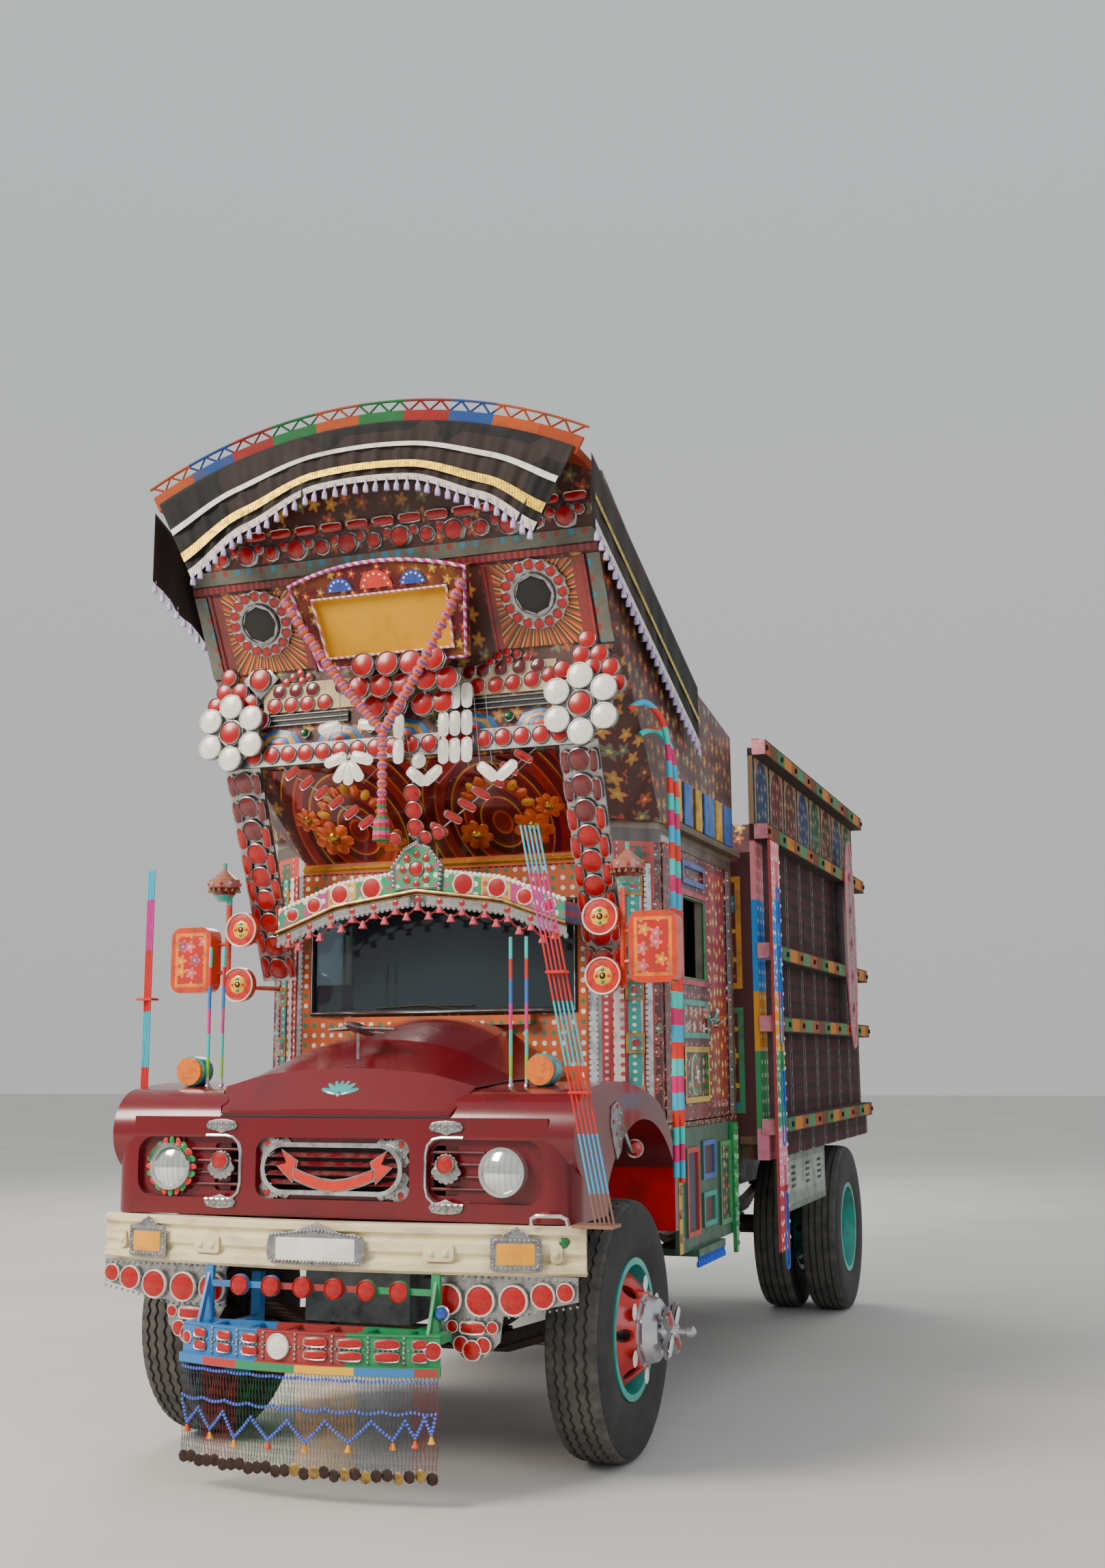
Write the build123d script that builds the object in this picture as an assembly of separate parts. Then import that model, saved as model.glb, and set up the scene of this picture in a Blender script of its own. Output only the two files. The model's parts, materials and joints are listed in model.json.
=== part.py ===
from build123d import *
from math import asin, atan2, cos, degrees, radians, sin, sqrt
import os

os.makedirs("parts", exist_ok=True)

# A decorated normal-control lorry, in millimetres. It is built with the front axle at Y = 0,
# its nose along -Y, its left side along +X and the ground at Z = 0. The last section moves
# it back so that the middle of its box stands over the origin.

# Running gear
WHEELBASE = 4240
TYRE_RADIUS = 510
TYRE_WIDTH = 236
RIM_RADIUS = 262
RIM_LIP = 15
FRONT_TRACK = 1794
REAR_TRACK = 1775
TWIN_SPACING = 305
KINGPIN_SPACING = 1500
KINGPIN_RADIUS = 20
STUB_RADIUS = 32
PIN_GAP = 0.5
TRACK_ARM = 200

# Chassis frame
RAIL_TOP = 960
RAIL_DEPTH = 200
RAIL_FLANGE = 76
RAIL_WALL = 8
FRAME_HALF_WIDTH = 430
FRAME_FRONT = -640
REAR_OVERHANG = 820
FRAME_REAR = WHEELBASE + REAR_OVERHANG
TOW_PIN_RADIUS = 20.5

# Nose: bumper, panel, wings and bonnet
BUMPER_HALF_WIDTH = 1040
BUMPER_TOP = 980
BUMPER_DEPTH = 180
BUMPER_FRONT = -850
BUMPER_BOW = 130
NOSE_FRONT = -740
NOSE_BOTTOM = 985
NOSE_HALF_WIDTH = 1005
NOSE_TOP = 1368
WING_CREST = 1490
WING_REAR = 668
WING_BOTTOM = 830
WING_INNER = 470
ARCH_FRONT = -340
ARCH_REAR = 618
ARCH_TOP = 1335
BONNET_REAR = 236
BONNET_HINGE_Z = 1788
BONNET_SHEET = 14
SHUT_GAP = 6

# Cab
CAB_FRONT = 300
CAB_REAR = 1900
CAB_HALF_WIDTH = 985
CAB_FRONT_HALF_WIDTH = 705
CAB_CORNER_Y = 520
CAB_FLOOR = 985
CAB_ROOF = 2650
CAB_WALL = 40
SCREEN_HALF_WIDTH = 655
SCREEN_BOTTOM = 1800
SCREEN_TOP = 2290
DOOR_FRONT = 560
DOOR_REAR = 1790
DOOR_BOTTOM = 1300
DOOR_TOP = 2560
DOOR_THICKNESS = 44

# Load body
BODY_FRONT = 1960
BODY_REAR = FRAME_REAR + 90
BODY_HALF_WIDTH = 1140
DECK_TOP = 1180
DECK_THICKNESS = 40
BEARER_DEPTH = 80
SIDE_TOP = 3300
SIDE_BOARD = 26
POST_DEPTH = 36
RAIL_PROUD = 40
GATE_TOP = 1930

# The tall prow over the cab
CROWN_WALL = 28
CROWN_REAR_TOP = 3300

# Rods, hoses and garland
HOSE_DIAMETER = 28
BEAD_RADIUS = 27


def block(x0, x1, y0, y1, z0, z1):
    """A box between two corners."""
    return Pos((x0 + x1) / 2, (y0 + y1) / 2, (z0 + z1) / 2) * Box(x1 - x0, y1 - y0, z1 - z0)


def side_plate(points, x0, x1):
    """A plate cut to a side view outline of (y, z) points."""
    outline = make_face(Polyline(*points, close=True))
    return extrude(Plane.YZ.offset(x0) * outline, x1 - x0)


def front_plate(points, y0, y1):
    """A plate cut to a front view outline of (x, z) points."""
    outline = make_face(Polyline(*points, close=True))
    return extrude(Plane.XZ.offset(-y1) * outline, y1 - y0)


def plan_plate(points, z0, z1):
    """A plate cut to a plan outline of (x, y) points."""
    outline = make_face(Polyline(*points, close=True))
    return extrude(Plane.XY.offset(z0) * outline, z1 - z0)


def rod_x(x0, x1, y, z, radius):
    """A round bar along X."""
    return Pos((x0 + x1) / 2, y, z) * Rot(0, 90, 0) * Cylinder(radius, x1 - x0)


def rod_y(x, y0, y1, z, radius):
    """A round bar along Y."""
    return Pos(x, (y0 + y1) / 2, z) * Rot(90, 0, 0) * Cylinder(radius, y1 - y0)


def rod_z(x, y, z0, z1, radius):
    """A round bar along Z."""
    return Pos(x, y, (z0 + z1) / 2) * Cylinder(radius, z1 - z0)


def turned_x(points):
    """A ring or disc turned about the X axis from (x, radius) points."""
    outline = make_face(Polyline(*points, close=True))
    return revolve(Plane.XZ * outline, Axis.X, 360)


def bar(start, end, across, sides=6):
    """A thin straight bar of a few sides between two points."""
    line = Vector(*end) - Vector(*start)
    plane = Plane(origin=start, z_dir=line.normalized())
    return extrude(plane * RegularPolygon(across, sides), line.length)


def to_right(shape):
    """The matching piece on the right side of the truck."""
    return mirror(shape, about=Plane.YZ)


def pair(shape):
    """The piece and its match on the other side."""
    return shape + to_right(shape)


def solids_of(*shapes):
    """Pieces of one node that don't touch, kept as separate solids."""
    return Compound([solid for shape in shapes for solid in shape.solids()])


# Wheels: tyres, disc wheels with hubs, and the twin wheels at the back
tyre_half = FRONT_TRACK / 2
twin_outer = (REAR_TRACK + TWIN_SPACING) / 2
twin_inner = (REAR_TRACK - TWIN_SPACING) / 2
wall_out = TYRE_WIDTH / 2
bead_out = wall_out - 22


def tyre_ring():
    """A cross-ply tyre: bead, bulged wall, shoulder and three tread grooves."""
    half = [
        (bead_out, RIM_RADIUS), (bead_out, RIM_RADIUS + RIM_LIP), (wall_out - 10, RIM_RADIUS + 44),
        (wall_out, RIM_RADIUS + 110),
        (wall_out - 3, RIM_RADIUS + 175), (wall_out - 14, TYRE_RADIUS - 30),
        (wall_out - 30, TYRE_RADIUS - 8), (44, TYRE_RADIUS), (44, TYRE_RADIUS - 12),
        (36, TYRE_RADIUS - 12), (36, TYRE_RADIUS),
    ]
    return turned_x(half + [(-x, radius) for x, radius in reversed(half)])


def rim_barrel():
    """The rolled rim that both beads sit on, with its two lips."""
    lip = bead_out + 8
    half = [
        (30, RIM_RADIUS - 14), (30, RIM_RADIUS - 26), (lip, RIM_RADIUS - 12),
        (lip, RIM_RADIUS + RIM_LIP), (bead_out, RIM_RADIUS + RIM_LIP), (bead_out, RIM_RADIUS),
    ]
    inner = [(-x, radius) for x, radius in reversed(half)]
    return turned_x(half[1:] + inner[:-1])


DISC_HOLES = 6
DISC_HOLE_RADIUS = 26
DISC_HOLE_CIRCLE = 178
DISC_SHEET = 10


def disc_holes(x0, x1):
    """Hand holes round the disc."""
    turns = [360 / DISC_HOLES * (i + 0.5) for i in range(DISC_HOLES)]
    hole = Pos(0, 0, DISC_HOLE_CIRCLE) * rod_x(x0, x1, 0, 0, DISC_HOLE_RADIUS)
    return [Rot(turn, 0, 0) * hole for turn in turns]


HUB_FACE = 1120 - FRONT_TRACK / 2
SPINNER_TIP = 1255 - FRONT_TRACK / 2
DISC_FACE = 150
DRUM_RADIUS = 196
DRUM_INNER = 180
DRUM_BACK = -56


def front_wheel():
    """Rim, dished disc, brake drum, hub, hub ring and reflector spinner on one body."""
    disc = turned_x([
        (6, RIM_RADIUS - 20), (6 + DISC_SHEET, RIM_RADIUS - 20), (60, 222), (DISC_FACE, 150),
        (DISC_FACE, 60), (DISC_FACE - DISC_SHEET, 60), (DISC_FACE - DISC_SHEET, 146), (52, 216),
    ])
    for hole in disc_holes(20, DISC_FACE + 20):
        disc = disc - hole
    drum = turned_x([
        (DRUM_BACK, DRUM_INNER), (DRUM_BACK, DRUM_RADIUS), (40, DRUM_RADIUS), (52, 150),
        (52, STUB_RADIUS + PIN_GAP), (30, STUB_RADIUS + PIN_GAP), (30, DRUM_INNER),
    ])
    hub = turned_x([
        (DRUM_BACK + 20, STUB_RADIUS + PIN_GAP), (DRUM_BACK + 20, 62), (30, 80),
        (DISC_FACE - DISC_SHEET, 80), (DISC_FACE - DISC_SHEET, 0), (150 - 24, 0),
        (150 - 24, STUB_RADIUS + PIN_GAP),
    ])
    ring = turned_x([
        (DISC_FACE, 0), (DISC_FACE, 128), (DISC_FACE + 22, 132), (HUB_FACE - 20, 122),
        (HUB_FACE, 96), (HUB_FACE, 0),
    ])
    spinner = turned_x([
        (HUB_FACE, 0), (HUB_FACE, 34), (HUB_FACE + 60, 26), (HUB_FACE + 64, 14),
        (SPINNER_TIP - 40, 14), (SPINNER_TIP - 34, 22), (SPINNER_TIP - 12, 22), (SPINNER_TIP, 8),
        (SPINNER_TIP, 0),
    ])
    blade = block(HUB_FACE + 24, HUB_FACE + 40, -26, 26, 20, 118)
    wheel = rim_barrel() + disc + drum + hub + ring + spinner
    for turn in (45, 135, 225, 315):
        wheel = wheel + Rot(turn, 0, 0) * blade
    return wheel


AXLE_TUBE_RADIUS = 58
AXLE_END_RADIUS = 44
PINION_REACH = 250


def rear_wheels():
    """The two rims of a twin wheel, their discs back to back on one hub and drum."""
    middle = REAR_TRACK / 2
    outer = Pos(TWIN_SPACING / 2, 0, 0) * rim_barrel()
    inner = Pos(-TWIN_SPACING / 2, 0, 0) * rim_barrel()
    near = TWIN_SPACING / 2 - 40
    bore = AXLE_END_RADIUS + PIN_GAP
    discs = turned_x([
        (near, RIM_RADIUS - 20), (near + DISC_SHEET, RIM_RADIUS - 20), (near - 26, 208), (14, 150),
        (14, 118), (40, 118), (44, 86), (150, 74), (156, 60), (156, 0), (142, 0), (142, bore),
        (-150, bore), (-150, 84), (-40, 92), (-14, 118), (-14, 150), (26 - near, 208),
        (-near - DISC_SHEET, RIM_RADIUS - 20), (-near, RIM_RADIUS - 20), (44 - near, 220), (0, 156),
        (near - 44, 220),
    ])
    for hole in disc_holes(-near - 40, near + 40):
        discs = discs - hole
    drum = turned_x([
        (-190, DRUM_INNER), (-190, DRUM_RADIUS), (-96, DRUM_RADIUS), (-76, 150), (-76, 80),
        (-92, 80), (-92, 146), (-110, DRUM_INNER),
    ])
    wheels = outer + inner + discs + drum
    return Pos(middle, 0, 0) * wheels


def place_wheel(shape, x, y):
    """Moves a wheel made about the X axis out to its axle end."""
    return Pos(x, y, TYRE_RADIUS) * shape


tyre_front_left = place_wheel(tyre_ring(), tyre_half, 0)
rim_front_left = place_wheel(front_wheel(), tyre_half, 0)
tyres_rear_left = solids_of(
    place_wheel(tyre_ring(), twin_outer, WHEELBASE),
    place_wheel(tyre_ring(), twin_inner, WHEELBASE),
)
rims_rear_left = place_wheel(rear_wheels(), 0, WHEELBASE)


# Front axle, knuckles and track rod
kingpin_x = KINGPIN_SPACING / 2
EYE_HEIGHT = 110
EYE_RADIUS = 40
FORK_GAP = 5
FORK_LUG = 32
FORK_RADIUS = 44
WEB_X = 50
BEAM_DROP = 60
BEAM_DEPTH = 84
BEAM_WIDTH = 64
SPRING_X = FRAME_HALF_WIDTH - RAIL_FLANGE / 2
SPRING_WIDTH = 64


def front_axle():
    """A forged I-beam that drops between its spring pads, with an upright eye at each end."""
    middle = TYRE_RADIUS - BEAM_DROP
    pad = SPRING_X + 70
    near_eye = kingpin_x - FORK_RADIUS - 24
    top = [
        (-kingpin_x, TYRE_RADIUS + 36), (-near_eye, TYRE_RADIUS + 36), (-pad, middle + 30),
        (pad, middle + 30), (near_eye, TYRE_RADIUS + 36), (kingpin_x, TYRE_RADIUS + 36),
    ]
    bottom = [(x, z - BEAM_DEPTH) for x, z in reversed(top)]
    beam = front_plate(top + bottom, -BEAM_WIDTH / 2, BEAM_WIDTH / 2)
    waist_top = [(x * 0.93, z - 16) for x, z in top]
    waist_low = [(x * 0.93, z + 16) for x, z in bottom]
    waist = front_plate(waist_top + waist_low, 12, BEAM_WIDTH / 2)
    beam = beam - waist - mirror(waist, about=Plane.XZ)
    z0 = TYRE_RADIUS - EYE_HEIGHT / 2
    z1 = TYRE_RADIUS + EYE_HEIGHT / 2
    pads = pair(block(SPRING_X - 50, SPRING_X + 50, -70, 70, middle + 18, middle + 36))
    eyes = pair(rod_z(kingpin_x, 0, z0, z1, EYE_RADIUS))
    holes = pair(rod_z(kingpin_x, 0, z0, z1, KINGPIN_RADIUS + PIN_GAP))
    return beam + pads + eyes - holes


def knuckle():
    """Forked stub axle of the left side, with its kingpin, back plate and steering arm."""
    low = TYRE_RADIUS - EYE_HEIGHT / 2 - FORK_GAP
    high = TYRE_RADIUS + EYE_HEIGHT / 2 + FORK_GAP
    pin = rod_z(kingpin_x, 0, low - FORK_LUG, high + FORK_LUG, KINGPIN_RADIUS)
    web = block(kingpin_x + WEB_X, kingpin_x + WEB_X + 22, -50, 50, low - FORK_LUG, high + FORK_LUG)
    shape = pin + web
    for z in (low - FORK_LUG, high):
        lug = rod_z(kingpin_x, 0, z, z + FORK_LUG, FORK_RADIUS)
        tongue = block(kingpin_x, kingpin_x + WEB_X, -34, 34, z, z + FORK_LUG)
        shape = shape + lug + tongue
    stub = rod_x(kingpin_x + WEB_X, tyre_half + DISC_FACE - 40, 0, TYRE_RADIUS, STUB_RADIUS)
    plate_x = tyre_half + DRUM_BACK - 14
    plate = rod_x(plate_x, plate_x + 6, 0, TYRE_RADIUS, DRUM_RADIUS - 4)
    boss = rod_x(kingpin_x + WEB_X, plate_x + 6, 0, TYRE_RADIUS, 60)
    arm_z = low - FORK_LUG
    arm = plan_plate(
        [(kingpin_x + 30, 20), (kingpin_x + 16, TRACK_ARM + 24), (kingpin_x - 16, TRACK_ARM + 24),
         (kingpin_x - 20, 30)], arm_z, arm_z + 24)
    ball = rod_z(kingpin_x, TRACK_ARM, arm_z - 30, arm_z, 13)
    return shape + stub + plate + boss + arm + ball


def track_rod():
    """The rod that ties the two steering arms, with a split eye round each ball pin."""
    arm_z = TYRE_RADIUS - EYE_HEIGHT / 2 - FORK_GAP - FORK_LUG
    z0 = arm_z - 30
    z1 = arm_z - PIN_GAP
    rod = rod_x(-kingpin_x + 18, kingpin_x - 18, TRACK_ARM, (z0 + z1) / 2, 13)
    eyes = pair(rod_z(kingpin_x, TRACK_ARM, z0, z1, 26))
    holes = pair(rod_z(kingpin_x, TRACK_ARM, z0 - 1, z1 + 1, 13 + PIN_GAP))
    return rod + eyes - holes


def rear_axle():
    """Tube axle with its bowl-shaped middle, spring seats and back plates."""
    back_plate_x = REAR_TRACK / 2 - 190 - 14
    end_x = REAR_TRACK / 2 + 130
    shape = rod_x(-back_plate_x, back_plate_x, 0, 0, AXLE_TUBE_RADIUS)
    shape = shape + rod_x(-end_x, end_x, 0, 0, AXLE_END_RADIUS)
    shape = shape + Rot(90, 0, 0) * Cone(190, 110, 130)
    shape = shape + Pos(0, 90, 0) * Rot(-90, 0, 0) * Cone(190, 120, 70)
    shape = shape + rod_y(0, -PINION_REACH, -50, 0, 62)
    shape = shape + pair(rod_x(back_plate_x, back_plate_x + 6, 0, 0, DRUM_RADIUS - 4))
    shape = shape + pair(block(SPRING_X - 48, SPRING_X + 48, -70, 70, 0, AXLE_TUBE_RADIUS + 8))
    return Pos(0, WHEELBASE, TYRE_RADIUS) * shape


def leaf_pack(y, seat, length, rise, leaves, leaf_thickness):
    """Semi-elliptic leaves stacked on a seat, the longest on top, ends curved up."""
    radius = (length / 2) ** 2 / (2 * rise) + rise / 2
    centre_z = seat + radius
    pack = None
    for i in range(leaves):
        half = length / 2 * (0.35 + 0.65 * (i + 1) / leaves)
        turn = degrees(asin(half / radius))
        outer = radius - i * leaf_thickness
        inner = outer - leaf_thickness
        ends = [(y + outer * sin(radians(a)), centre_z - outer * cos(radians(a))) for a in (-turn, turn)]
        tops = [(y + inner * sin(radians(a)), centre_z - inner * cos(radians(a))) for a in (turn, -turn)]
        low = ThreePointArc(ends[0], (y, centre_z - outer), ends[1])
        high = ThreePointArc(tops[0], (y, centre_z - inner), tops[1])
        loop = [low, Line(ends[1], tops[0]), high, Line(tops[1], ends[0])]
        leaf = extrude(Plane.YZ.offset(SPRING_X - SPRING_WIDTH / 2) * make_face(loop), SPRING_WIDTH)
        pack = leaf if pack is None else pack + leaf
    return pack


FRONT_SPRING_SEAT = TYRE_RADIUS - BEAM_DROP + 36
REAR_SPRING_SEAT = TYRE_RADIUS + AXLE_TUBE_RADIUS + 8
FRONT_SPRING_LENGTH = 1040
REAR_SPRING_LENGTH = 1300
LEAF = 10
FRONT_LEAVES = 6
REAR_LEAVES = 7
FRONT_RISE = 90
REAR_RISE = 70


def leaf_springs():
    """The four leaf packs, each with a wrapped eye at its ends."""
    front = leaf_pack(0, FRONT_SPRING_SEAT, FRONT_SPRING_LENGTH, FRONT_RISE, FRONT_LEAVES, LEAF)
    rear = leaf_pack(WHEELBASE, REAR_SPRING_SEAT, REAR_SPRING_LENGTH, REAR_RISE, REAR_LEAVES, LEAF)
    return solids_of(front, to_right(front), rear, to_right(rear))


# Chassis frame with spring hangers and engine mounts, and the tow jaw
CROSS_MEMBERS_Y = (-600, 560, 1500, 2500, 3350, FRAME_REAR - 80)
CROSS_DEPTH = 80
CROSS_TOP = RAIL_TOP - 30
JAW_PLATE = 18
JAW_GAP = 64
JAW_Z = RAIL_TOP - RAIL_DEPTH / 2
JAW_Y = FRAME_REAR + 46
ENGINE_HALF_WIDTH = 230
ENGINE_FRONT = -500
ENGINE_REAR = 250
ENGINE_BOTTOM = 560
ENGINE_TOP = 1220


def chassis_frame():
    """Ladder frame of two pressed channels, cross-members, spring hangers and engine mounts."""
    low = RAIL_TOP - RAIL_DEPTH
    out = FRAME_HALF_WIDTH
    channel = front_plate(
        [(out, low), (out, RAIL_TOP), (out - RAIL_FLANGE, RAIL_TOP),
         (out - RAIL_FLANGE, RAIL_TOP - RAIL_WALL), (out - RAIL_WALL, RAIL_TOP - RAIL_WALL),
         (out - RAIL_WALL, low + RAIL_WALL), (out - RAIL_FLANGE, low + RAIL_WALL),
         (out - RAIL_FLANGE, low)], FRAME_FRONT, FRAME_REAR)
    frame = pair(channel)
    inside = out - RAIL_WALL
    for y in CROSS_MEMBERS_Y:
        web = block(-inside, inside, y, y + RAIL_WALL, CROSS_TOP - CROSS_DEPTH, CROSS_TOP)
        flange = block(-inside, inside, y, y + 50, CROSS_TOP - RAIL_WALL, CROSS_TOP)
        frame = frame + web + flange
    springs = (
        (0, FRONT_SPRING_SEAT, FRONT_SPRING_LENGTH, FRONT_RISE, FRONT_LEAVES),
        (WHEELBASE, REAR_SPRING_SEAT, REAR_SPRING_LENGTH, REAR_RISE, REAR_LEAVES),
    )
    for y, seat, length, rise, leaves in springs:
        for side in (-1, 1):
            end_y = y + side * (length / 2 - 24)
            hanger = block(SPRING_X - 40, SPRING_X + 36, end_y - 34, end_y + 34,
                           seat + rise + leaves * LEAF, low)
            frame = frame + pair(hanger)
    mounts = pair(block(ENGINE_HALF_WIDTH, inside, -280, -200, low + 40, low + 110))
    return frame + mounts


def tow_jaw():
    """Rear cross-beam with the two drilled plates that take a drawbar pin."""
    inside = FRAME_HALF_WIDTH - RAIL_WALL
    beam_top = CROSS_TOP - RAIL_WALL
    shape = block(-inside, inside, FRAME_REAR - 72, FRAME_REAR - 10, RAIL_TOP - RAIL_DEPTH + 20, beam_top)
    for z in (JAW_Z - JAW_GAP / 2 - JAW_PLATE, JAW_Z + JAW_GAP / 2):
        plate = block(-90, 90, FRAME_REAR - 60, JAW_Y, z, z + JAW_PLATE)
        shape = shape + plate + rod_z(0, JAW_Y, z, z + JAW_PLATE, 52)
    return shape - rod_z(0, JAW_Y, RAIL_TOP - RAIL_DEPTH, RAIL_TOP, TOW_PIN_RADIUS)


def engine_block():
    """Engine and gearbox as plain blocks at their real place."""
    half = ENGINE_HALF_WIDTH
    engine = block(-half, half, ENGINE_FRONT, ENGINE_REAR, ENGINE_BOTTOM, ENGINE_TOP)
    gearbox_top = CROSS_TOP - CROSS_DEPTH - 20
    gearbox = block(-120, 120, ENGINE_REAR, ENGINE_REAR + 560, ENGINE_BOTTOM + 40, gearbox_top)
    return engine + gearbox


GEARBOX_END = ENGINE_REAR + 560


def propshaft():
    """The open shaft from the gearbox to the rear axle, with a flange at each end."""
    start_z = 700
    end_y = WHEELBASE - PINION_REACH
    shaft = bar((0, GEARBOX_END + 8, start_z), (0, end_y - 8, TYRE_RADIUS), 42, 12)
    front_flange = rod_y(0, GEARBOX_END, GEARBOX_END + 20, start_z, 62)
    rear_flange = rod_y(0, end_y - 20, end_y, TYRE_RADIUS, 62)
    return shaft + front_flange + rear_flange


def radiator():
    """Radiator block behind the grille."""
    return block(-300, 300, -640, -560, CROSS_TOP, 1330)


TANK_RADIUS = 210


def fuel_tank():
    """Drum tank slung outside the right rail, with two straps."""
    x = -FRAME_HALF_WIDTH - TANK_RADIUS - 20
    z = RAIL_TOP - TANK_RADIUS
    tank = rod_y(x, 2250, 2950, z, TANK_RADIUS)
    for y in (2380, 2780):
        tank = tank + rod_y(x, y, y + 50, z, TANK_RADIUS + 6)
        tank = tank + block(x, -FRAME_HALF_WIDTH, y, y + 50, RAIL_TOP - 60, RAIL_TOP - 20)
    return tank


# Bumper: three rolled ribs on a shallow bow
bow_radius = (BUMPER_HALF_WIDTH ** 2 + BUMPER_BOW ** 2) / (2 * BUMPER_BOW)
bow_turn = degrees(asin(BUMPER_HALF_WIDTH / bow_radius))


def bowed(points, front=BUMPER_FRONT):
    """Sweeps a (depth, height) outline round the bumper's bow. Depth runs back from the front."""
    centre_y = front + bow_radius
    flat = [(bow_radius - depth, z) for depth, z in points]
    outline = Plane.XZ * make_face(Polyline(*flat, close=True))
    ring = revolve(outline, Axis.Z, 2 * bow_turn)
    return Pos(0, centre_y, 0) * Rot(0, 0, -90 - bow_turn) * ring


def front_bumper():
    """Pressed bumper with three ribs, and its two irons to the frame."""
    z0 = BUMPER_TOP - BUMPER_DEPTH
    ribs = [(14, 0), (2, 12), (2, 40), (16, 54), (16, 66), (4, 80), (4, 112), (16, 126),
            (16, 136), (0, 150), (0, 170), (12, 180)]
    face = [(depth, z0 + rise) for depth, rise in ribs]
    back = [(70, BUMPER_TOP), (70, BUMPER_TOP - 10), (40, BUMPER_TOP - 20),
            (40, z0 + 20), (70, z0 + 10), (70, z0)]
    shell = bowed(face + back)
    irons = pair(block(360, 420, BUMPER_FRONT + 50, FRAME_FRONT, z0 + 30, z0 + 130))
    return shell + irons


# Nose panel, grille and headlamps
LAMP_X = 720
LAMP_Z = 1170
LAMP_RADIUS = 92
GRILLE_HALF_WIDTH = 290
GRILLE_HALF_HEIGHT = 82
NOSE_SHEET = 40
RECESS = 26
RECESS_HALF_HEIGHT = 118


def nose_panel():
    """The pressed front panel: a wide plate with three sunk windows and two lamp bowls."""
    edge = NOSE_HALF_WIDTH - 105
    plate = block(-edge, edge, NOSE_FRONT, NOSE_FRONT + NOSE_SHEET, NOSE_BOTTOM, NOSE_TOP)
    top = block(-WING_INNER, WING_INNER, NOSE_FRONT + 4, -560, NOSE_TOP - 24, NOSE_TOP)
    face = Plane.XZ.offset(-NOSE_FRONT)
    centre = Pos(0, LAMP_Z) * RectangleRounded(2 * GRILLE_HALF_WIDTH + 90, 2 * RECESS_HALF_HEIGHT, 50)
    side = Pos(645, LAMP_Z) * RectangleRounded(470, 2 * RECESS_HALF_HEIGHT, 70)
    plate = plate - extrude(face * centre, -RECESS)
    plate = plate - pair(extrude(face * side, -RECESS))
    oval = Pos(0, LAMP_Z) * SlotOverall(2 * GRILLE_HALF_WIDTH, 2 * GRILLE_HALF_HEIGHT)
    vent = Pos(480, LAMP_Z) * RectangleRounded(110, 2 * RECESS_HALF_HEIGHT - 50, 20)
    plate = plate - extrude(face * oval, -NOSE_SHEET)
    plate = plate - pair(extrude(face * vent, -NOSE_SHEET))
    hole = pair(rod_y(LAMP_X, NOSE_FRONT - 1, NOSE_FRONT + NOSE_SHEET + 1, LAMP_Z, LAMP_RADIUS - 12))
    return plate + top - hole


def grille():
    """Chromed oval ring with its louvre bars, and the two side window frames."""
    face = Plane.XZ.offset(-NOSE_FRONT - RECESS)
    outer = SlotOverall(2 * GRILLE_HALF_WIDTH + 36, 2 * GRILLE_HALF_HEIGHT + 36)
    inner = SlotOverall(2 * GRILLE_HALF_WIDTH, 2 * GRILLE_HALF_HEIGHT)
    ring = extrude(face * (Pos(0, LAMP_Z) * (outer - inner)), 34)
    shape = ring
    for z in (-52, -18, 18, 52):
        half = GRILLE_HALF_WIDTH - GRILLE_HALF_HEIGHT + sqrt(GRILLE_HALF_HEIGHT ** 2 - z ** 2) + 4
        louvre = Pos(0, NOSE_FRONT + RECESS - 17, LAMP_Z + z) * Rot(35, 0, 0) * Box(2 * half, 26, 5)
        shape = shape + louvre
    return shape


def headlamps():
    """Round lamps with domed glasses in hooded rims."""
    lamp = rod_y(LAMP_X, NOSE_FRONT - 14, NOSE_FRONT + NOSE_SHEET + 30, LAMP_Z, LAMP_RADIUS - 13)
    rim = rod_y(LAMP_X, NOSE_FRONT - 18, NOSE_FRONT + RECESS, LAMP_Z, LAMP_RADIUS)
    rim = rim - rod_y(LAMP_X, NOSE_FRONT - 19, NOSE_FRONT - 4, LAMP_Z, LAMP_RADIUS - 13)
    dome_rise = 22
    glass = LAMP_RADIUS - 14
    ball = (glass ** 2 + dome_rise ** 2) / (2 * dome_rise)
    dome = Pos(LAMP_X, NOSE_FRONT - 14 - dome_rise + ball, LAMP_Z) * Sphere(ball)
    dome = dome & rod_y(LAMP_X, NOSE_FRONT - 60, NOSE_FRONT - 10, LAMP_Z, glass)
    return solids_of(lamp + rim + dome, to_right(lamp + rim + dome))


# Wings with their deep arches
def wing_form():
    """The wing's side view, extruded from the engine bay to its outer face."""
    front_arc = ThreePointArc((NOSE_FRONT, NOSE_TOP - 90), (-690, 1425), (-560, WING_CREST - 15))
    top_arc = ThreePointArc((-560, WING_CREST - 15), (-80, WING_CREST), (380, WING_CREST - 90))
    rear_arc = ThreePointArc((380, WING_CREST - 90), (550, 1270), (WING_REAR, 1080))
    outline = [
        Line((NOSE_FRONT, NOSE_BOTTOM), (NOSE_FRONT, NOSE_TOP - 90)), front_arc, top_arc, rear_arc,
        Line((WING_REAR, 1080), (WING_REAR, WING_BOTTOM)),
        Line((WING_REAR, WING_BOTTOM), (ARCH_REAR, WING_BOTTOM)),
        Line((ARCH_REAR, WING_BOTTOM), (ARCH_REAR, NOSE_BOTTOM)),
        Line((ARCH_REAR, NOSE_BOTTOM), (NOSE_FRONT, NOSE_BOTTOM)),
    ]
    return extrude(Plane.YZ.offset(WING_INNER) * make_face(outline), NOSE_HALF_WIDTH - WING_INNER)


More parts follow.
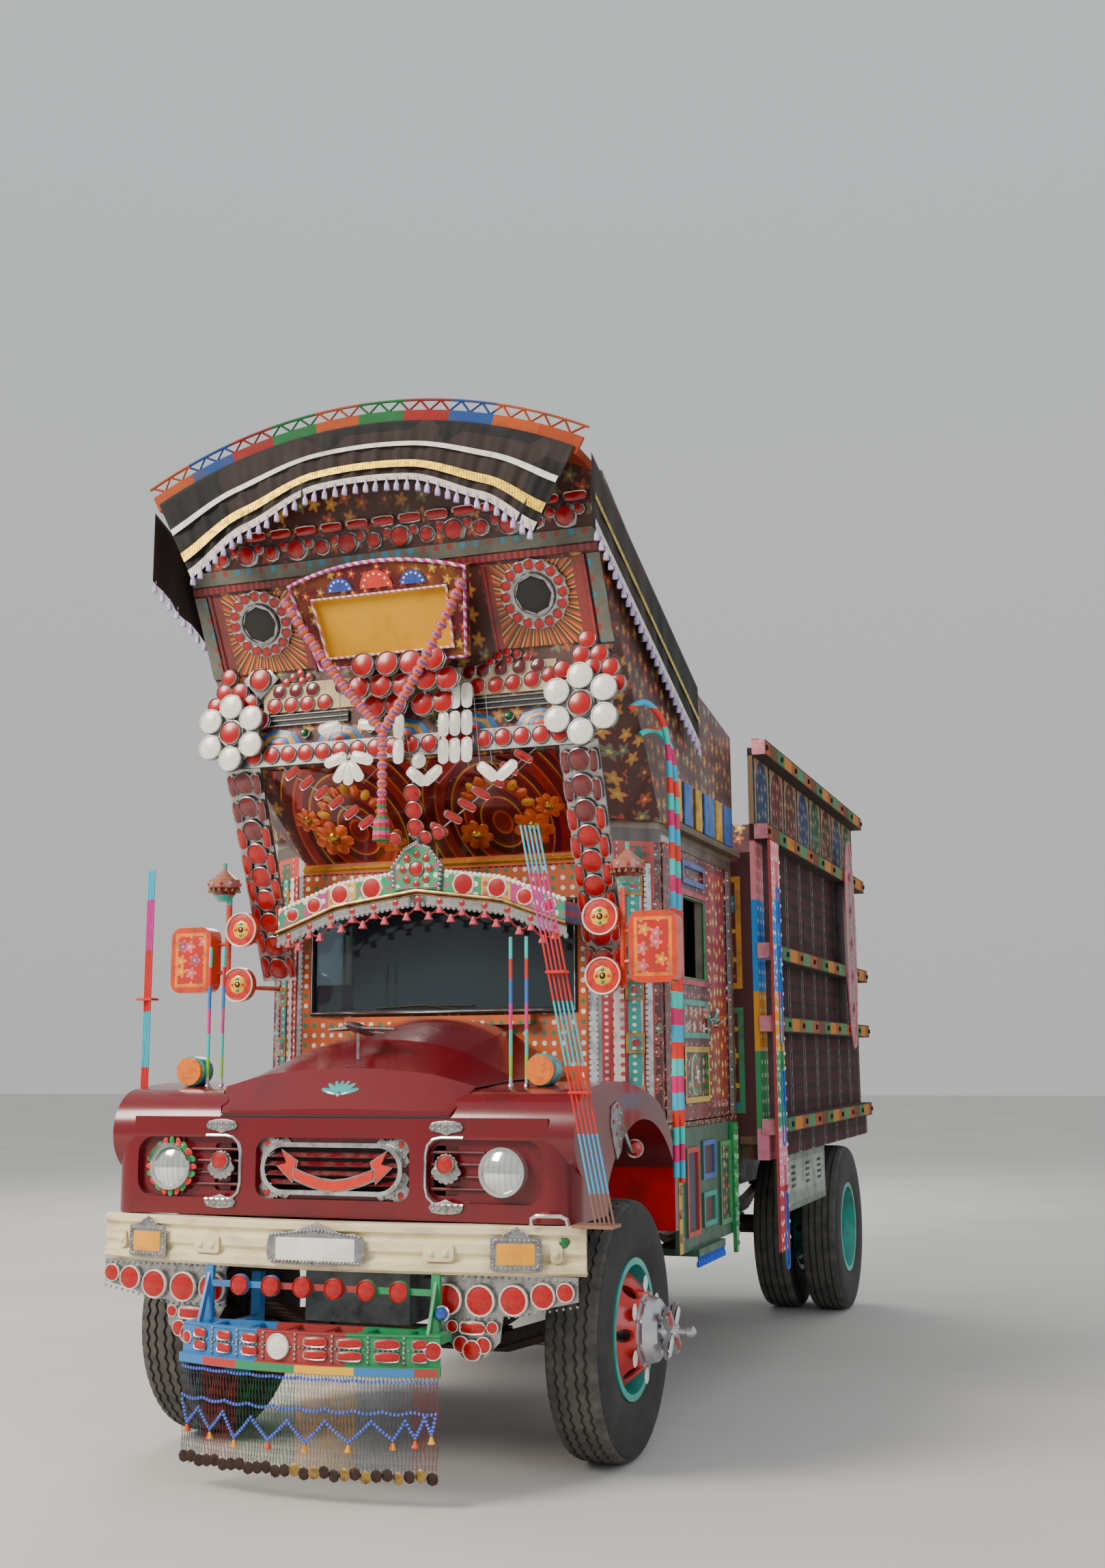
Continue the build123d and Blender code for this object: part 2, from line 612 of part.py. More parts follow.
def wing():
    """The left front wing: a pressed shell with an arch, an inner splash wall and a rolled top."""
    body = wing_form()
    corner = body.edges().filter_by(Axis.Z).filter_by_position(
        Axis.X, NOSE_HALF_WIDTH - 1, NOSE_HALF_WIDTH + 1).sort_by(Axis.Y)[0]
    body = fillet(corner, 100)
    spring = ARCH_TOP - 230
    arch = [
        Line((ARCH_FRONT, WING_BOTTOM - 10), (ARCH_FRONT, spring)),
        ThreePointArc((ARCH_FRONT, spring), ((ARCH_FRONT + ARCH_REAR) / 2, ARCH_TOP), (ARCH_REAR, spring)),
        Line((ARCH_REAR, spring), (ARCH_REAR, WING_BOTTOM - 10)),
        Line((ARCH_REAR, WING_BOTTOM - 10), (ARCH_FRONT, WING_BOTTOM - 10)),
    ]
    void = extrude(Plane.YZ.offset(WING_INNER + 14) * make_face(arch), NOSE_HALF_WIDTH)
    void_x = (WING_INNER + 14, NOSE_HALF_WIDTH - 40)
    nose_void = block(*void_x, NOSE_FRONT + 60, ARCH_FRONT + 1, NOSE_BOTTOM - 1, 1330)
    lamp_bowl = rod_y(LAMP_X, NOSE_FRONT - 1, NOSE_FRONT + 130, LAMP_Z, LAMP_RADIUS + 10)
    inset = block(WING_INNER - 1, NOSE_HALF_WIDTH - 105, NOSE_FRONT - 1, NOSE_FRONT + NOSE_SHEET,
                  NOSE_BOTTOM - 1, NOSE_TOP)
    return body - void - nose_void - lamp_bowl - inset - bonnet_form(-SHUT_GAP, SHUT_GAP)


# Bonnet: a domed lid hinged at the windscreen
BONNET_STATIONS = (
    # y, half width, edge height, shoulder half width, shoulder height, top height
    (NOSE_FRONT + 6, 500, 1376, 380, 1390, 1400),
    (-610, 556, 1478, 380, 1530, 1556),
    (-300, 600, 1504, 370, 1620, 1672),
    (BONNET_REAR, 632, 1512, 360, 1716, 1772),
)


def bonnet_form(inset, sink):
    """The bonnet's form through its stations, pulled in by an inset and sunk below its edges."""
    sections = []
    for y, half, edge, shoulder, shoulder_z, top in BONNET_STATIONS:
        lowest = edge - sink
        side_x = -half + inset
        left = [(side_x, lowest), (side_x, edge + 6 - inset * 0.4), (-shoulder, shoulder_z - inset)]
        right = [(-x, z) for x, z in reversed(left)]
        points = left + right
        lines = [Line(points[0], points[1]), Line(points[1], points[2]),
                 ThreePointArc(points[2], (0, top - inset), points[3]),
                 Line(points[3], points[4]), Line(points[4], points[5]), Line(points[5], points[0])]
        sections.append(Plane.XZ.offset(-y) * make_face(lines))
    return loft(sections, ruled=True)


def bonnet():
    """Sheet lid with turned-down edges and a hinge bar at the back."""
    shell = bonnet_form(0, 0) - bonnet_form(BONNET_SHEET, 40)
    lip_half = WING_INNER - SHUT_GAP
    front_lip = block(-lip_half, lip_half, NOSE_FRONT + 6, NOSE_FRONT + 20, NOSE_TOP + SHUT_GAP, 1392)
    shell = shell + front_lip
    return shell


# Cab shell, windscreen, seats and controls
def cab_outline(inset):
    """Plan of the cab: a narrow front with slanted corners, pulled in by an inset."""
    half = CAB_HALF_WIDTH - inset
    front_half = CAB_FRONT_HALF_WIDTH - inset * 0.4
    corner = CAB_CORNER_Y + inset * 0.4
    right = [(-half, CAB_REAR - inset), (-half, corner), (-front_half, CAB_FRONT + inset)]
    return right + [(-x, y) for x, y in reversed(right)]


def cab_shell():
    """Timber and sheet cab: floor, walls and roof, with the screen and both doorways cut."""
    outer = plan_plate(cab_outline(0), CAB_FLOOR, CAB_ROOF)
    inner = plan_plate(cab_outline(CAB_WALL), CAB_FLOOR + CAB_WALL, CAB_ROOF - CAB_WALL)
    screen = block(-SCREEN_HALF_WIDTH, SCREEN_HALF_WIDTH, CAB_FRONT - 1, CAB_FRONT + CAB_WALL + 1,
                   SCREEN_BOTTOM, SCREEN_TOP)
    doorway = block(CAB_HALF_WIDTH - CAB_WALL - 1, CAB_HALF_WIDTH + 1, DOOR_FRONT - SHUT_GAP,
                    DOOR_REAR + SHUT_GAP, DOOR_BOTTOM - SHUT_GAP, DOOR_TOP + SHUT_GAP)
    scuttle_half = WING_INNER - 10
    scuttle_low = SCREEN_BOTTOM - 60
    scuttle = block(-scuttle_half, scuttle_half, BONNET_REAR + 10, CAB_FRONT, scuttle_low, scuttle_low + 42)
    return outer - inner - screen - pair(doorway) - pair(wing_form()) + scuttle


GLASS = 6


def windscreen():
    """Curved glass set in the front of the cab."""
    back = CAB_FRONT + 12
    bulge = 40
    outer = ThreePointArc((-SCREEN_HALF_WIDTH, back), (0, back - bulge), (SCREEN_HALF_WIDTH, back))
    ends_y = back + GLASS
    inner = ThreePointArc((SCREEN_HALF_WIDTH, ends_y), (0, ends_y - bulge), (-SCREEN_HALF_WIDTH, ends_y))
    loop = [outer, Line((SCREEN_HALF_WIDTH, back), (SCREEN_HALF_WIDTH, back + GLASS)), inner,
            Line((-SCREEN_HALF_WIDTH, back + GLASS), (-SCREEN_HALF_WIDTH, back))]
    return extrude(Plane.XY.offset(SCREEN_BOTTOM) * make_face(loop), SCREEN_TOP - SCREEN_BOTTOM)


def dashboard():
    """Dash shelf across the cab, with the steering column."""
    y = CAB_FRONT + CAB_WALL
    shelf = block(-640, 640, y, y + 190, 1640, 1760)
    return shelf


def steering_wheel():
    """Steering wheel on its raked column, on the right-hand side."""
    x = -430
    centre = Pos(x, 780, 1780) * Rot(-50, 0, 0)
    ring = centre * Torus(215, 13)
    hub = centre * Cylinder(40, 40)
    spokes = centre * Box(424, 24, 12)
    column = bar((x, 780, 1775), (x, 480, 1423), 22, 12)
    foot = bar((x, 480, 1423), (x, CAB_FRONT + CAB_WALL + 30, CAB_FLOOR + CAB_WALL + 240), 22, 12)
    return ring + hub + spokes + column + foot


def cab_seats():
    """Two bench cushions with backrests on a timber box."""
    floor = CAB_FLOOR + CAB_WALL
    shape = None
    for x0, x1 in ((-880, -60), (60, 880)):
        box = block(x0, x1, 1150, 1740, floor, floor + 280)
        cushion = block(x0, x1, 1110, 1740, floor + 280, floor + 420)
        back = block(x0, x1, 1740, CAB_REAR - CAB_WALL, floor + 280, floor + 980)
        seat = box + cushion + back
        shape = seat if shape is None else shape + seat
    return shape


# Doors, hung at their front edges
WINDOW = (860, 1270, 1960, 2350)
PANEL_FRAMES = (
    # y0, y1, z0, z1 of each raised frame
    (830, 1300, 1930, 2380),
    (830, 1300, 1680, 1860),
    (840, 1290, 1380, 1640),
    (860, 1270, 2410, 2520),
)
FRAME_BAR = 26
FRAME_PROUD = 12


def door():
    """The left door: a carved timber leaf with a cut window, raised frames and a lever."""
    x1 = CAB_HALF_WIDTH + 6
    x0 = x1 - DOOR_THICKNESS
    leaf = block(x0, x1, DOOR_FRONT, DOOR_REAR, DOOR_BOTTOM, DOOR_TOP)
    for y0, y1, z0, z1 in PANEL_FRAMES:
        frame = block(x1, x1 + FRAME_PROUD, y0, y1, z0, z1)
        gap = FRAME_BAR
        frame = frame - block(x1, x1 + FRAME_PROUD, y0 + gap, y1 - gap, z0 + gap, z1 - gap)
        leaf = leaf + frame
    y0, y1, z0, z1 = WINDOW
    leaf = leaf - block(x0 - 1, x1 + FRAME_PROUD + 1, y0, y1, z0, z1)
    edge = block(x1, x1 + 6, DOOR_REAR - 70, DOOR_REAR, DOOR_BOTTOM, DOOR_TOP)
    spindle = rod_x(x1, x1 + 46, 1480, 1780, 12)
    lever = bar((x1 + 42, 1480, 1780), (x1 + 42, 1310, 1740), 11, 8)
    return leaf + edge + spindle + lever


# The painted prow over the cab, a flaring shell of timber boards
CROWN_STATIONS = (
    # height, front y, front half width, flank y
    (2470, 345, 700, 640),
    (2930, -90, 800, 300),
    (3350, -100, 985, -60),
    (3700, -290, 990, -250),
    (4300, -500, 1000, -460),
)
CROWN_SIDE_X = 1000


def crown_form(inset, low, high):
    """The flaring form between two heights, pulled in by an inset, open or closed at will."""
    sections = []
    for z, front, half, flank in CROWN_STATIONS:
        side = CROWN_SIDE_X - inset
        rear = CAB_REAR - inset
        points = [(-side, rear), (-side, flank + inset * 0.5), (-half + inset * 0.6, front + inset)]
        points = points + [(-x, y) for x, y in reversed(points)]
        sections.append(Plane.XY.offset(z) * make_face(Polyline(*points, close=True)))
    form = loft(sections, ruled=True)
    return form & block(-1200, 1200, -1200, CAB_REAR, low, high)


def crown_shell():
    """Front, flanks, floor and sloping side walls of the crown, open above and behind."""
    outer = crown_form(0, 2470, 4300)
    inner = crown_form(CROWN_WALL, CAB_ROOF + 30, 4300)
    rear = CAB_REAR + 1
    over = [(-300, 4050), (1090, 3420), (rear, CROWN_REAR_TOP), (rear, 4301), (-300, 4301)]
    slope = side_plate(over, -1100, 1100)
    cab_space = block(-1100, 1100, CAB_FRONT, CAB_REAR + 1, 2400, CAB_ROOF)
    mouth_half = CROWN_SIDE_X - 40
    rear_mouth = block(-mouth_half, mouth_half, CAB_REAR - 60, CAB_REAR + 1, CAB_ROOF + 30, 4200)
    above_arch = arch_band(-SHELF_SHEET, 700, -900, -299)
    return outer - inner - slope - cab_space - rear_mouth - above_arch


SHELF_END_Z = 4040
SHELF_CENTRE_Z = 4280
SHELF_HALF = 1000
SHELF_SHEET = 30
SHELF_FRONT = -600
shelf_rise = SHELF_CENTRE_Z - SHELF_END_Z
shelf_radius = (SHELF_HALF ** 2 + shelf_rise ** 2) / (2 * shelf_rise)
shelf_turn = degrees(asin(SHELF_HALF / shelf_radius))


def arch_band(low, high, y0, y1):
    """A strip of the crown's arch between two heights above its lower curve."""
    centre_z = SHELF_CENTRE_Z - shelf_radius
    corners = []
    for rise, turns in ((low, (-shelf_turn, 0, shelf_turn)), (high, (shelf_turn, 0, -shelf_turn))):
        radius = shelf_radius + rise
        corners.append([(radius * sin(radians(a)), centre_z + radius * cos(radians(a))) for a in turns])
    under, over = corners
    loop = [ThreePointArc(*under), Line(under[2], over[0]), ThreePointArc(*over), Line(over[2], under[0])]
    return extrude(Plane.XZ.offset(-y1) * make_face(loop), y1 - y0)


TRUSS_BAYS = 44


def crown_arch():
    """Arched shelf at the top of the crown, its painted fret band and the truss of thin bars."""
    shelf = arch_band(-SHELF_SHEET, 0, SHELF_FRONT, -300)
    fret = arch_band(0, 46, SHELF_FRONT, SHELF_FRONT + 14)
    top_rail = arch_band(88, 96, SHELF_FRONT, SHELF_FRONT + 10)
    shape = shelf + fret + top_rail
    centre_z = SHELF_CENTRE_Z - shelf_radius
    for i in range(TRUSS_BAYS):
        ends = []
        for step, rise in ((i, 44 if i % 2 else 90), (i + 1, 90 if i % 2 else 44)):
            a = radians(shelf_turn * 0.985 * (2 * step / TRUSS_BAYS - 1))
            radius = shelf_radius + rise
            ends.append((radius * sin(a), SHELF_FRONT + 5, centre_z + radius * cos(a)))
        shape = shape + bar(ends[0], ends[1], 5, 4)
    return shape


SIGN_STANDOFFS = ((-250, 90), (250, 90), (-250, 350), (250, 350))


def sign_board():
    """Blank yellow board in a deep carved frame, held off the crown's face on four stand-offs."""
    lean = degrees(atan2(190, 350))
    outline = [(-360, 0), (360, 0), (430, 400), (0, 470), (-430, 400)]
    field = [(-300, 60), (300, 60), (320, 310), (-320, 310)]
    sign = front_plate(outline, 0, 36) - front_plate(field, -1, 20) + front_plate(field, 14, 20)
    for x, z in SIGN_STANDOFFS:
        sign = sign + block(x - 15, x + 15, 35, 140, z - 15, z + 15)
    return Pos(0, -174, 3339) * Rot(lean, 0, 0) * Pos(0, -70, 0) * sign


def rosettes():
    """Two round medallions on the crown's face, each a ring of small reflectors."""
    lean = degrees(atan2(190, 350))
    disc = Rot(90, 0, 0) * Cylinder(152, 22) + Pos(0, -12, 0) * Rot(90, 0, 0) * Cylinder(86, 14)
    placed = Pos(668, -229, 3560) * Rot(lean, 0, 0) * disc
    return solids_of(placed, to_right(placed))


# Reflector work under the crown: beam, columns, diagonals and flowers
BEAM_Z = 2960
COLUMNS = (
    # x at top, x at bottom, half width
    (880, 872, 26),
    (818, 806, 40),
    (756, 742, 26),
)
COLUMN_TOP = (-106, 2930)
COLUMN_FOOT = (284, 1960)


FLOWER_PETALS = 6
FLOWER_EYE = 62
PETAL_RING = 122
PETAL_RADIUS = 58


def reflector_work():
    """Beam, leaning column strips, the V of capsules and the two flower carriers."""
    beam = block(-860, 860, -130, -98, BEAM_Z - 48, BEAM_Z + 48)
    shape = beam
    for x_top, x_low, half in COLUMNS:
        top_y, top_z = COLUMN_TOP
        foot_y, foot_z = COLUMN_FOOT
        outline = [(foot_y - 8, foot_z), (foot_y + 8, foot_z), (top_y + 8, top_z), (top_y - 8, top_z)]
        strip = side_plate(outline, x_top - half, x_top + half)
        shape = shape + pair(strip)
    flower = Rot(90, 0, 0) * Cylinder(FLOWER_EYE, 20)
    for i in range(FLOWER_PETALS):
        a = radians(360 / FLOWER_PETALS * i + 90)
        petal = Rot(90, 0, 0) * Cylinder(PETAL_RADIUS, 20)
        flower = flower + Pos(PETAL_RING * cos(a), 0, PETAL_RING * sin(a)) * petal
    flower = flower + Pos(0, 16, 0) * Rot(90, 0, 0) * Cylinder(PETAL_RING + 14, 14)
    placed = Pos(850, -160, 3075) * flower
    post = block(800, 900, -150, -98, 2960, 3120)
    return shape + pair(placed + post)


BROW_BAND = (
    # x, lower edge z, upper edge z
    (-700, 2170, 2262), (-400, 2282, 2374), (0, 2336, 2430), (400, 2282, 2374), (700, 2170, 2262),
)
BROW_MEDALLION = ((-110, 2336), (110, 2336), (120, 2440), (60, 2520), (0, 2548), (-60, 2520), (-120, 2440))
BROW_FRONT = 40
BROW_BACK = 58


def brow():
    """Arched visor over the windscreen with its centre medallion."""
    upper = [(x, high) for x, low, high in BROW_BAND]
    lower = [(x, low) for x, low, high in reversed(BROW_BAND)]
    shape = front_plate(upper + lower, BROW_FRONT, BROW_BACK)
    shape = shape + front_plate(list(BROW_MEDALLION), BROW_FRONT - 10, BROW_BACK)
    for (x0, z0, high0), (x1, z1, high1) in zip(BROW_BAND, BROW_BAND[1:]):
        roof = [(x0, z0), (x1, z1), (x1, z1 + 16), (x0, z0 + 16)]
        shape = shape + front_plate(roof, BROW_BACK - 10, CAB_FRONT - 46)
    end_x, end_low, end_high = BROW_BAND[-1]
    return shape + pair(block(end_x - 30, end_x, BROW_FRONT, CAB_FRONT, end_low, end_high))


# Mirrors, lamps and rods at the sides of the nose
def mirror_set():
    """Left mirror in its painted housing on a tube frame, with a domed lamp on top."""
    housing = Pos(1112, 10, 2048) * Box(210, 90, 300)
    housing = fillet(housing.edges().filter_by(Axis.Y), 50)
    stem = bar((960, 40, 1880), (960, 40, 2330), 14, 10)
    arms = bar((960, 40, 2150), (930, 482, 2150), 12, 10) + bar((960, 40, 1930), (930, 482, 1930), 12, 10)
    cross = bar((960, 40, 2120), (1050, 20, 2120), 10, 8) + bar((960, 40, 1990), (1050, 20, 1990), 10, 8)
    discs = bar((870, 30, 2183), (870, 0, 2183), 80, 24) + bar((880, 30, 1932), (880, 0, 1932), 80, 24)
    links = bar((870, 24, 2183), (962, 40, 2150), 9, 6) + bar((880, 24, 1932), (962, 40, 1930), 9, 6)
    cup = Pos(986, 34, 2350) * Cone(30, 68, 60) + Pos(986, 34, 2400) * Cylinder(72, 40)
    dome = Pos(986, 34, 2440) * Cone(68, 12, 50) + Pos(986, 34, 2480) * Cylinder(10, 40)
    mirror_work = housing + stem + arms + cross + discs + links + cup + dome
    return mirror_work - plan_plate(cab_outline(0), CAB_FLOOR, CAB_ROOF)


def wing_lamps():
    """Amber lamps on short stems on the wings."""
    stem = rod_z(790, -490, WING_CREST - 24, 1510, 14)
    bowl = rod_y(790, -530, -450, 1545, 58)
    lamp = stem + bowl - wing_form()
    return solids_of(lamp, to_right(lamp))


RODS = 5
ROD_LENGTH = 1480


ROD_BUNDLES = (
    # x, y and z of the foot, lean across at the top
    (1130, -765, 992, -290),
    (-1046, -470, 935, 0),
)
ROD_PAIR_X = (655, 722)
ROD_PAIR_Y = -490


def antenna_rods():
    """Bundles of painted rods at the bumper ends and short pairs on the wings."""
    shapes = []
    for foot_x, foot_y, foot_z, lean in ROD_BUNDLES:
        side = 1 if foot_x > 0 else -1
        inner_x = NOSE_HALF_WIDTH + (5 if side > 0 else 0)
        reach = sorted((side * inner_x, foot_x + side * 36))
        behind = 75 if side > 0 else 30
        bundle = block(reach[0], reach[1], foot_y - 30, foot_y + behind, foot_z - 12, foot_z)
        for i in range(RODS):
            x = foot_x + side * 14 * (i - (RODS - 1) / 2)
            y = foot_y - 20 + 10 * i
            bundle = bundle + bar((x, y, foot_z - 6), (x + lean, y, foot_z + ROD_LENGTH), 4.5)
        for share in (0.32, 0.62):
            x = foot_x + lean * share
            z = foot_z + ROD_LENGTH * share
            bundle = bundle + block(x - 38, x + 38, foot_y - 28, foot_y + 28, z - 5, z + 5)
        shapes.append(bundle)
    for side in (-1, 1):
        for x in ROD_PAIR_X:
            rod = bar((side * x, ROD_PAIR_Y, WING_CREST - 24), (side * x, ROD_PAIR_Y, 2070), 6)
            shapes.append(rod - pair(wing_form()))
    return solids_of(*shapes)


# Front rack, chain fringe and tin skirts under the bumper
RACK_HALF = 540
RACK_TOP = 600
RACK_BACK = -800
RACK_FRONT_CENTRE = -985
RACK_FRONT_END = -900
BAND_HEIGHT = 110
rack_bow = RACK_FRONT_END - RACK_FRONT_CENTRE
rack_radius = (RACK_HALF ** 2 + rack_bow ** 2) / (2 * rack_bow)
rack_turn = degrees(asin(RACK_HALF / rack_radius))
FRINGE_BOTTOM = 85


def rack_curve(depth, z0, z1, thickness):
    """A strip standing on the rack's front curve, a depth behind it."""
    loops = []
    for radius, turns in ((rack_radius - depth, (-rack_turn, 0, rack_turn)),
                          (rack_radius - depth - thickness, (rack_turn, 0, -rack_turn))):
        centre_y = RACK_FRONT_CENTRE + rack_radius
        loops.append([(radius * sin(radians(a)), centre_y - radius * cos(radians(a))) for a in turns])
    near, far = loops
    loop = [ThreePointArc(*near), Line(near[2], far[0]), ThreePointArc(*far), Line(far[2], near[0])]
    return extrude(Plane.XY.offset(z0) * make_face(loop), z1 - z0)


def front_rack():
    """Flat steel rack hung under the bumper: bowed band, shelf bars, struts and reflector bar."""
    low = RACK_TOP - BAND_HEIGHT
    band = rack_curve(0, low, RACK_TOP, 8)
    flange = rack_curve(-18, low - 34, low, 40)
    rim = rack_curve(-4, RACK_TOP - 6, RACK_TOP, 30)
    back = block(-RACK_HALF, RACK_HALF, RACK_BACK - 30, RACK_BACK, RACK_TOP - 34, RACK_TOP)
    shape = band + flange + rim + back
    for x in (-400, -240, -80, 80, 240, 400):
        front = RACK_FRONT_CENTRE + rack_radius - sqrt(rack_radius ** 2 - x ** 2)
        shape = shape + block(x - 14, x + 14, front + 4, RACK_BACK - 15, RACK_TOP - 8, RACK_TOP)
    side = block(RACK_HALF - 34, RACK_HALF, RACK_FRONT_END + 6, RACK_BACK, RACK_TOP - 34, RACK_TOP)
    bumper_low = BUMPER_TOP - BUMPER_DEPTH
    post = block(RACK_HALF - 74, RACK_HALF - 40, RACK_BACK - 20, RACK_BACK, RACK_TOP - 10, bumper_low)
    foot = [(RACK_FRONT_END + 10, RACK_TOP), (RACK_FRONT_END + 40, RACK_TOP)]
    head = [(RACK_BACK, bumper_low - 20), (RACK_BACK, bumper_low), (RACK_BACK - 10, bumper_low)]
    strut = side_plate(foot + head, RACK_HALF - 62, RACK_HALF - 50)
    bar_z = 735
    bar_half = RACK_HALF - 50
    reflector_bar = block(-bar_half, bar_half, RACK_BACK - 20, RACK_BACK - 12, bar_z - 12, bar_z + 12)
    frame_y = FRAME_FRONT + 60
    hanger = block(370, 410, RACK_BACK - 10, frame_y, RACK_TOP - 40, RACK_TOP - 10)
    hanger = hanger + block(370, 410, frame_y - 40, frame_y, RACK_TOP - 10, RAIL_TOP - RAIL_DEPTH)
    shape = shape + pair(side) + pair(post) + pair(strut) + reflector_bar + pair(hanger)
    for x in (-340, -204, -68, 68, 204, 340):
        shape = shape + rod_y(x, RACK_BACK - 32, RACK_BACK - 18, bar_z, 40)
    return shape


FRINGE_STRANDS = 38


def chain_fringe():
    """Curtain of small chains hung from the rack's flange, tied by bead rows."""
    top = RACK_TOP - BAND_HEIGHT - 34
    centre_y = RACK_FRONT_CENTRE + rack_radius
    shape = rack_curve(-6, top - 14, top, 10)
    for z in (top - 110, top - 210, FRINGE_BOTTOM + 14):
        shape = shape + rack_curve(-6, z - 6, z + 6, 10)
    for i in range(FRINGE_STRANDS):
        a = radians(rack_turn * 0.985 * (2 * i / (FRINGE_STRANDS - 1) - 1))
        x = (rack_radius + 1) * sin(a)
        y = centre_y - (rack_radius + 1) * cos(a)
        shape = shape + block(x - 5, x + 5, y - 4, y + 4, FRINGE_BOTTOM, top - 7)
    return shape


SKIRT_DISCS = (
    # x, z, radius
    (505, 706, 60), (637, 706, 60), (770, 712, 58), (885, 732, 49), (972, 748, 36),
    (525, 610, 24), (605, 608, 28), (685, 612, 24), (560, 548, 32), (605, 520, 36), (650, 548, 32),
)
SKIRT_BACK = -738
SKIRT_FRONT = -742
SKIRT_UPPER = ((452, 652), (790, 652), (880, 684), (1016, 714))
SKIRT_PENDANT = (
    # x, z
    (452, 640), (500, 560), (560, 500), (605, 478), (650, 500), (710, 560), (730, 700), (452, 700),
)


def tin_skirts():
    """Punched tin plates under the bumper ends, each with its round reflectors."""
    bumper_low = BUMPER_TOP - BUMPER_DEPTH
    inner_x = SKIRT_UPPER[0][0]
    outer_x = SKIRT_UPPER[-1][0]
    upper = list(SKIRT_UPPER) + [(outer_x, bumper_low), (inner_x, bumper_low)]
    skirt = front_plate(upper, SKIRT_FRONT, SKIRT_BACK)
    skirt = skirt + front_plate(list(SKIRT_PENDANT), SKIRT_FRONT, SKIRT_BACK)
    for x, z, radius in SKIRT_DISCS:
        skirt = skirt + rod_y(x, SKIRT_FRONT - 14, SKIRT_BACK, z, radius)
    hanger = block(640, outer_x - 16, SKIRT_FRONT, SKIRT_BACK + 12, bumper_low - 20, bumper_low)
    return solids_of(skirt + hanger, to_right(skirt + hanger))


# Load body: deck, sides, headboard, rear frame and gate
wall_inner_x = BODY_HALF_WIDTH - POST_DEPTH - SIDE_BOARD


def load_deck():
    """Plank floor on cross bearers and two runners along the frame."""
    half = wall_inner_x
    deck = block(-half, half, BODY_FRONT, BODY_REAR - 40, DECK_TOP - DECK_THICKNESS, DECK_TOP)
    bearer_low = DECK_TOP - DECK_THICKNESS - BEARER_DEPTH
    count = 9
    for i in range(count):
        y = BODY_FRONT + 40 + i * (BODY_REAR - BODY_FRONT - 180) / (count - 1)
        deck = deck + block(-half, half, y, y + 60, bearer_low, bearer_low + BEARER_DEPTH)
    runner_x = (FRAME_HALF_WIDTH - RAIL_FLANGE, FRAME_HALF_WIDTH)
    runner = block(*runner_x, BODY_FRONT, FRAME_REAR, RAIL_TOP, bearer_low)
    return deck + pair(runner)


SIDE_RAILS_Z = (1230, 1765, 2150, 2790, 3250)
RAIL_HEIGHT = 84
SIDE_POSTS = 9


def load_side():
    """The left side wall: boards inside, posts and painted rails outside, pierced ornaments."""
    out = BODY_HALF_WIDTH
    wall_x = wall_inner_x
    low = DECK_TOP - DECK_THICKNESS - BEARER_DEPTH
    wall = block(wall_x, wall_x + SIDE_BOARD, BODY_FRONT, BODY_REAR, low, SIDE_RAILS_Z[-1])
    sill = block(wall_x + SIDE_BOARD, out, BODY_FRONT, BODY_REAR, low, DECK_TOP + 70)
    shape = wall + sill
    for z in SIDE_RAILS_Z:
        low = z - RAIL_HEIGHT / 2
        rail = block(out - POST_DEPTH, out + RAIL_PROUD, BODY_FRONT, BODY_REAR, low, low + RAIL_HEIGHT)
        shape = shape + rail
    for i in range(SIDE_POSTS):
        y = BODY_FRONT + i * (BODY_REAR - BODY_FRONT - 60) / (SIDE_POSTS - 1)
        shape = shape + block(wall_x + SIDE_BOARD, out, y, y + 60, low, SIDE_TOP)
    ornament_x = out + RAIL_PROUD
    oval_y = BODY_REAR - 730
    foot = (oval_y, 1640)
    tip = (oval_y, 3040)
    oval = [ThreePointArc(foot, (oval_y + 170, 2340), tip), ThreePointArc(tip, (oval_y - 170, 2340), foot)]
    plate = extrude(Plane.YZ.offset(ornament_x) * make_face(oval), 16)
    for z in (1900, 2120, 2340, 2560, 2780):
        hole = extrude(RegularPolygon(66, 4), 40, both=True)
        plate = plate - Pos(ornament_x, oval_y, z) * Rot(0, 90, 0) * hole
    post = block(ornament_x, ornament_x + 16, BODY_FRONT - 20, BODY_FRONT + 190, 600, 2740)
    for z in (700, 1330, 1850, 2300):
        post = post - block(ornament_x - 1, ornament_x + 17, BODY_FRONT + 90, BODY_FRONT + 150, z, z + 330)
    return shape + plate + post


def headboard():
    """Plank wall between the cab and the load space."""
    half = wall_inner_x
    return block(-half, half, BODY_FRONT, BODY_FRONT + 30, DECK_TOP, CAB_ROOF + 30)


REAR_PLANKS = 6
PLANK_GAP = 12


def rear_frame():
    """Corner posts and fixed boards above the drop gate."""
    half = wall_inner_x
    posts = pair(block(half - 70, half, BODY_REAR - 70, BODY_REAR - 46, DECK_TOP, SIDE_TOP))
    shape = posts
    pitch = (SIDE_TOP - GATE_TOP - 20) / REAR_PLANKS
    for i in range(REAR_PLANKS):
        z = GATE_TOP + 20 + pitch * i
        shape = shape + block(-half, half, BODY_REAR - 76, BODY_REAR - 46, z, z + pitch - PLANK_GAP)
    for x in (-600, -200, 200, 600):
        shape = shape + block(x - 40, x + 40, BODY_REAR - 56, BODY_REAR - 36, GATE_TOP + 20, SIDE_TOP)
    return shape


GATE_HINGE_Y = BODY_REAR + 12
GATE_HINGE_Z = DECK_TOP - 4


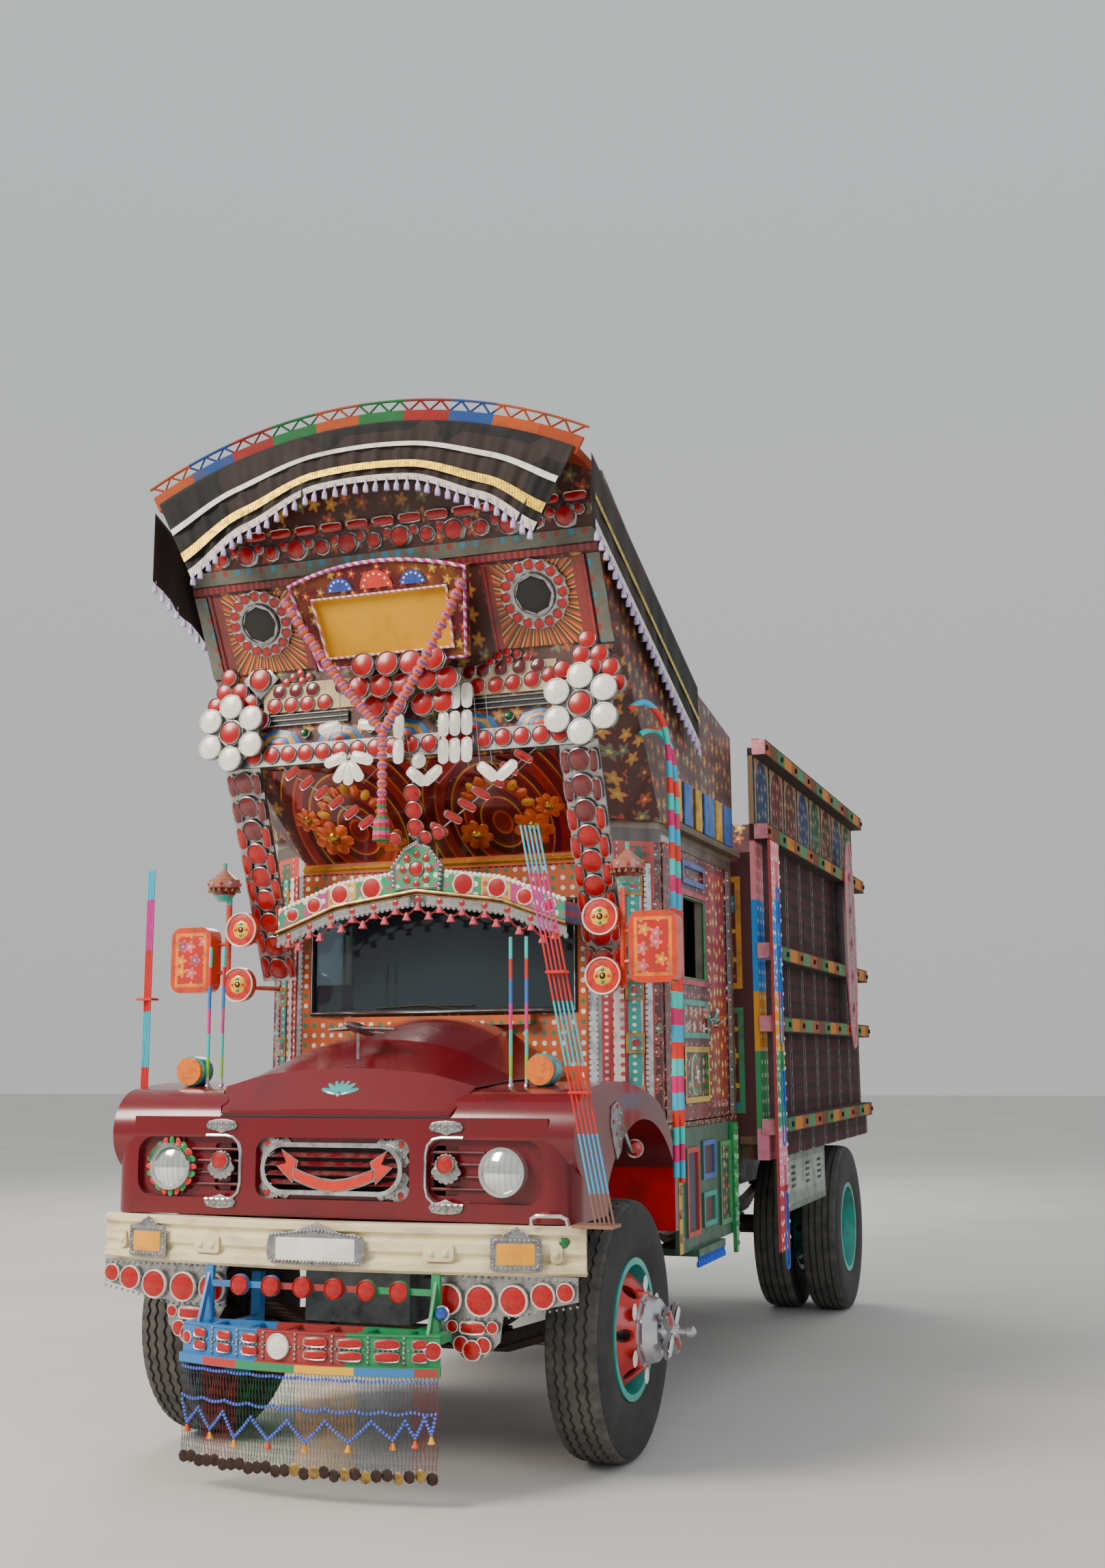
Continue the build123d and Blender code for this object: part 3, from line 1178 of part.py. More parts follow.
def tailgate():
    """Drop gate of planks with strap hinges at its foot."""
    half = wall_inner_x - SHUT_GAP
    leaf = block(-half, half, BODY_REAR - 34, BODY_REAR, DECK_TOP + SHUT_GAP, GATE_TOP)
    for x in (-760, 0, 760):
        leaf = leaf + block(x - 30, x + 30, BODY_REAR, BODY_REAR + 8, DECK_TOP + SHUT_GAP, GATE_TOP - 60)
    return leaf


SKIRT_FRAMES = (
    # front y, rear y, lowest z, highest z
    (800, 1020, 780, 1180), (1090, 1330, 800, 960), (1090, 1330, 1020, 1200), (1420, 1640, 780, 1180),
)


def side_skirts():
    """Painted panels below the door and below the load floor, with louvres and brackets."""
    cab_x = CAB_HALF_WIDTH + 20
    cab_skirt = block(cab_x - 20, cab_x, WING_REAR + 12, 1740, 720, 1270)
    for y0, y1, z0, z1 in SKIRT_FRAMES:
        frame = block(cab_x, cab_x + 10, y0, y1, z0, z1)
        frame = frame - block(cab_x, cab_x + 10, y0 + 24, y1 - 24, z0 + 24, z1 - 24)
        cab_skirt = cab_skirt + frame
    step = block(cab_x - 200, cab_x + 30, 900, 1400, 690, 722)
    tie = block(FRAME_HALF_WIDTH, cab_x - 20, 1480, 1530, RAIL_TOP - 60, RAIL_TOP)
    load_x = BODY_HALF_WIDTH
    low = DECK_TOP - DECK_THICKNESS - BEARER_DEPTH
    panel = block(load_x - 24, load_x, BODY_FRONT + 210, WHEELBASE - TYRE_RADIUS - 230, 760, low)
    for y in (2500, 2900, 3250):
        for k in range(4):
            panel = panel - block(load_x - 25, load_x + 1, y, y + 120, 880 + 34 * k, 896 + 34 * k)
    return solids_of(*(cab_skirt + step + tie).solids(), *to_right(cab_skirt + step + tie).solids(),
                     *panel.solids(), *to_right(panel).solids())


# Cloth: front valance and side curtains, plain closed solids
CLOTH = 10


def front_valance():
    """Plain solid of the fringed cloth hung from the arched shelf."""
    outer = arch_band(-330, -2, SHELF_FRONT - 14, SHELF_FRONT - 14 + CLOTH)
    return outer


def side_curtains():
    """Plain solids of the cloths hung along the crown's sloping side edges."""
    x = CROWN_SIDE_X + 34
    outline = [(-560, 4040), (1080, 3400), (1080, 3060), (-560, 3700)]
    left = side_plate(outline, x, x + CLOTH)
    return solids_of(left, to_right(left))


# Bead garland on the crown and the striped hoses on the left
GARLAND_TOP = (430, -460, 3590)
GARLAND_LOW = (0, -330, 2990)
GARLAND_BEADS = 17


def bead_garland():
    """Two legs of beads on a wire that meet above a tassel."""
    shape = bar(GARLAND_LOW, (0, -330, 2500), 24, 8)
    for side in (-1, 1):
        top = Vector(side * GARLAND_TOP[0], GARLAND_TOP[1], GARLAND_TOP[2])
        low = Vector(*GARLAND_LOW)
        points = []
        for i in range(GARLAND_BEADS + 1):
            share = i / GARLAND_BEADS
            sag = 120 * share * (1 - share)
            points.append(top * (1 - share) + low * share + Vector(side * sag * 0.6, 0, -sag))
        for a, b in zip(points, points[1:]):
            shape = shape + bar(tuple(a), tuple(b), BEAD_RADIUS, 8)
    return shape


HOSE_ROUTES = (
    # x, y, z of each point of the outer and the inner hose
    ((1000, 40, 3080), (1040, 60, 3120), (1080, 130, 3110), (1110, 220, 3040), (1116, 262, 2900),
     (1118, 272, 2500), (1116, 268, 1900), (1112, 262, 1090)),
    ((1000, 200, 3000), (1036, 230, 3030), (1072, 290, 3020), (1100, 350, 2960), (1108, 384, 2840),
     (1110, 392, 2480), (1108, 390, 1880), (1104, 384, 1060)),
)


def striped_hoses():
    """Two banded hoses hung free from the side of the crown."""
    hoses = []
    for route in HOSE_ROUTES:
        points = [Vector(*point) for point in route]
        radii = []
        for a, b, c in zip(points, points[1:], points[2:]):
            turn = radians((b - a).get_angle(c - b))
            run = min((b - a).length, (c - b).length)
            radii.append(0.45 * run / max(1e-6, sin(turn / 2) / cos(turn / 2)))
        print("hose radii", [round(radius) for radius in radii])
        path = FilletPolyline(*points, radius=radii)
        section = Plane(origin=points[0], z_dir=points[1] - points[0]) * Circle(HOSE_DIAMETER / 2)
        hoses.append(sweep(section, path=path))
    return solids_of(*hoses)


# Every node, then the move that puts the box's middle over the origin
left_knuckle = knuckle()
left_door = door()
left_wing = wing()
left_side = load_side()
left_mirror = mirror_set()

NODES = {
    "chassis_frame": chassis_frame(),
    "tow_jaw": tow_jaw(),
    "leaf_springs": leaf_springs(),
    "front_axle": front_axle(),
    "rear_axle": rear_axle(),
    "engine_block": engine_block(),
    "radiator": radiator(),
    "propshaft": propshaft(),
    "fuel_tank": fuel_tank(),
    "front_bumper": front_bumper(),
    "nose_panel": nose_panel(),
    "grille": grille(),
    "headlamps": headlamps(),
    "wing_left": left_wing,
    "wing_right": to_right(left_wing),
    "bonnet": bonnet(),
    "cab_shell": cab_shell(),
    "windscreen": windscreen(),
    "dashboard": dashboard(),
    "steering_wheel": steering_wheel(),
    "cab_seats": cab_seats(),
    "door_left": left_door,
    "door_right": to_right(left_door),
    "crown_shell": crown_shell(),
    "crown_arch": crown_arch(),
    "sign_board": sign_board(),
    "rosettes": rosettes(),
    "reflector_work": reflector_work(),
    "brow": brow(),
    "mirrors": solids_of(left_mirror, to_right(left_mirror)),
    "wing_lamps": wing_lamps(),
    "antenna_rods": antenna_rods(),
    "front_rack": front_rack(),
    "chain_fringe": chain_fringe(),
    "tin_skirts": tin_skirts(),
    "load_deck": load_deck(),
    "load_side_left": left_side,
    "load_side_right": to_right(left_side),
    "headboard": headboard(),
    "rear_frame": rear_frame(),
    "tailgate": tailgate(),
    "side_skirts": side_skirts(),
    "front_valance": front_valance(),
    "side_curtains": side_curtains(),
    "bead_garland": bead_garland(),
    "striped_hoses": striped_hoses(),
    "knuckle_left": left_knuckle,
    "knuckle_right": to_right(left_knuckle),
    "track_rod": track_rod(),
    "tyre_front_left": tyre_front_left,
    "tyre_front_right": to_right(tyre_front_left),
    "rim_front_left": rim_front_left,
    "rim_front_right": to_right(rim_front_left),
    "tyres_rear_left": tyres_rear_left,
    "tyres_rear_right": to_right(tyres_rear_left),
    "rims_rear_left": rims_rear_left,
    "rims_rear_right": to_right(rims_rear_left),
}

boxes = [shape.bounding_box() for name, shape in NODES.items() if name != "striped_hoses"]
MID_Y = (min(box.min.Y for box in boxes) + max(box.max.Y for box in boxes)) / 2
print("front axle at y", -MID_Y)
print("tallest", max(box.max.Z for box in boxes), "widest", max(box.max.X for box in boxes))

for name, shape in NODES.items():
    export_step(Pos(0, -MID_Y, 0) * shape, "parts/" + name + ".step")
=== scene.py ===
"""Looks of a decorated six-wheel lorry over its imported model: metres, nose towards -Y."""
import json
from math import atan2, cos, degrees, pi, radians, sin, sqrt

import bmesh
import bpy
from mathutils import Euler, Matrix, Vector

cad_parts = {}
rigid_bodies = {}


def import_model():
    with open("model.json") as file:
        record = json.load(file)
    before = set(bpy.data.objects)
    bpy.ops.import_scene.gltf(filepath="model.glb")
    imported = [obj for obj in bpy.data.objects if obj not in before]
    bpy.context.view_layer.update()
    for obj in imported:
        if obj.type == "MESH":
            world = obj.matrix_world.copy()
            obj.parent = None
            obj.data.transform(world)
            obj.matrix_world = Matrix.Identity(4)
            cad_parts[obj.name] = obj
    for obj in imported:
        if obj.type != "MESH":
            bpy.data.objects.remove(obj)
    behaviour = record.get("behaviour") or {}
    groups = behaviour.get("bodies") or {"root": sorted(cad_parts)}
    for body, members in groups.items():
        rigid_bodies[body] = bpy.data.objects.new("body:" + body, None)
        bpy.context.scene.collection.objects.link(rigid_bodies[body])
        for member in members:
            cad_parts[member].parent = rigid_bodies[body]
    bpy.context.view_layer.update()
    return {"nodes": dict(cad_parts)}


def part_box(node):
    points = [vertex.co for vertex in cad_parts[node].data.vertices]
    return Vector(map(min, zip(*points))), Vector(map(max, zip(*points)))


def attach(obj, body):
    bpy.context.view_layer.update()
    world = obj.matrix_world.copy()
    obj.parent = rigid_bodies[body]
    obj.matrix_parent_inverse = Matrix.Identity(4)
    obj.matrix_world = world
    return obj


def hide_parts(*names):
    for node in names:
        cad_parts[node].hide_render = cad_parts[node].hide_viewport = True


for leftover in list(bpy.data.objects):
    bpy.data.objects.remove(leftover)
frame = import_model()
cad_nodes = frame["nodes"]


# ---- Camera --------------------------------------------------------------------------------
# The photograph's view point, solved from the model's own corners: low in front of the lorry's
# left headlamp, looking a little up. Sizes here are measured from the front axle.
def shifted(x, y, z):
    """The matrix of a move."""
    return Matrix.Translation((x, y, z))


axle_low, axle_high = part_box("front_axle")
AXLE_Y = (axle_low.y + axle_high.y) / 2
HOME = shifted(0, AXLE_Y, 0)
VIEW_PLACE = (3.003, -6.480, 1.588)
VIEW_HEADING = radians(19.878)
VIEW_TILT = radians(9.7065)
VIEW_ROLL = radians(-0.359)

camera_data = bpy.data.cameras.new("photo_camera")
camera_data.lens = 36.88
camera_data.sensor_width = 36
camera_data.clip_end = 200
camera = bpy.data.objects.new("photo_camera", camera_data)
bpy.context.scene.collection.objects.link(camera)
aim = Euler((pi / 2 + VIEW_TILT, 0, VIEW_HEADING)).to_matrix() @ Matrix.Rotation(VIEW_ROLL, 3, "Z")
camera.matrix_world = HOME @ shifted(*VIEW_PLACE) @ aim.to_4x4()
bpy.context.scene.camera = camera


# ---- Studio --------------------------------------------------------------------------------
# A pale painted floor that runs out to the horizon, one large soft light high on the camera's
# left, a weaker one on its right, and a pale room that the chrome can mirror.
def tone(code):
    """An sRGB hex colour, or a grey from 0 to 1, as the linear colour that a shader takes."""
    if isinstance(code, (int, float)):
        return (code, code, code, 1.0)
    parts = [int(code[i:i + 2], 16) / 255 for i in (0, 2, 4)]
    linear = [p / 12.92 if p <= 0.04045 else ((p + 0.055) / 1.055) ** 2.4 for p in parts]
    return (*linear, 1.0)


def add_node(tree, kind, inputs=None, stops=(), stepped=False, **settings):
    """Adds one shader node. A value in inputs is set on its socket and a socket is linked to it;
    stops are the places and colours of a colour ramp."""
    node = tree.nodes.new("ShaderNode" + kind)
    for name, value in settings.items():
        setattr(node, name, value)
    for key, value in (inputs or {}).items():
        if isinstance(value, bpy.types.NodeSocket):
            tree.links.new(value, node.inputs[key])
        else:
            node.inputs[key].default_value = value
    if stops:
        ramp = node.color_ramp
        ramp.interpolation = "CONSTANT" if stepped else "LINEAR"
        for i, (place, colour) in enumerate(stops):
            stop = ramp.elements[i] if i < 2 else ramp.elements.new(place)
            stop.position = place
            stop.color = tone(colour)
    return node


def new_tree(name):
    """An empty material and its node tree."""
    material = bpy.data.materials.new(name)
    material.use_nodes = True
    material.node_tree.nodes.clear()
    return material, material.node_tree


room = bpy.data.worlds.new("pale_room")
bpy.context.scene.world = room
room.use_nodes = True
room.node_tree.nodes.clear()
room_place = add_node(room.node_tree, "TexCoord").outputs["Generated"]
room_up = add_node(room.node_tree, "SeparateXYZ", {0: room_place})
room_tone = add_node(room.node_tree, "ValToRGB", {0: room_up.outputs["Z"]},
                     stops=((0.0, "dededc"), (0.5, "e6e9ec"), (1.0, "f7f8fa")))
room_glow = add_node(room.node_tree, "Background", {"Color": room_tone.outputs[0], "Strength": 0.78})
add_node(room.node_tree, "OutputWorld", {"Surface": room_glow.outputs[0]})

floor_finish, tree = new_tree("painted_screed")
floor_place = add_node(tree, "TexCoord").outputs["Object"]
floor_haze = add_node(tree, "TexNoise", {"Vector": floor_place, "Scale": 0.6, "Detail": 4.0})
floor_tone = add_node(tree, "ValToRGB", {0: floor_haze.outputs["Fac"]},
                      stops=((0.3, "c9c7c2"), (0.7, "d3d1cc")))
floor_skin = add_node(tree, "BsdfPrincipled", {"Base Color": floor_tone.outputs[0], "Roughness": 0.8})
add_node(tree, "OutputMaterial", {"Surface": floor_skin.outputs[0]})
FLOOR_HALF = 60
bm = bmesh.new()
bmesh.ops.create_grid(bm, x_segments=1, y_segments=1, size=FLOOR_HALF)
floor_mesh = bpy.data.meshes.new("floor")
bm.to_mesh(floor_mesh)
bm.free()
floor_mesh.materials.append(floor_finish)
floor = bpy.data.objects.new("floor", floor_mesh)
bpy.context.scene.collection.objects.link(floor)

STUDIO_LIGHTS = (  # name, place, what it looks at, width, power, colour
    ("key_softbox", (-7.0, -11.0, 9.5), (0.0, -0.5, 1.9), 5.0, 2500, "fff4e6"),
    ("fill_softbox", (9.0, -7.0, 5.0), (0.0, 1.0, 2.0), 6.0, 260, "eaf1ff"),
    ("rear_softbox", (-5.0, 10.0, 8.0), (0.0, 1.5, 2.0), 6.0, 600, "ffffff"),
)
for name, place, target, width, power, colour in STUDIO_LIGHTS:
    lamp_data = bpy.data.lights.new(name, "AREA")
    lamp_data.size = width
    lamp_data.energy = power
    lamp_data.color = tone(colour)[:3]
    lamp = bpy.data.objects.new(name, lamp_data)
    look = (Vector(target) - Vector(place)).to_track_quat("-Z", "Y").to_matrix().to_4x4()
    lamp.matrix_world = shifted(*place) @ look
    bpy.context.scene.collection.objects.link(lamp)


# ---- Striped hoses -------------------------------------------------------------------------
# Two rubber hoses wound with coloured tape, which come out of the prow's flank behind the
# mirror and go down beside the door. A spline through each route, given a round thickness.
def calc(tree, operation, *values):
    """One sum on sockets and numbers."""
    return add_node(tree, "Math", dict(enumerate(values)), operation=operation).outputs[0]


def mixed(tree, share, first, second):
    """The first colour where share is 0, the second where it is 1."""
    return add_node(tree, "Mix", {0: share, 6: first, 7: second}, data_type="RGBA").outputs[2]


def stepped(tree, share, stops):
    """Flat colours, each from its stop to the next."""
    return add_node(tree, "ValToRGB", {0: share}, stops=stops, stepped=True).outputs[0]


def axes(tree, place):
    """The X, Y and Z of a place."""
    return add_node(tree, "SeparateXYZ", {0: place}).outputs


def finish(name, base, worn, patch=0.12, grain=0.0015, rough=(0.3, 0.45), metal=0.0, coat=0.0,
           bump=0.15, wear=(0.45, 0.75), stretch=(1, 1, 1), side="Object"):
    """A finish whose base colour, or pattern of colours, is aged in patches of a size in metres
    and roughened by a fine grain. coat is the share of clear gloss over it."""
    material, tree = new_tree(name)
    place = add_node(tree, "TexCoord").outputs[side]
    drawn = add_node(tree, "Mapping", {"Vector": place, "Scale": stretch}).outputs[0]
    broad = add_node(tree, "TexNoise", {"Vector": drawn, "Scale": 1 / patch, "Detail": 5.0, "Roughness": 0.6})
    fine = add_node(tree, "TexNoise", {"Vector": drawn, "Scale": 1 / grain, "Detail": 2.0})
    colour = base(tree, place) if callable(base) else tone(base)
    share = add_node(tree, "ValToRGB", {0: broad.outputs["Fac"]}, stops=((wear[0], 0.0), (wear[1], 1.0)))
    aged = mixed(tree, share.outputs[0], colour, tone(worn))
    dull = add_node(tree, "MapRange", {"Value": broad.outputs["Fac"], "From Min": 0.3, "From Max": 0.7,
                                       "To Min": rough[0], "To Max": rough[1]})
    relief = add_node(tree, "Bump", {"Strength": bump, "Distance": 0.001, "Height": fine.outputs["Fac"]})
    skin = add_node(tree, "BsdfPrincipled", {
        "Base Color": aged, "Roughness": dull.outputs[0],
        "Metallic": metal(tree, place) if callable(metal) else metal,
        "Coat Weight": coat, "Coat Roughness": 0.08, "Normal": relief.outputs[0]})
    add_node(tree, "OutputMaterial", {"Surface": skin.outputs[0]})
    return material


def bands(axis, start, length, stops):
    """A pattern of flat colours along one axis; each stop is a share of the length."""
    def draw(tree, place):
        along = axes(tree, place)[axis]
        share = add_node(tree, "MapRange", {"Value": along, "From Min": start, "From Max": start + length})
        return stepped(tree, share.outputs[0], stops)
    return draw


def repeat(axis, pitch, stops, lean=0.0, other="X"):
    """The same colours over and over along one axis, a pitch apart; lean slants them."""
    def draw(tree, place):
        parts = axes(tree, place)
        slant = calc(tree, "MULTIPLY_ADD", parts[other], lean, parts[axis])
        turns = calc(tree, "MULTIPLY", slant, 1 / pitch)
        return stepped(tree, calc(tree, "FRACT", turns), stops)
    return draw


HOSE_ROUTES = (
    ((1.000, 0.040, 3.080), (1.040, 0.060, 3.120), (1.080, 0.130, 3.110), (1.110, 0.220, 3.040),
     (1.116, 0.262, 2.900), (1.118, 0.272, 2.500), (1.116, 0.268, 1.900), (1.112, 0.262, 1.090)),
    ((1.000, 0.200, 3.000), (1.036, 0.230, 3.030), (1.072, 0.290, 3.020), (1.100, 0.350, 2.960),
     (1.108, 0.384, 2.840), (1.110, 0.392, 2.480), (1.108, 0.390, 1.880), (1.104, 0.384, 1.060)),
)
HOSE_LENGTHS = (2.199, 2.110)
HOSE_BORE = 0.028
TAPE_TURN = 0.072
TAPE_COLOURS = ((0.0, "d81b6a"), (0.25, "25d3c8"), (0.5, "e8311f"), (0.75, "2fb4dc"))
# Vulcanised rubber under plastic tape: satin, with one flat bright colour for each 72 mm.
hose_rubber = finish("taped_rubber", repeat("Z", 4 * TAPE_TURN, TAPE_COLOURS),
                     "5a3f3c", patch=0.05, grain=0.003, rough=(0.35, 0.5), bump=0.3, wear=(0.6, 0.9))
for n, (route, length) in enumerate(zip(HOSE_ROUTES, HOSE_LENGTHS), start=1):
    line = bpy.data.curves.new(f"striped_hose_{n}", "CURVE")
    line.dimensions = "3D"
    line.bevel_depth = HOSE_BORE / 2
    line.bevel_resolution = 4
    line.resolution_u = 10
    line.use_fill_caps = True
    run = line.splines.new("NURBS")
    run.points.add(len(route) - 1)
    for point, (x, y, z) in zip(run.points, route):
        point.co = (x, y + AXLE_Y, z, 1)
    run.order_u = 3
    run.use_endpoint_u = True
    line.materials.append(hose_rubber)
    hose = bpy.data.objects.new(line.name, line)
    bpy.context.scene.collection.objects.link(hose)
    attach(hose, "truck")
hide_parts("striped_hoses")


# ---- Cloth over the arch -------------------------------------------------------------------
# Black cotton hung in shallow folds from the arched shelf, in pieces sewn side by side, with a
# gold ribbon, a cream braid and lilac tassels along its hem; another piece hangs on each flank.
def make_piece(name, bm, materials, body, smooth=35, place=HOME):
    """Turns a bmesh that was made in front-axle measures into a finished piece on its body."""
    bmesh.ops.remove_doubles(bm, verts=bm.verts, dist=1e-5)
    bmesh.ops.recalc_face_normals(bm, faces=bm.faces)
    bm.transform(place)
    mesh = bpy.data.meshes.new(name)
    for face in bm.faces:
        face.smooth = True
    bm.to_mesh(mesh)
    bm.free()
    mesh.set_sharp_from_angle(angle=radians(smooth))
    for material in materials:
        mesh.materials.append(material)
    piece = bpy.data.objects.new(name, mesh)
    bpy.context.scene.collection.objects.link(piece)
    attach(piece, body)
    return piece


def at(x, y, z, size=1.0, normal=(0, -1, 0), turn=0.0):
    """The place of a stamped shape: its own Z along the normal, turned about it by degrees."""
    facing = Vector(normal).to_track_quat("Z", "Y").to_matrix().to_4x4()
    return shifted(x, y, z) @ facing @ Matrix.Rotation(radians(turn), 4, "Z") @ Matrix.Scale(size, 4)


def stamp(bm, shape, matrix, paints=None):
    """Adds a copy of a small mesh at that place; paints gives its materials other numbers."""
    copy = shape.copy()
    copy.transform(matrix)
    if paints:
        for face in copy.polygons:
            face.material_index = paints[face.material_index]
    bm.from_mesh(copy)
    bpy.data.meshes.remove(copy)


def keep_shape(name, bm):
    """A bmesh kept as a small mesh that stamp() can copy."""
    bmesh.ops.recalc_face_normals(bm, faces=bm.faces)
    shape = bpy.data.meshes.new(name)
    bm.to_mesh(shape)
    bm.free()
    return shape


def turned(name, profile, steps=16, metal_from=None):
    """A closed turned shape: (radius, height) points spun about Z. Faces at or past the point
    numbered metal_from take the second material."""
    bm = bmesh.new()
    ring = [bm.verts.new((r, 0, h)) for r, h in profile]
    for a, b in zip(ring, ring[1:]):
        bm.edges.new((a, b))
    bmesh.ops.spin(bm, geom=bm.verts[:] + bm.edges[:], cent=(0, 0, 0), axis=(0, 0, 1), angle=2 * pi,
                   steps=steps, use_merge=True)
    bmesh.ops.remove_doubles(bm, verts=bm.verts, dist=1e-6)
    if metal_from is not None:
        low = profile[metal_from][1]
        wide = max(r for r, h in profile[metal_from:])
        for face in bm.faces:
            centre = face.calc_center_median()
            if centre.z >= low and sqrt(centre.x ** 2 + centre.y ** 2) <= wide:
                face.material_index = 1
    return keep_shape(name, bm)


def cotton(name, warp, patchwork, thread=0.004):
    """A plain weave that reads the cloth's own UV map in metres; patches differ in shade."""
    material, tree = new_tree(name)
    flat = add_node(tree, "TexCoord").outputs["UV"]
    weave = [add_node(tree, "TexWave", {"Vector": flat, "Scale": 1 / thread / 6.28, "Distortion": 0.6},
                      bands_direction=way).outputs["Fac"] for way in ("X", "Y")]
    cross = calc(tree, "MULTIPLY", weave[0], weave[1])
    cells = add_node(tree, "TexVoronoi", {"Vector": flat, "Scale": 1.9, "Randomness": 0.35},
                     voronoi_dimensions="2D", distance="CHEBYCHEV").outputs["Color"]
    shade = stepped(tree, add_node(tree, "SeparateColor", {0: cells}).outputs[0], patchwork)
    fade = add_node(tree, "TexNoise", {"Vector": flat, "Scale": 7.0, "Detail": 5.0}).outputs["Fac"]
    dust = add_node(tree, "ValToRGB", {0: fade}, stops=((0.5, 0.0), (0.9, 0.35))).outputs[0]
    dusty = mixed(tree, dust, shade, tone(warp))
    relief = add_node(tree, "Bump", {"Strength": 0.5, "Distance": 0.001, "Height": cross}).outputs[0]
    skin = add_node(tree, "BsdfPrincipled", {"Base Color": dusty, "Roughness": 0.85, "Sheen Weight": 0.06,
                                             "Sheen Roughness": 0.5, "Normal": relief})
    add_node(tree, "OutputMaterial", {"Surface": skin.outputs[0]})
    return material


ARCH_RADIUS = 2.20333
ARCH_MIDDLE = 2.07667
ARCH_HALF_TURN = radians(26.99)
SEWN_HALF_TURN = ARCH_HALF_TURN * 0.98


def on_arch(turn, rise):
    """The place in the front plane at that angle round the arch and that height over its line."""
    reach = ARCH_RADIUS + rise
    return reach * sin(turn), ARCH_MIDDLE + reach * cos(turn)


COTTON_THICKNESS = 0.0016


def cloth_piece(name, bm, material):
    """A sheet of cloth with its thickness, its own UV map kept."""
    piece = make_piece(name, bm, [material], "truck", smooth=180)
    shell = piece.modifiers.new("cloth", "SOLIDIFY")
    shell.thickness = COTTON_THICKNESS
    shell.offset = 0
    return piece


def cloth_grid(columns, rows, wide, high, centred):
    """A grid with a UV map in metres, and each vertex's shares of the width and the height;
    the first runs from -1 when centred, from 0 when not."""
    bm = bmesh.new()
    uv = bm.loops.layers.uv.new("UVMap")
    bmesh.ops.create_grid(bm, x_segments=columns, y_segments=rows, size=1)
    shares = {v: (v.co.x if centred else (v.co.x + 1) / 2, (v.co.y + 1) / 2) for v in bm.verts}
    for face in bm.faces:
        for loop in face.loops:
            along, up = shares[loop.vert]
            loop[uv].uv = (along * wide, up * high)
    return bm, shares


def ladder(bm, pairs, paint=0):
    """A ribbon of faces between pairs of points."""
    rungs = [[bm.verts.new(point) for point in pair] for pair in pairs]
    for (a, b), (c, d) in zip(rungs, rungs[1:]):
        bm.faces.new((a, c, d, b)).material_index = paint


# Mill-dyed cotton sheeting: matt, almost black, with browner pieces let in.
black_cotton = cotton("black_cotton", "4a423c", ((0.0, "050506"), (0.4, "241815"), (0.62, "08070a"),
                                                 (0.82, "2a1c18")))
VALANCE_DROP = ((-1.0, 0.425), (-0.62, 0.35), (-0.2, 0.275), (0.27, 0.275), (0.66, 0.33), (1.0, 0.40))


def drop_at(share):
    """How far the hem hangs under the arch, between the measured places."""
    for (a, low), (b, high) in zip(VALANCE_DROP, VALANCE_DROP[1:]):
        if share <= b:
            mix = (share - a) / (b - a)
            mix = mix * mix * (3 - 2 * mix)
            return low + (high - low) * mix
    return VALANCE_DROP[-1][1]


bm, shares = cloth_grid(240, 24, 1.04, 0.4, centred=True)
for v, (across, up) in shares.items():
    down = 1 - up
    turn = across * ARCH_HALF_TURN * 0.985
    ragged = 0.006 * sin(across * 61) + 0.004 * sin(across * 143 + 1)
    x, z = on_arch(turn, -0.003 - (drop_at(across) - 0.006 + ragged) * down)
    fold = 0.007 * sin(across * 46 + 1.2 * sin(across * 9)) + 0.003 * sin(across * 117)
    v.co = (x, -0.608 + fold * down ** 0.6 + 0.006 * down * sin(across * 5), z)
front_valance = cloth_piece("front_valance_cloth", bm, black_cotton)
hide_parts("front_valance")

# Woven gold ribbon, satin braid and wool tassels, sewn on: the ribbon shines, the braid is
# corded every 6 mm with painted shade between the cords, and each tassel is a tied bunch of
# lilac yarn.
gold_ribbon = finish("woven_gold_ribbon", repeat("X", 0.012, ((0.0, "d8ba1c"), (0.5, "a8861a"))), "5a4318",
                     patch=0.03, grain=0.0015, rough=(0.3, 0.45), metal=0.6, bump=0.3)
cream_braid_cord_shade = finish("corded_braid_cord_shade", repeat("X", 0.012, ((0.0, "e8dfd0"), (0.6, "b9a9a0"))), "9c8a86",
                     patch=0.03, grain=0.002, rough=(0.7, 0.85), bump=0.5)
lilac_wool = finish("lilac_wool", "cfc0e6", "8e7aa8", patch=0.02, grain=0.001, rough=(0.8, 0.95), bump=0.6)
white_piping = finish("cotton_piping", "eae6df", "b5aca3", patch=0.04, grain=0.001, rough=(0.75, 0.9),
                      bump=0.4)


def on_valance(across, share, y):
    """A place on the hung cloth: across runs from -1 to 1, share from the arch to the hem."""
    x, z = on_arch(across * SEWN_HALF_TURN, -drop_at(across) * share)
    return x, y, z


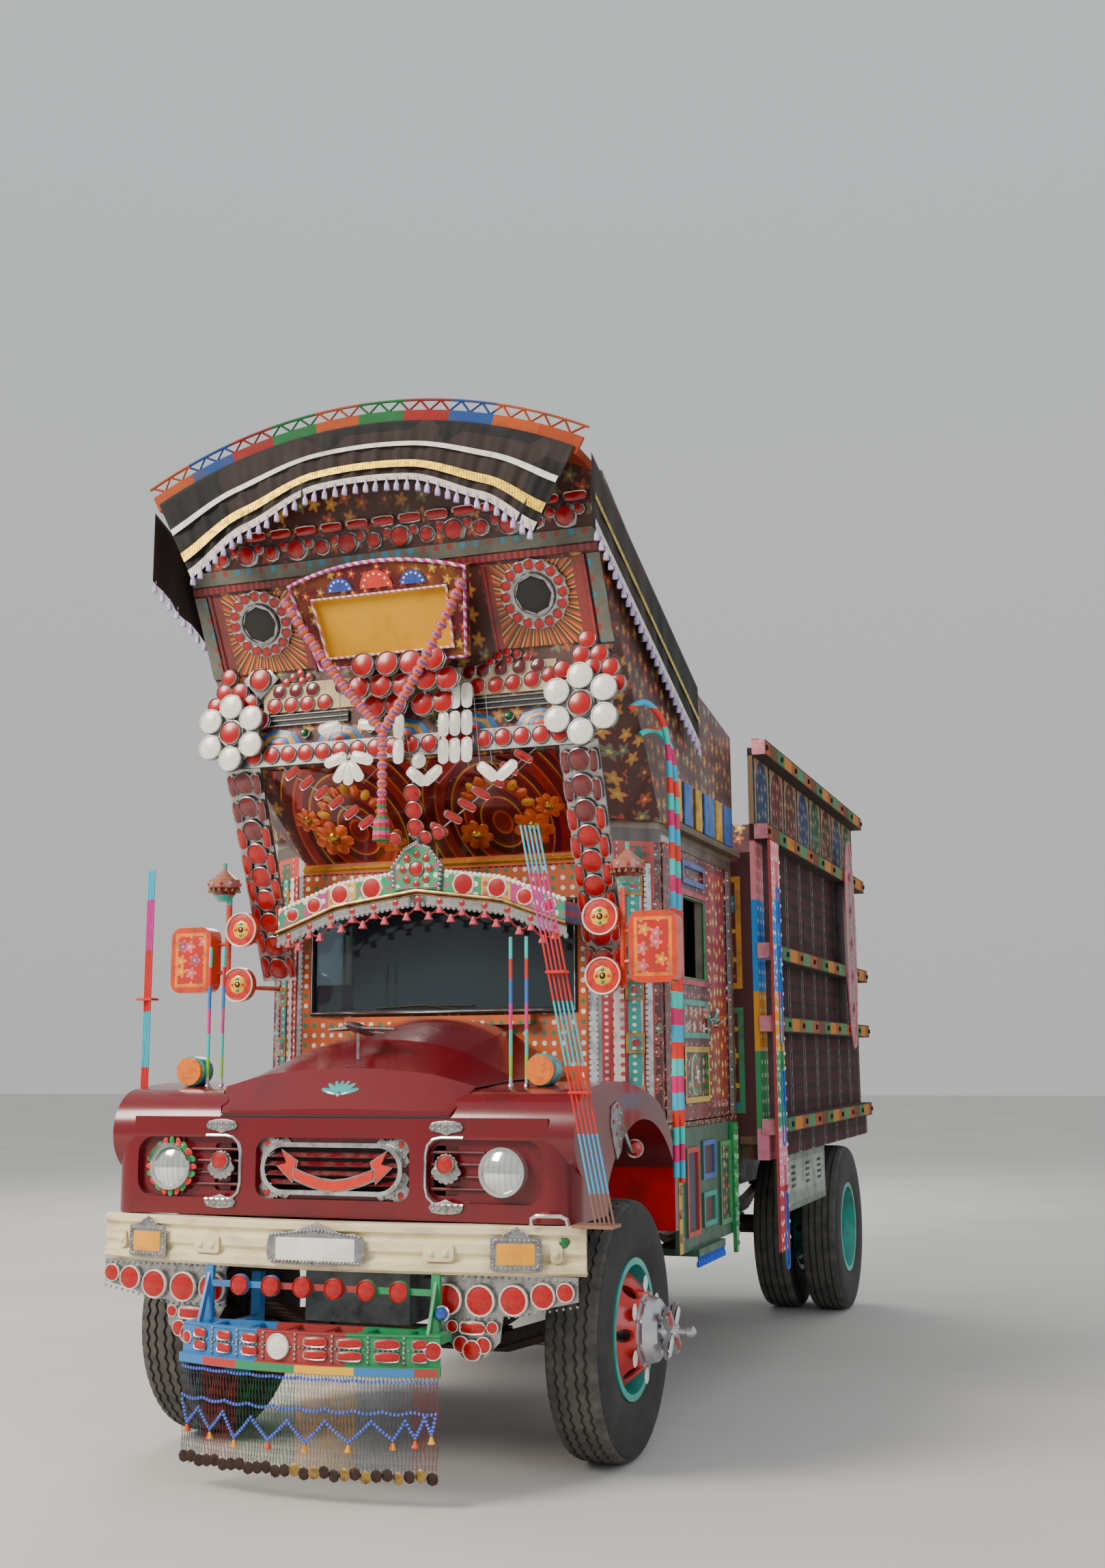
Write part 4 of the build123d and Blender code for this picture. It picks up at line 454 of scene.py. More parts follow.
TASSEL = turned("tassel", ((0, 0.0), (0.006, -0.002), (0.007, -0.012), (0.004, -0.018), (0.011, -0.034),
                           (0.012, -0.058), (0, -0.061)), steps=9)
RIBBON_THICKNESS = 0.003
for name, low, high, y, material in (("valance_ribbon", 0.66, 0.77, -0.621, gold_ribbon),
                                     ("valance_braid", 0.875, 0.975, -0.622, cream_braid_cord_shade),
                                     ("valance_piping", 0.36, 0.43, -0.620, white_piping)):
    bm = bmesh.new()
    ladder(bm, [[on_valance(i / 48 - 1, share, y) for share in (low, high)] for i in range(97)])
    bmesh.ops.solidify(bm, geom=bm.faces[:], thickness=RIBBON_THICKNESS)
    make_piece(name, bm, [material], "truck", smooth=60)
TASSEL_COUNT = 37
bm = bmesh.new()
for i in range(TASSEL_COUNT):
    hung_at = on_valance(-0.975 + 1.95 * i / (TASSEL_COUNT - 1), 0.93, -0.622)
    stamp(bm, TASSEL, shifted(*hung_at) @ Matrix.Rotation(0.06 * sin(i * 2.3), 4, "Y"))
make_piece("valance_tassels", bm, [lilac_wool], "truck")

# The flank pieces are cut as lopsided four-sided panels and nailed along their upper edge.
CURTAIN_FRONT, CURTAIN_RUN = -0.555, 1.630
CURTAIN_TOP, CURTAIN_FOOT = (4.028, 3.397), (3.712, 3.072)  # heights at the front and the rear


def on_curtain(along, up, ripple=0.0):
    """The y and z at a share of the flank's run and of the curtain's height."""
    top = CURTAIN_TOP[0] + (CURTAIN_TOP[1] - CURTAIN_TOP[0]) * along
    foot = CURTAIN_FOOT[0] + (CURTAIN_FOOT[1] - CURTAIN_FOOT[0]) * along + ripple
    return CURTAIN_FRONT + CURTAIN_RUN * along, foot + (top - foot) * up


for side, label in ((1, "left"), (-1, "right")):
    bm, shares = cloth_grid(120, 16, 1.76, 0.32, centred=False)
    for v, (along, up) in shares.items():
        fold = 0.006 * sin(along * 52 + sin(along * 11)) * (1 - up) ** 0.7
        v.co = (side * (1.039 + fold), *on_curtain(along, up, 0.008 * sin(along * 33)))
    curtain = cloth_piece(f"side_curtain_{label}", bm, black_cotton)
    if side > 0:
        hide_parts("side_curtains")
    bm = bmesh.new()
    for low, high, paint in ((0.42, 0.50, 0), (0.04, 0.15, 1)):
        ladder(bm, [[(side * 1.0475, *on_curtain(0.01 + 0.98 * i / 40, share)) for share in (low, high)]
                    for i in range(41)], paint)
    bmesh.ops.solidify(bm, geom=bm.faces[:], thickness=RIBBON_THICKNESS)
    make_piece(f"curtain_ribbons_{label}", bm, [gold_ribbon, cream_braid_cord_shade], "truck", smooth=60)
    bm = bmesh.new()
    for i in range(27):
        along = 0.02 + 0.96 * i / 26
        stamp(bm, TASSEL, shifted(side * 1.048, CURTAIN_FRONT + CURTAIN_RUN * along, 3.735 - 0.640 * along))
    make_piece(f"curtain_tassels_{label}", bm, [lilac_wool], "truck")


# ---- Bead garland --------------------------------------------------------------------------
# Plastic beads threaded on a cord: two legs from the sign's corners meet under it, and a drop
# with a wool tassel hangs from there.
LEG_BEADS = 17
LEG_REACH, LEG_RISE = 0.430, 0.600
BEAD_RADIUS = 0.027
# Moulded plastic with a pearly skin, coral with a violet belt: slick and bright.
pink_bead = finish("pearly_bead", "e07448", "c44a70", patch=0.015, grain=0.0008, rough=(0.2, 0.3), coat=0.5,
                   bump=0.05)
violet_bead = finish("violet_bead", "7b3fa0", "4d2a78", patch=0.01, grain=0.0008, rough=(0.25, 0.35),
                     coat=0.4, bump=0.05)
BEAD = turned("bead", ((0, -1.0), (0.45, -0.9), (0.8, -0.6), (0.93, -0.2), (1.0, -0.12), (1.0, 0.12),
                       (0.93, 0.2), (0.8, 0.6), (0.45, 0.9), (0, 1.0)), steps=12)
for face in BEAD.polygons:
    face.material_index = 1 if abs(face.center.z) < 0.17 else 0
bm = bmesh.new()
for side in (1, -1):
    for i in range(LEG_BEADS):
        s = (i + 0.5) / LEG_BEADS
        x, y = side * LEG_REACH * s, -0.330 - 0.130 * s
        z = 2.990 + LEG_RISE * s - 0.120 * s * (1 - s)
        lean = atan2(LEG_REACH, LEG_RISE) * side
        stamp(bm, BEAD, shifted(x, y, z) @ Matrix.Rotation(lean, 4, "Y") @
              Matrix.Scale(BEAD_RADIUS * 0.92, 4))
for z in (2.963, 2.920, 2.880, 2.838, 2.797, 2.757, 2.718):
    stamp(bm, BEAD, shifted(0, -0.33, z) @ Matrix.Scale(0.023, 4))
garland = make_piece("bead_garland_strings", bm, [pink_bead, violet_bead], "truck")
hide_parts("bead_garland")
# Dyed wool yarn: matt and fuzzy, in rounds of green, red and pink.
dyed_wool = finish("dyed_wool", repeat("Z", 0.05, ((0.0, "1f8a4d"), (0.33, "c8202c"), (0.66, "e0559a"))),
                   "7c2a4c", patch=0.01, grain=0.001, rough=(0.8, 0.95), bump=0.7)
bm = bmesh.new()
stamp(bm, TASSEL, shifted(0, -0.33, 2.700) @ Matrix.Scale(3.25, 4))
make_piece("garland_tassel", bm, [dyed_wool], "truck")


# ---- Wings, bonnet and nose panel ----------------------------------------------------------
# Pressed steel under many coats of maroon enamel, glossy on top and dusty low down, with a
# black rubber rod along the bonnet's front edge as painted shade for its shut line. The CAD
# solids carry the paint themselves.
def dress(material, *nodes):
    """Gives CAD nodes their finish."""
    for node in nodes:
        cad_nodes[node].material_slots[0].material = material


def sized(x, y, z):
    """The matrix of a stretch along the three axes."""
    return Matrix.Diagonal((x, y, z, 1))


def plate(bm, outline, y, thick, paint=0, bevel=0.0, place=None):
    """A flat plate cut to (x, z) points, its back at y and its front a thickness nearer."""
    face = bm.faces.new([bm.verts.new((x, y, z)) for x, z in outline])
    grown = bmesh.ops.extrude_face_region(bm, geom=[face])["geom"]
    front = [v for v in grown if isinstance(v, bmesh.types.BMVert)]
    bmesh.ops.translate(bm, vec=(0, -thick, 0), verts=front)
    verts = set(front) | set(face.verts)
    for f in {f for v in verts for f in v.link_faces}:
        f.material_index = paint
    if bevel:
        rim = {e for v in front for e in v.link_edges if e.other_vert(v) in front}
        cut = bmesh.ops.bevel(bm, geom=list(rim), offset=bevel, offset_type="OFFSET", segments=2, profile=0.5,
                              affect="EDGES", material=-1)
        verts |= set(cut["verts"])
    if place:
        bmesh.ops.transform(bm, matrix=place, verts=[v for v in verts if v.is_valid])


def rod(bm, points, radius, closed=False, paint=0, sides=8):
    """A round bar or tube that follows the points."""
    line = bpy.data.curves.new("rod", "CURVE")
    line.dimensions = "3D"
    line.bevel_depth = radius
    line.bevel_resolution = (sides - 4) // 2
    line.use_fill_caps = not closed
    run = line.splines.new("POLY")
    run.points.add(len(points) - 1)
    for point, place in zip(run.points, points):
        point.co = (*place, 1)
    run.use_cyclic_u = closed
    holder = bpy.data.objects.new("rod", line)
    shape = bpy.data.meshes.new_from_object(holder)
    for face in shape.polygons:
        face.material_index = paint
    bm.from_mesh(shape)
    bpy.data.objects.remove(holder)
    bpy.data.meshes.remove(shape)


def around(x, z, half_wide, half_high, corner, steps=5):
    """The (x, z) points of a rounded rectangle."""
    points = []
    for i, (sx, sz) in enumerate(((1, 1), (-1, 1), (-1, -1), (1, -1))):
        for k in range(steps + 1):
            turn = radians(90 * (i + k / steps))
            points.append((x + sx * (half_wide - corner) + corner * cos(turn),
                           z + sz * (half_high - corner) + corner * sin(turn)))
    return points


WHEEL_WALL, WALL_TOP = 0.618, 1.12


def nose_paint(tree, place):
    """Maroon, and signal red on the wall behind each wheel."""
    parts = axes(tree, place)
    off = calc(tree, "SUBTRACT", parts["Y"], AXLE_Y + WHEEL_WALL)
    near = calc(tree, "LESS_THAN", calc(tree, "ABSOLUTE", off), 0.0006)
    low = calc(tree, "LESS_THAN", parts["Z"], WALL_TOP)
    wall = calc(tree, "MULTIPLY", near, low)
    return mixed(tree, wall, tone("6c0916"), tone("d40c0c"))


# Hand-brushed enamel over steel: deep gloss, with dust that dulls it in broad patches.
maroon_enamel = finish("maroon_enamel", nose_paint, "4a0c16", patch=0.25, grain=0.004, rough=(0.20, 0.30),
                       coat=0.3, bump=0.03, wear=(0.5, 0.85))
# Extruded rubber: black and matt, chalky where it has weathered.
seal_rubber = finish("seal_rubber", "141212", "2a2624", patch=0.05, grain=0.001, rough=(0.6, 0.8), bump=0.2)
dress(maroon_enamel, "nose_panel", "wing_left", "wing_right", "bonnet")
# A black rubber rod along the bonnet's front edge: painted shade for the dark shut line there.
bm = bmesh.new()
rod(bm, [(x, -0.7385 + 0.012 * abs(x) ** 3, 1.3705) for x in [i / 20 - 0.5 for i in range(21)]], 0.005)
make_piece("bonnet_shut_line_shade", bm, [seal_rubber], "truck")

# Chromed zinc: a mirror that clouds a little. Pressed tin: duller, with a hammered skin.
chrome_plate = finish("chrome_plate", "dfe1e3", "a7a39c", patch=0.06, grain=0.002, rough=(0.06, 0.18),
                      metal=1.0, bump=0.02)
pressed_tin = finish("pressed_tin", "a6a7a7", "6c675e", patch=0.03, grain=0.004, rough=(0.22, 0.4), metal=0.9,
                     bump=0.5)
# Moulded acrylic lens: clear gloss over saturated red, with the facets that send light back.
red_lens = finish("red_lens", "b40202", "7e0303", patch=0.01, grain=0.0015, rough=(0.22, 0.34), coat=0.3,
                  bump=0.25)
white_lens = finish("white_lens", "f0ede4", "c9c2b4", patch=0.01, grain=0.0015, rough=(0.2, 0.35), coat=0.5,
                    bump=0.2)
REFLECTOR = turned("reflector", ((0, 0), (1.0, 0), (1.0, 0.18), (0.92, 0.24), (0.88, 0.15), (0.46, 0.26),
                                 (0, 0.30)), steps=16, metal_from=4)
STUD = turned("stud", ((0, 0), (1.0, 0), (0.94, 0.3), (0.6, 0.62), (0, 0.75)), steps=8)
PETAL = turned("petal", ((0, 0), (1.0, 0), (0.97, 0.12), (0.5, 0.22), (0, 0.25)), steps=10)
PETAL.transform(sized(0.62, 1.0, 1.0))

# A pressed leaf badge in turquoise glass enamel on the bonnet's nose, veins raised.
turquoise_enamel = finish("turquoise_enamel", "2fa8a8", "1d6f7a", patch=0.03, grain=0.001, rough=(0.15, 0.3),
                          coat=0.5, bump=0.05)
bm = bmesh.new()
BADGE_ROOT, BONNET_FACING = (0, -0.684, 1.452), (0, -0.74, 0.67)
for lean in range(-72, 73, 24):
    spread = at(*BADGE_ROOT, 1, BONNET_FACING) @ Matrix.Rotation(radians(-lean), 4, "Z")
    reach = 0.060 + 0.028 * cos(radians(lean)) + 0.018 * abs(sin(radians(lean)))
    stamp(bm, PETAL, spread @ shifted(0, reach * 0.52, 0.004) @ sized(0.021, reach * 0.55, 0.03))
stamp(bm, STUD, at(*BADGE_ROOT, 0.016, BONNET_FACING), (1,))
make_piece("bonnet_badge", bm, [turquoise_enamel, pressed_tin], "bonnet")


# ---- Grille --------------------------------------------------------------------------------
# A chromed oval ring round maroon slats in the recess, a pressed tin fan with a red reflector
# in each corner, and a tin ribbon painted orange-red across the slats.
LAMP_Z = 1.170  # the height of the grille's and the lamps' middle line


def slat_share(tree, place):
    """1 on the slats and 0 on the ring, from the distance to the slot's middle line."""
    parts = axes(tree, place)
    side = calc(tree, "ABSOLUTE", parts["X"])
    over = calc(tree, "SUBTRACT", side, 0.205)
    past = calc(tree, "MAXIMUM", over, 0.0)
    high = calc(tree, "SUBTRACT", parts["Z"], LAMP_Z)
    flat = add_node(tree, "CombineXYZ", {0: past, 1: high}).outputs[0]
    far = add_node(tree, "VectorMath", {0: flat}, operation="LENGTH").outputs["Value"]
    return calc(tree, "LESS_THAN", far, 0.081)


def slats_or_ring(tree, place):
    """Maroon on the slats, bright on the ring."""
    return mixed(tree, slat_share(tree, place), tone("dfe1e3"), tone("6a1420"))


def ring_metal(tree, place):
    """Bare metal on the ring alone."""
    return calc(tree, "SUBTRACT", 1.0, slat_share(tree, place))


# Chrome on the ring and maroon enamel on the slats inside it, both filmed with road dirt.
grille_finish = finish("grille_finish", slats_or_ring, "70584f", patch=0.05, grain=0.002, rough=(0.12, 0.28),
                       metal=ring_metal, bump=0.03)
dress(grille_finish, "grille")
# Signal paint on tin: flat orange-red, chipped to grey at its edges.
ribbon_paint = finish("ribbon_paint", "dc2410", "a83a28", patch=0.05, grain=0.002, rough=(0.3, 0.45),
                      coat=0.2, bump=0.08)
CORNER_FAN = ((0.000, 0.000), (0.052, 0.012), (0.075, -0.006), (0.118, 0.008), (0.135, -0.012),
              (0.096, -0.030), (0.060, -0.040), (0.040, -0.062), (0.030, -0.098), (0.012, -0.112),
              (-0.006, -0.088), (0.006, -0.060), (-0.010, -0.040))
bm = bmesh.new()
for sx in (1, -1):
    for sz in (1, -1):
        outline = [(sx * (0.322 - px), LAMP_Z + sz * (0.112 + pz * 0.92)) for px, pz in CORNER_FAN]
        if sx * sz > 0:
            outline.reverse()
        plate(bm, outline, -0.716, 0.006, bevel=0.002)
        stamp(bm, REFLECTOR, at(sx * 0.293, -0.722, LAMP_Z + sz * 0.096, 0.0135), (0, 1))
        for px, pz in ((0.075, 0.0), (0.10, -0.006), (0.018, -0.072), (0.012, -0.095), (0.055, -0.018),
                       (0.03, -0.045)):
            stamp(bm, STUD, at(sx * (0.322 - px), -0.721, LAMP_Z + sz * (0.112 + pz * 0.92), 0.0065))
make_piece("grille_corner_fans", bm, [pressed_tin, red_lens], "truck")

BANNER_LINE = ((-0.158, 1.152), (-0.100, 1.128), (-0.040, 1.112), (0.015, 1.106), (0.070, 1.112),
               (0.130, 1.128), (0.188, 1.152))
BANNER_HALF = 0.019
BANNER_TAIL = ((-0.213, 1.238), (-0.146, 1.198), (-0.168, 1.122), (-0.232, 1.180), (-0.190, 1.190))
bm = bmesh.new()
for grow, y, paint in ((0.006, -0.748, 0), (-0.001, -0.7515, 1)):
    for middle, flip in ((0.0, 1), (0.030, -1)):
        centre = (sum(x for x, z in BANNER_TAIL) / 5, sum(z for x, z in BANNER_TAIL) / 5)
        share = 1.0 + grow * 22
        tail = [(middle + flip * (centre[0] + (x - centre[0]) * share), centre[1] + (z - centre[1]) * share)
                for x, z in BANNER_TAIL]
        plate(bm, tail if flip > 0 else tail[::-1], y + 0.004, 0.003, paint)
    top = [(x, z + BANNER_HALF + grow) for x, z in BANNER_LINE]
    foot = [(x, z - BANNER_HALF - grow) for x, z in BANNER_LINE]
    plate(bm, [(top[0][0] - grow, top[0][1])] + top[1:-1] +
          [(top[-1][0] + grow, top[-1][1]), (foot[-1][0] + grow, foot[-1][1])] + foot[-2:0:-1] +
          [(foot[0][0] - grow, foot[0][1])], y, 0.003, paint)
make_piece("grille_ribbon", bm, [pressed_tin, ribbon_paint], "truck")


# ---- Headlamps -----------------------------------------------------------------------------
# Round sealed lamps with chromed rims in side recesses that have a chromed tube round them; a
# red reflector on a tin flower sits at each recess's inner end, tin scrolls above and below.
HEADLAMP_X = 0.720
GLASS_RADIUS = 0.0765


def far_from(tree, first, second, point):
    """The distance of two sockets from a fixed point in their flat."""
    flat = add_node(tree, "CombineXYZ", {0: first, 1: second}).outputs[0]
    return add_node(tree, "VectorMath", {0: flat, 1: (*point, 0)}, operation="DISTANCE").outputs["Value"]


def lamp_tones(tree, place):
    """Fine flutes on the glass, drawn as painted light in paler and darker stripes, and the rim's plain metal
    round it.
    """
    parts = axes(tree, place)
    side = calc(tree, "ABSOLUTE", parts["X"])
    far = far_from(tree, side, parts["Z"], (HEADLAMP_X, LAMP_Z))
    on_glass = calc(tree, "LESS_THAN", far, GLASS_RADIUS)
    flutes = add_node(tree, "TexWave", {"Vector": place, "Scale": 14.0, "Distortion": 0.0}).outputs["Fac"]
    flute_glints = add_node(tree, "ValToRGB", {0: flutes}, stops=((0.0, "cfd6d4"), (1.0, "eff2ee"))).outputs[0]
    return mixed(tree, on_glass, tone("dfe1e3"), flute_glints)


# Fluted glass over an aluminised bowl: silvery, brighter than the rim, and lined with painted light along the
# flutes.
headlamp_finish = finish("headlamp_glass", lamp_tones, "b9b8b0", patch=0.08, grain=0.003, rough=(0.06, 0.16),
                         metal=0.82, coat=1.0, bump=0.03)
dress(headlamp_finish, "headlamps")
bm = bmesh.new()
for side in (1, -1):
    bow = [(side * x, -0.742, LAMP_Z + z) for x, z in ((0.560, 0.124), (0.470, 0.124), (0.436, 0.118),
                                                       (0.412, 0.096), (0.404, 0.060), (0.404, -0.060),
                                                       (0.412, -0.096), (0.436, -0.118), (0.470, -0.124),
                                                       (0.560, -0.124))]
    rod(bm, bow, 0.0065)
    for height in (-0.068, -0.023, 0.023, 0.068):
        rod(bm, [(side * 0.420, -0.722, LAMP_Z + height), (side * 0.640, -0.720, LAMP_Z + height)], 0.007,
            paint=1)
# The nose's maroon dulled by grit, on the slats in the recesses.
slat_maroon = finish("slat_maroon", "5a0812", "3c0c12", patch=0.1, grain=0.003, rough=(0.45, 0.6), bump=0.05)
make_piece("recess_frames", bm, [chrome_plate, slat_maroon], "truck")
SCROLL = ((-0.072, 0.0), (-0.060, 0.018), (-0.030, 0.024), (0.0, 0.026), (0.030, 0.024), (0.060, 0.018),
          (0.072, 0.0), (0.060, -0.014), (0.024, -0.020), (0.0, -0.030), (-0.024, -0.020), (-0.060, -0.014))
bm = bmesh.new()
for side in (1, -1):
    x = side * 0.490
    for i in range(16):
        turn = radians(22.5 * i)
        reach = 0.047 if cos(turn) > -0.3 else 0.062
        out_x, out_z = 0.62 * reach * sin(turn), 0.62 * reach * cos(turn)
        stamp(bm, PETAL, at(x + out_x, -0.742, 1.190 + out_z - 0.004, 0.46 * reach, turn=-22.5 * i), (0,))
    stamp(bm, REFLECTOR, at(x, -0.750, 1.196, 0.037), (0, 1))
    for z, flip in ((1.332, 1), (1.036, -1)):
        outline = [(x + px, z + flip * pz) for px, pz in SCROLL]
        if flip > 0:
            outline.reverse()
        plate(bm, outline, -0.741, 0.006, bevel=0.0015)
        for px in (-0.052, -0.026, 0.0, 0.026, 0.052):
            for pz in (-0.008, 0.010):
                stamp(bm, STUD, at(x + px, -0.746, z + pz, 0.0075), (0,))
make_piece("nose_jewels", bm, [pressed_tin, red_lens], "truck")
# The right-hand lamp wears a scalloped tin collar in green and red, and a green visor: glossy
# leaf-green enamel beside the signal paint.
leaf_enamel = finish("leaf_enamel", "1f8f4a", "11582e", patch=0.03, grain=0.0015, rough=(0.2, 0.35), coat=0.4,
                     bump=0.05)
bm = bmesh.new()
for i in range(20):
    x, z = -HEADLAMP_X + 0.100 * sin(radians(18 * i)), LAMP_Z + 0.100 * cos(radians(18 * i))
    stamp(bm, PETAL, at(x, -0.744, z, 0.019, turn=18 * i), (i % 2,))
rows = []
for turn in range(-75, 76, 10):
    across, up = sin(radians(turn)), cos(radians(turn))
    rows.append([bm.verts.new(point) for point in (
        (-HEADLAMP_X + 0.094 * across, -0.770 - 0.018 * up, LAMP_Z + 0.094 * up),
        (-HEADLAMP_X + 0.090 * across, -0.745, LAMP_Z + 0.090 * up))])
visor = [bm.faces.new((a, b, d, c)) for (a, b), (c, d) in zip(rows, rows[1:])]
bmesh.ops.solidify(bm, geom=visor, thickness=0.002)
make_piece("lamp_collar", bm, [leaf_enamel, ribbon_paint], "truck")


# ---- Bumper --------------------------------------------------------------------------------
# A pressed steel bar with three rounded ribs, cream enamel over rust, carrying a blank plate
# in a tin crest in the middle, a yellow plate a side in a beaded frame, and bolt plates.
cream_enamel = finish("cream_enamel", "ecdcb0", "a8946c", patch=0.22, grain=0.003, rough=(0.28, 0.5),
                      coat=0.25, bump=0.06, wear=(0.48, 0.8), stretch=(1, 1, 2.5))
dress(cream_enamel, "front_bumper")
# Painted plates, left blank: satin white, and amber yellow with a little gloss.
blank_plate = finish("blank_plate", "f1efe9", "cfc9bd", patch=0.12, grain=0.003, rough=(0.3, 0.45), coat=0.2,
                     bump=0.04)
yellow_plate = finish("yellow_plate", "eea21e", "c9781a", patch=0.10, grain=0.003, rough=(0.3, 0.45),
                      coat=0.3, bump=0.04)
BOW_RADIUS, BOW_MIDDLE = 4.225, 3.375


def on_bumper(x, z, proud):
    """A plate's place on the bumper's bow, turned to lie along it."""
    forward = BOW_MIDDLE - sqrt(BOW_RADIUS ** 2 - x * x) - proud
    return shifted(x, forward, z) @ Matrix.Rotation(x / BOW_RADIUS, 4, "Z")


bm = bmesh.new()
CREST = [(-0.205, -0.045), (-0.212, 0.0), (-0.200, 0.050), (-0.160, 0.062), (-0.110, 0.060), (-0.070, 0.074),
         (-0.030, 0.088), (0.0, 0.104), (0.030, 0.088), (0.070, 0.074), (0.110, 0.060), (0.160, 0.062),
         (0.200, 0.050), (0.212, 0.0), (0.205, -0.045), (0.10, -0.056), (0.0, -0.060), (-0.10, -0.056)]
centre_place = on_bumper(0.0, 0.880, 0.004)
plate(bm, CREST, 0.0, 0.006, 0, 0.002, centre_place)
plate(bm, around(0, 0, 0.168, 0.042, 0.008)[::-1], -0.006, 0.003, 1, 0.001, centre_place)
for i in range(25):
    share = i / 24
    x = -0.185 + 0.37 * share
    for z in (0.049 + 0.022 * (1 - abs(2 * share - 1)), -0.048):
        stamp(bm, STUD, centre_place @ at(x, -0.006, z, 0.0065), (0,))
for side in (1, -1):
    spot = on_bumper(side * 0.790, 0.880, 0.010)
    plate(bm, around(0, 0, 0.097, 0.062, 0.012)[::-1], 0.0, 0.005, 0, 0.002, spot)
    plate(bm, around(0, 0, 0.072, 0.038, 0.006)[::-1], -0.005, 0.003, 2, 0.001, spot)
    plate(bm, ((-0.062, 0.058), (-0.030, 0.078), (0.0, 0.098), (0.030, 0.078), (0.062, 0.058)), 0.0, 0.005, 0,
          0.0015, spot)
    for x, z in ((-0.045, 0.068), (-0.023, 0.080), (0.0, 0.090), (0.023, 0.080), (0.045, 0.068)):
        stamp(bm, STUD, spot @ at(x, -0.005, z, 0.0062), (0,))
    border = around(0, 0, 0.085, 0.050, 0.012, steps=3)
    border += [(-0.068 + 0.017 * i, z) for i in range(9) for z in (0.050, -0.050)]
    border += [(x, -0.025 + 0.025 * i) for i in range(3) for x in (0.085, -0.085)]
    for x, z in border:
        stamp(bm, STUD, spot @ at(x, -0.005, z, 0.006), (0,))
make_piece("bumper_plates", bm, [pressed_tin, blank_plate, yellow_plate], "truck")
BOLT_HEAD = turned("bolt_head", ((0, 0), (1.0, 0), (1.0, 0.55), (0.85, 0.68), (0, 0.72)), steps=6)
bm = bmesh.new()
for side in (1, -1):
    for x, wide, bolts in ((0.495, 0.060, (-0.028, 0.028)), (0.935, 0.022, (0.0,))):
        spot = on_bumper(side * x, 0.882, 0.002)
        plate(bm, around(0, 0, wide, 0.034, 0.016)[::-1], 0.0, 0.004, 0, 0.0015, spot)
        for dx in bolts:
            stamp(bm, STUD, spot @ at(dx, -0.003, -0.004, 0.014), (0,))
            stamp(bm, BOLT_HEAD, spot @ at(dx, -0.006, -0.004, 0.0085, turn=13), (1,))
handle = [(0.847, -0.776, 0.984), (0.850, -0.786, 1.010), (0.872, -0.790, 1.020), (0.966, -0.786, 1.021),
          (0.986, -0.780, 1.010), (0.989, -0.770, 0.984)]
rod(bm, handle, 0.008, paint=2)
make_piece("bumper_bolts", bm, [cream_enamel, cream_enamel, chrome_plate], "truck")


# ---- Front rack and its fringe -------------------------------------------------------------
# A welded shelf of flat steel under the bumper, brush-painted blue, red and green from right to
# left, with a beaded tin band of reflectors and a fringe of small chains, beads and coins.
bm = bmesh.new()
bmesh.ops.create_circle(bm, cap_ends=True, segments=12, radius=1.0)
for v in bm.verts:
    v.co.y += 1.15 if v.co.y > 0.01 else (-1.15 if v.co.y < -0.01 else 0)
bmesh.ops.extrude_face_region(bm, geom=bm.faces[:])
bmesh.ops.translate(bm, vec=(0, 0, 0.30), verts=bm.verts[len(bm.verts) // 2:])
top = max(bm.faces, key=lambda f: f.calc_center_median().z)
bmesh.ops.inset_individual(bm, faces=[top], thickness=0.20, depth=-0.08)
top.material_index = 1
bmesh.ops.inset_individual(bm, faces=[top], thickness=0.30, depth=0.16)
for face in bm.faces:
    if face.calc_center_median().z > 0.2 and all(abs(v.co.x) < 0.85 for v in face.verts):
        face.material_index = 1
CAPSULE = keep_shape("capsule", bm)


def zones(axis, edges, colours):
    """A pattern of flat colours between the places in metres; there is one colour more."""
    low, high = edges[0] - 0.5, edges[-1] + 0.5
    shares = [0.0] + [(edge - low) / (high - low) for edge in edges]
    return bands(axis, low, high - low, tuple(zip(shares, colours)))


BLUE, RED, GREEN, YELLOW = "2f77b8", "c02a26", "1f8a52", "e9b21c"
rack_enamel = finish("rack_enamel", zones("X", (-0.175, 0.190), (BLUE, "9c3330", GREEN)), "5c4a40",
                     patch=0.06, grain=0.003, rough=(0.35, 0.55), coat=0.15, bump=0.12, wear=(0.55, 0.8))
dress(rack_enamel, "front_rack")
RACK_RADIUS, RACK_MIDDLE = 1.7578, 0.7728


def on_rack(x, proud=0.0):
    """The y of the rack's curved front at that x."""
    return RACK_MIDDLE - sqrt((RACK_RADIUS + proud) ** 2 - x * x)


def rack_spot(x, z, size, proud=0.0, turn=0.0):
    """A place on the rack's front, facing out of it."""
    return at(x, on_rack(x, proud), z, size, (x / RACK_RADIUS, -1, 0), turn)


# Tin embossed in beads, which glitters, and the flange's brush paint under it.
beaded_tin = finish("beaded_tin", "bfc0be", "7d7568", patch=0.02, grain=0.005, rough=(0.2, 0.4), metal=0.85,
                    bump=0.8)
rack_flange = finish("rack_flange_enamel", zones("X", (-0.425, -0.262, -0.005, 0.235, 0.455),
                                                 (BLUE, RED, GREEN, YELLOW, BLUE, "a33a35")), "5c4a40",
                     patch=0.05, grain=0.003, rough=(0.35, 0.55), coat=0.15, bump=0.12, wear=(0.6, 0.85))


def rack_strip(low, high, proud, thick):
    """A strip of tin bent round the rack's front."""
    strip = bmesh.new()
    places = [0.538 * (i / 20 - 1) for i in range(41)]
    ladder(strip, [[(x, on_rack(x, proud), z) for z in (low, high)] for x in places])
    bmesh.ops.recalc_face_normals(strip, faces=strip.faces)
    bmesh.ops.solidify(strip, geom=strip.faces[:], thickness=thick)
    return strip


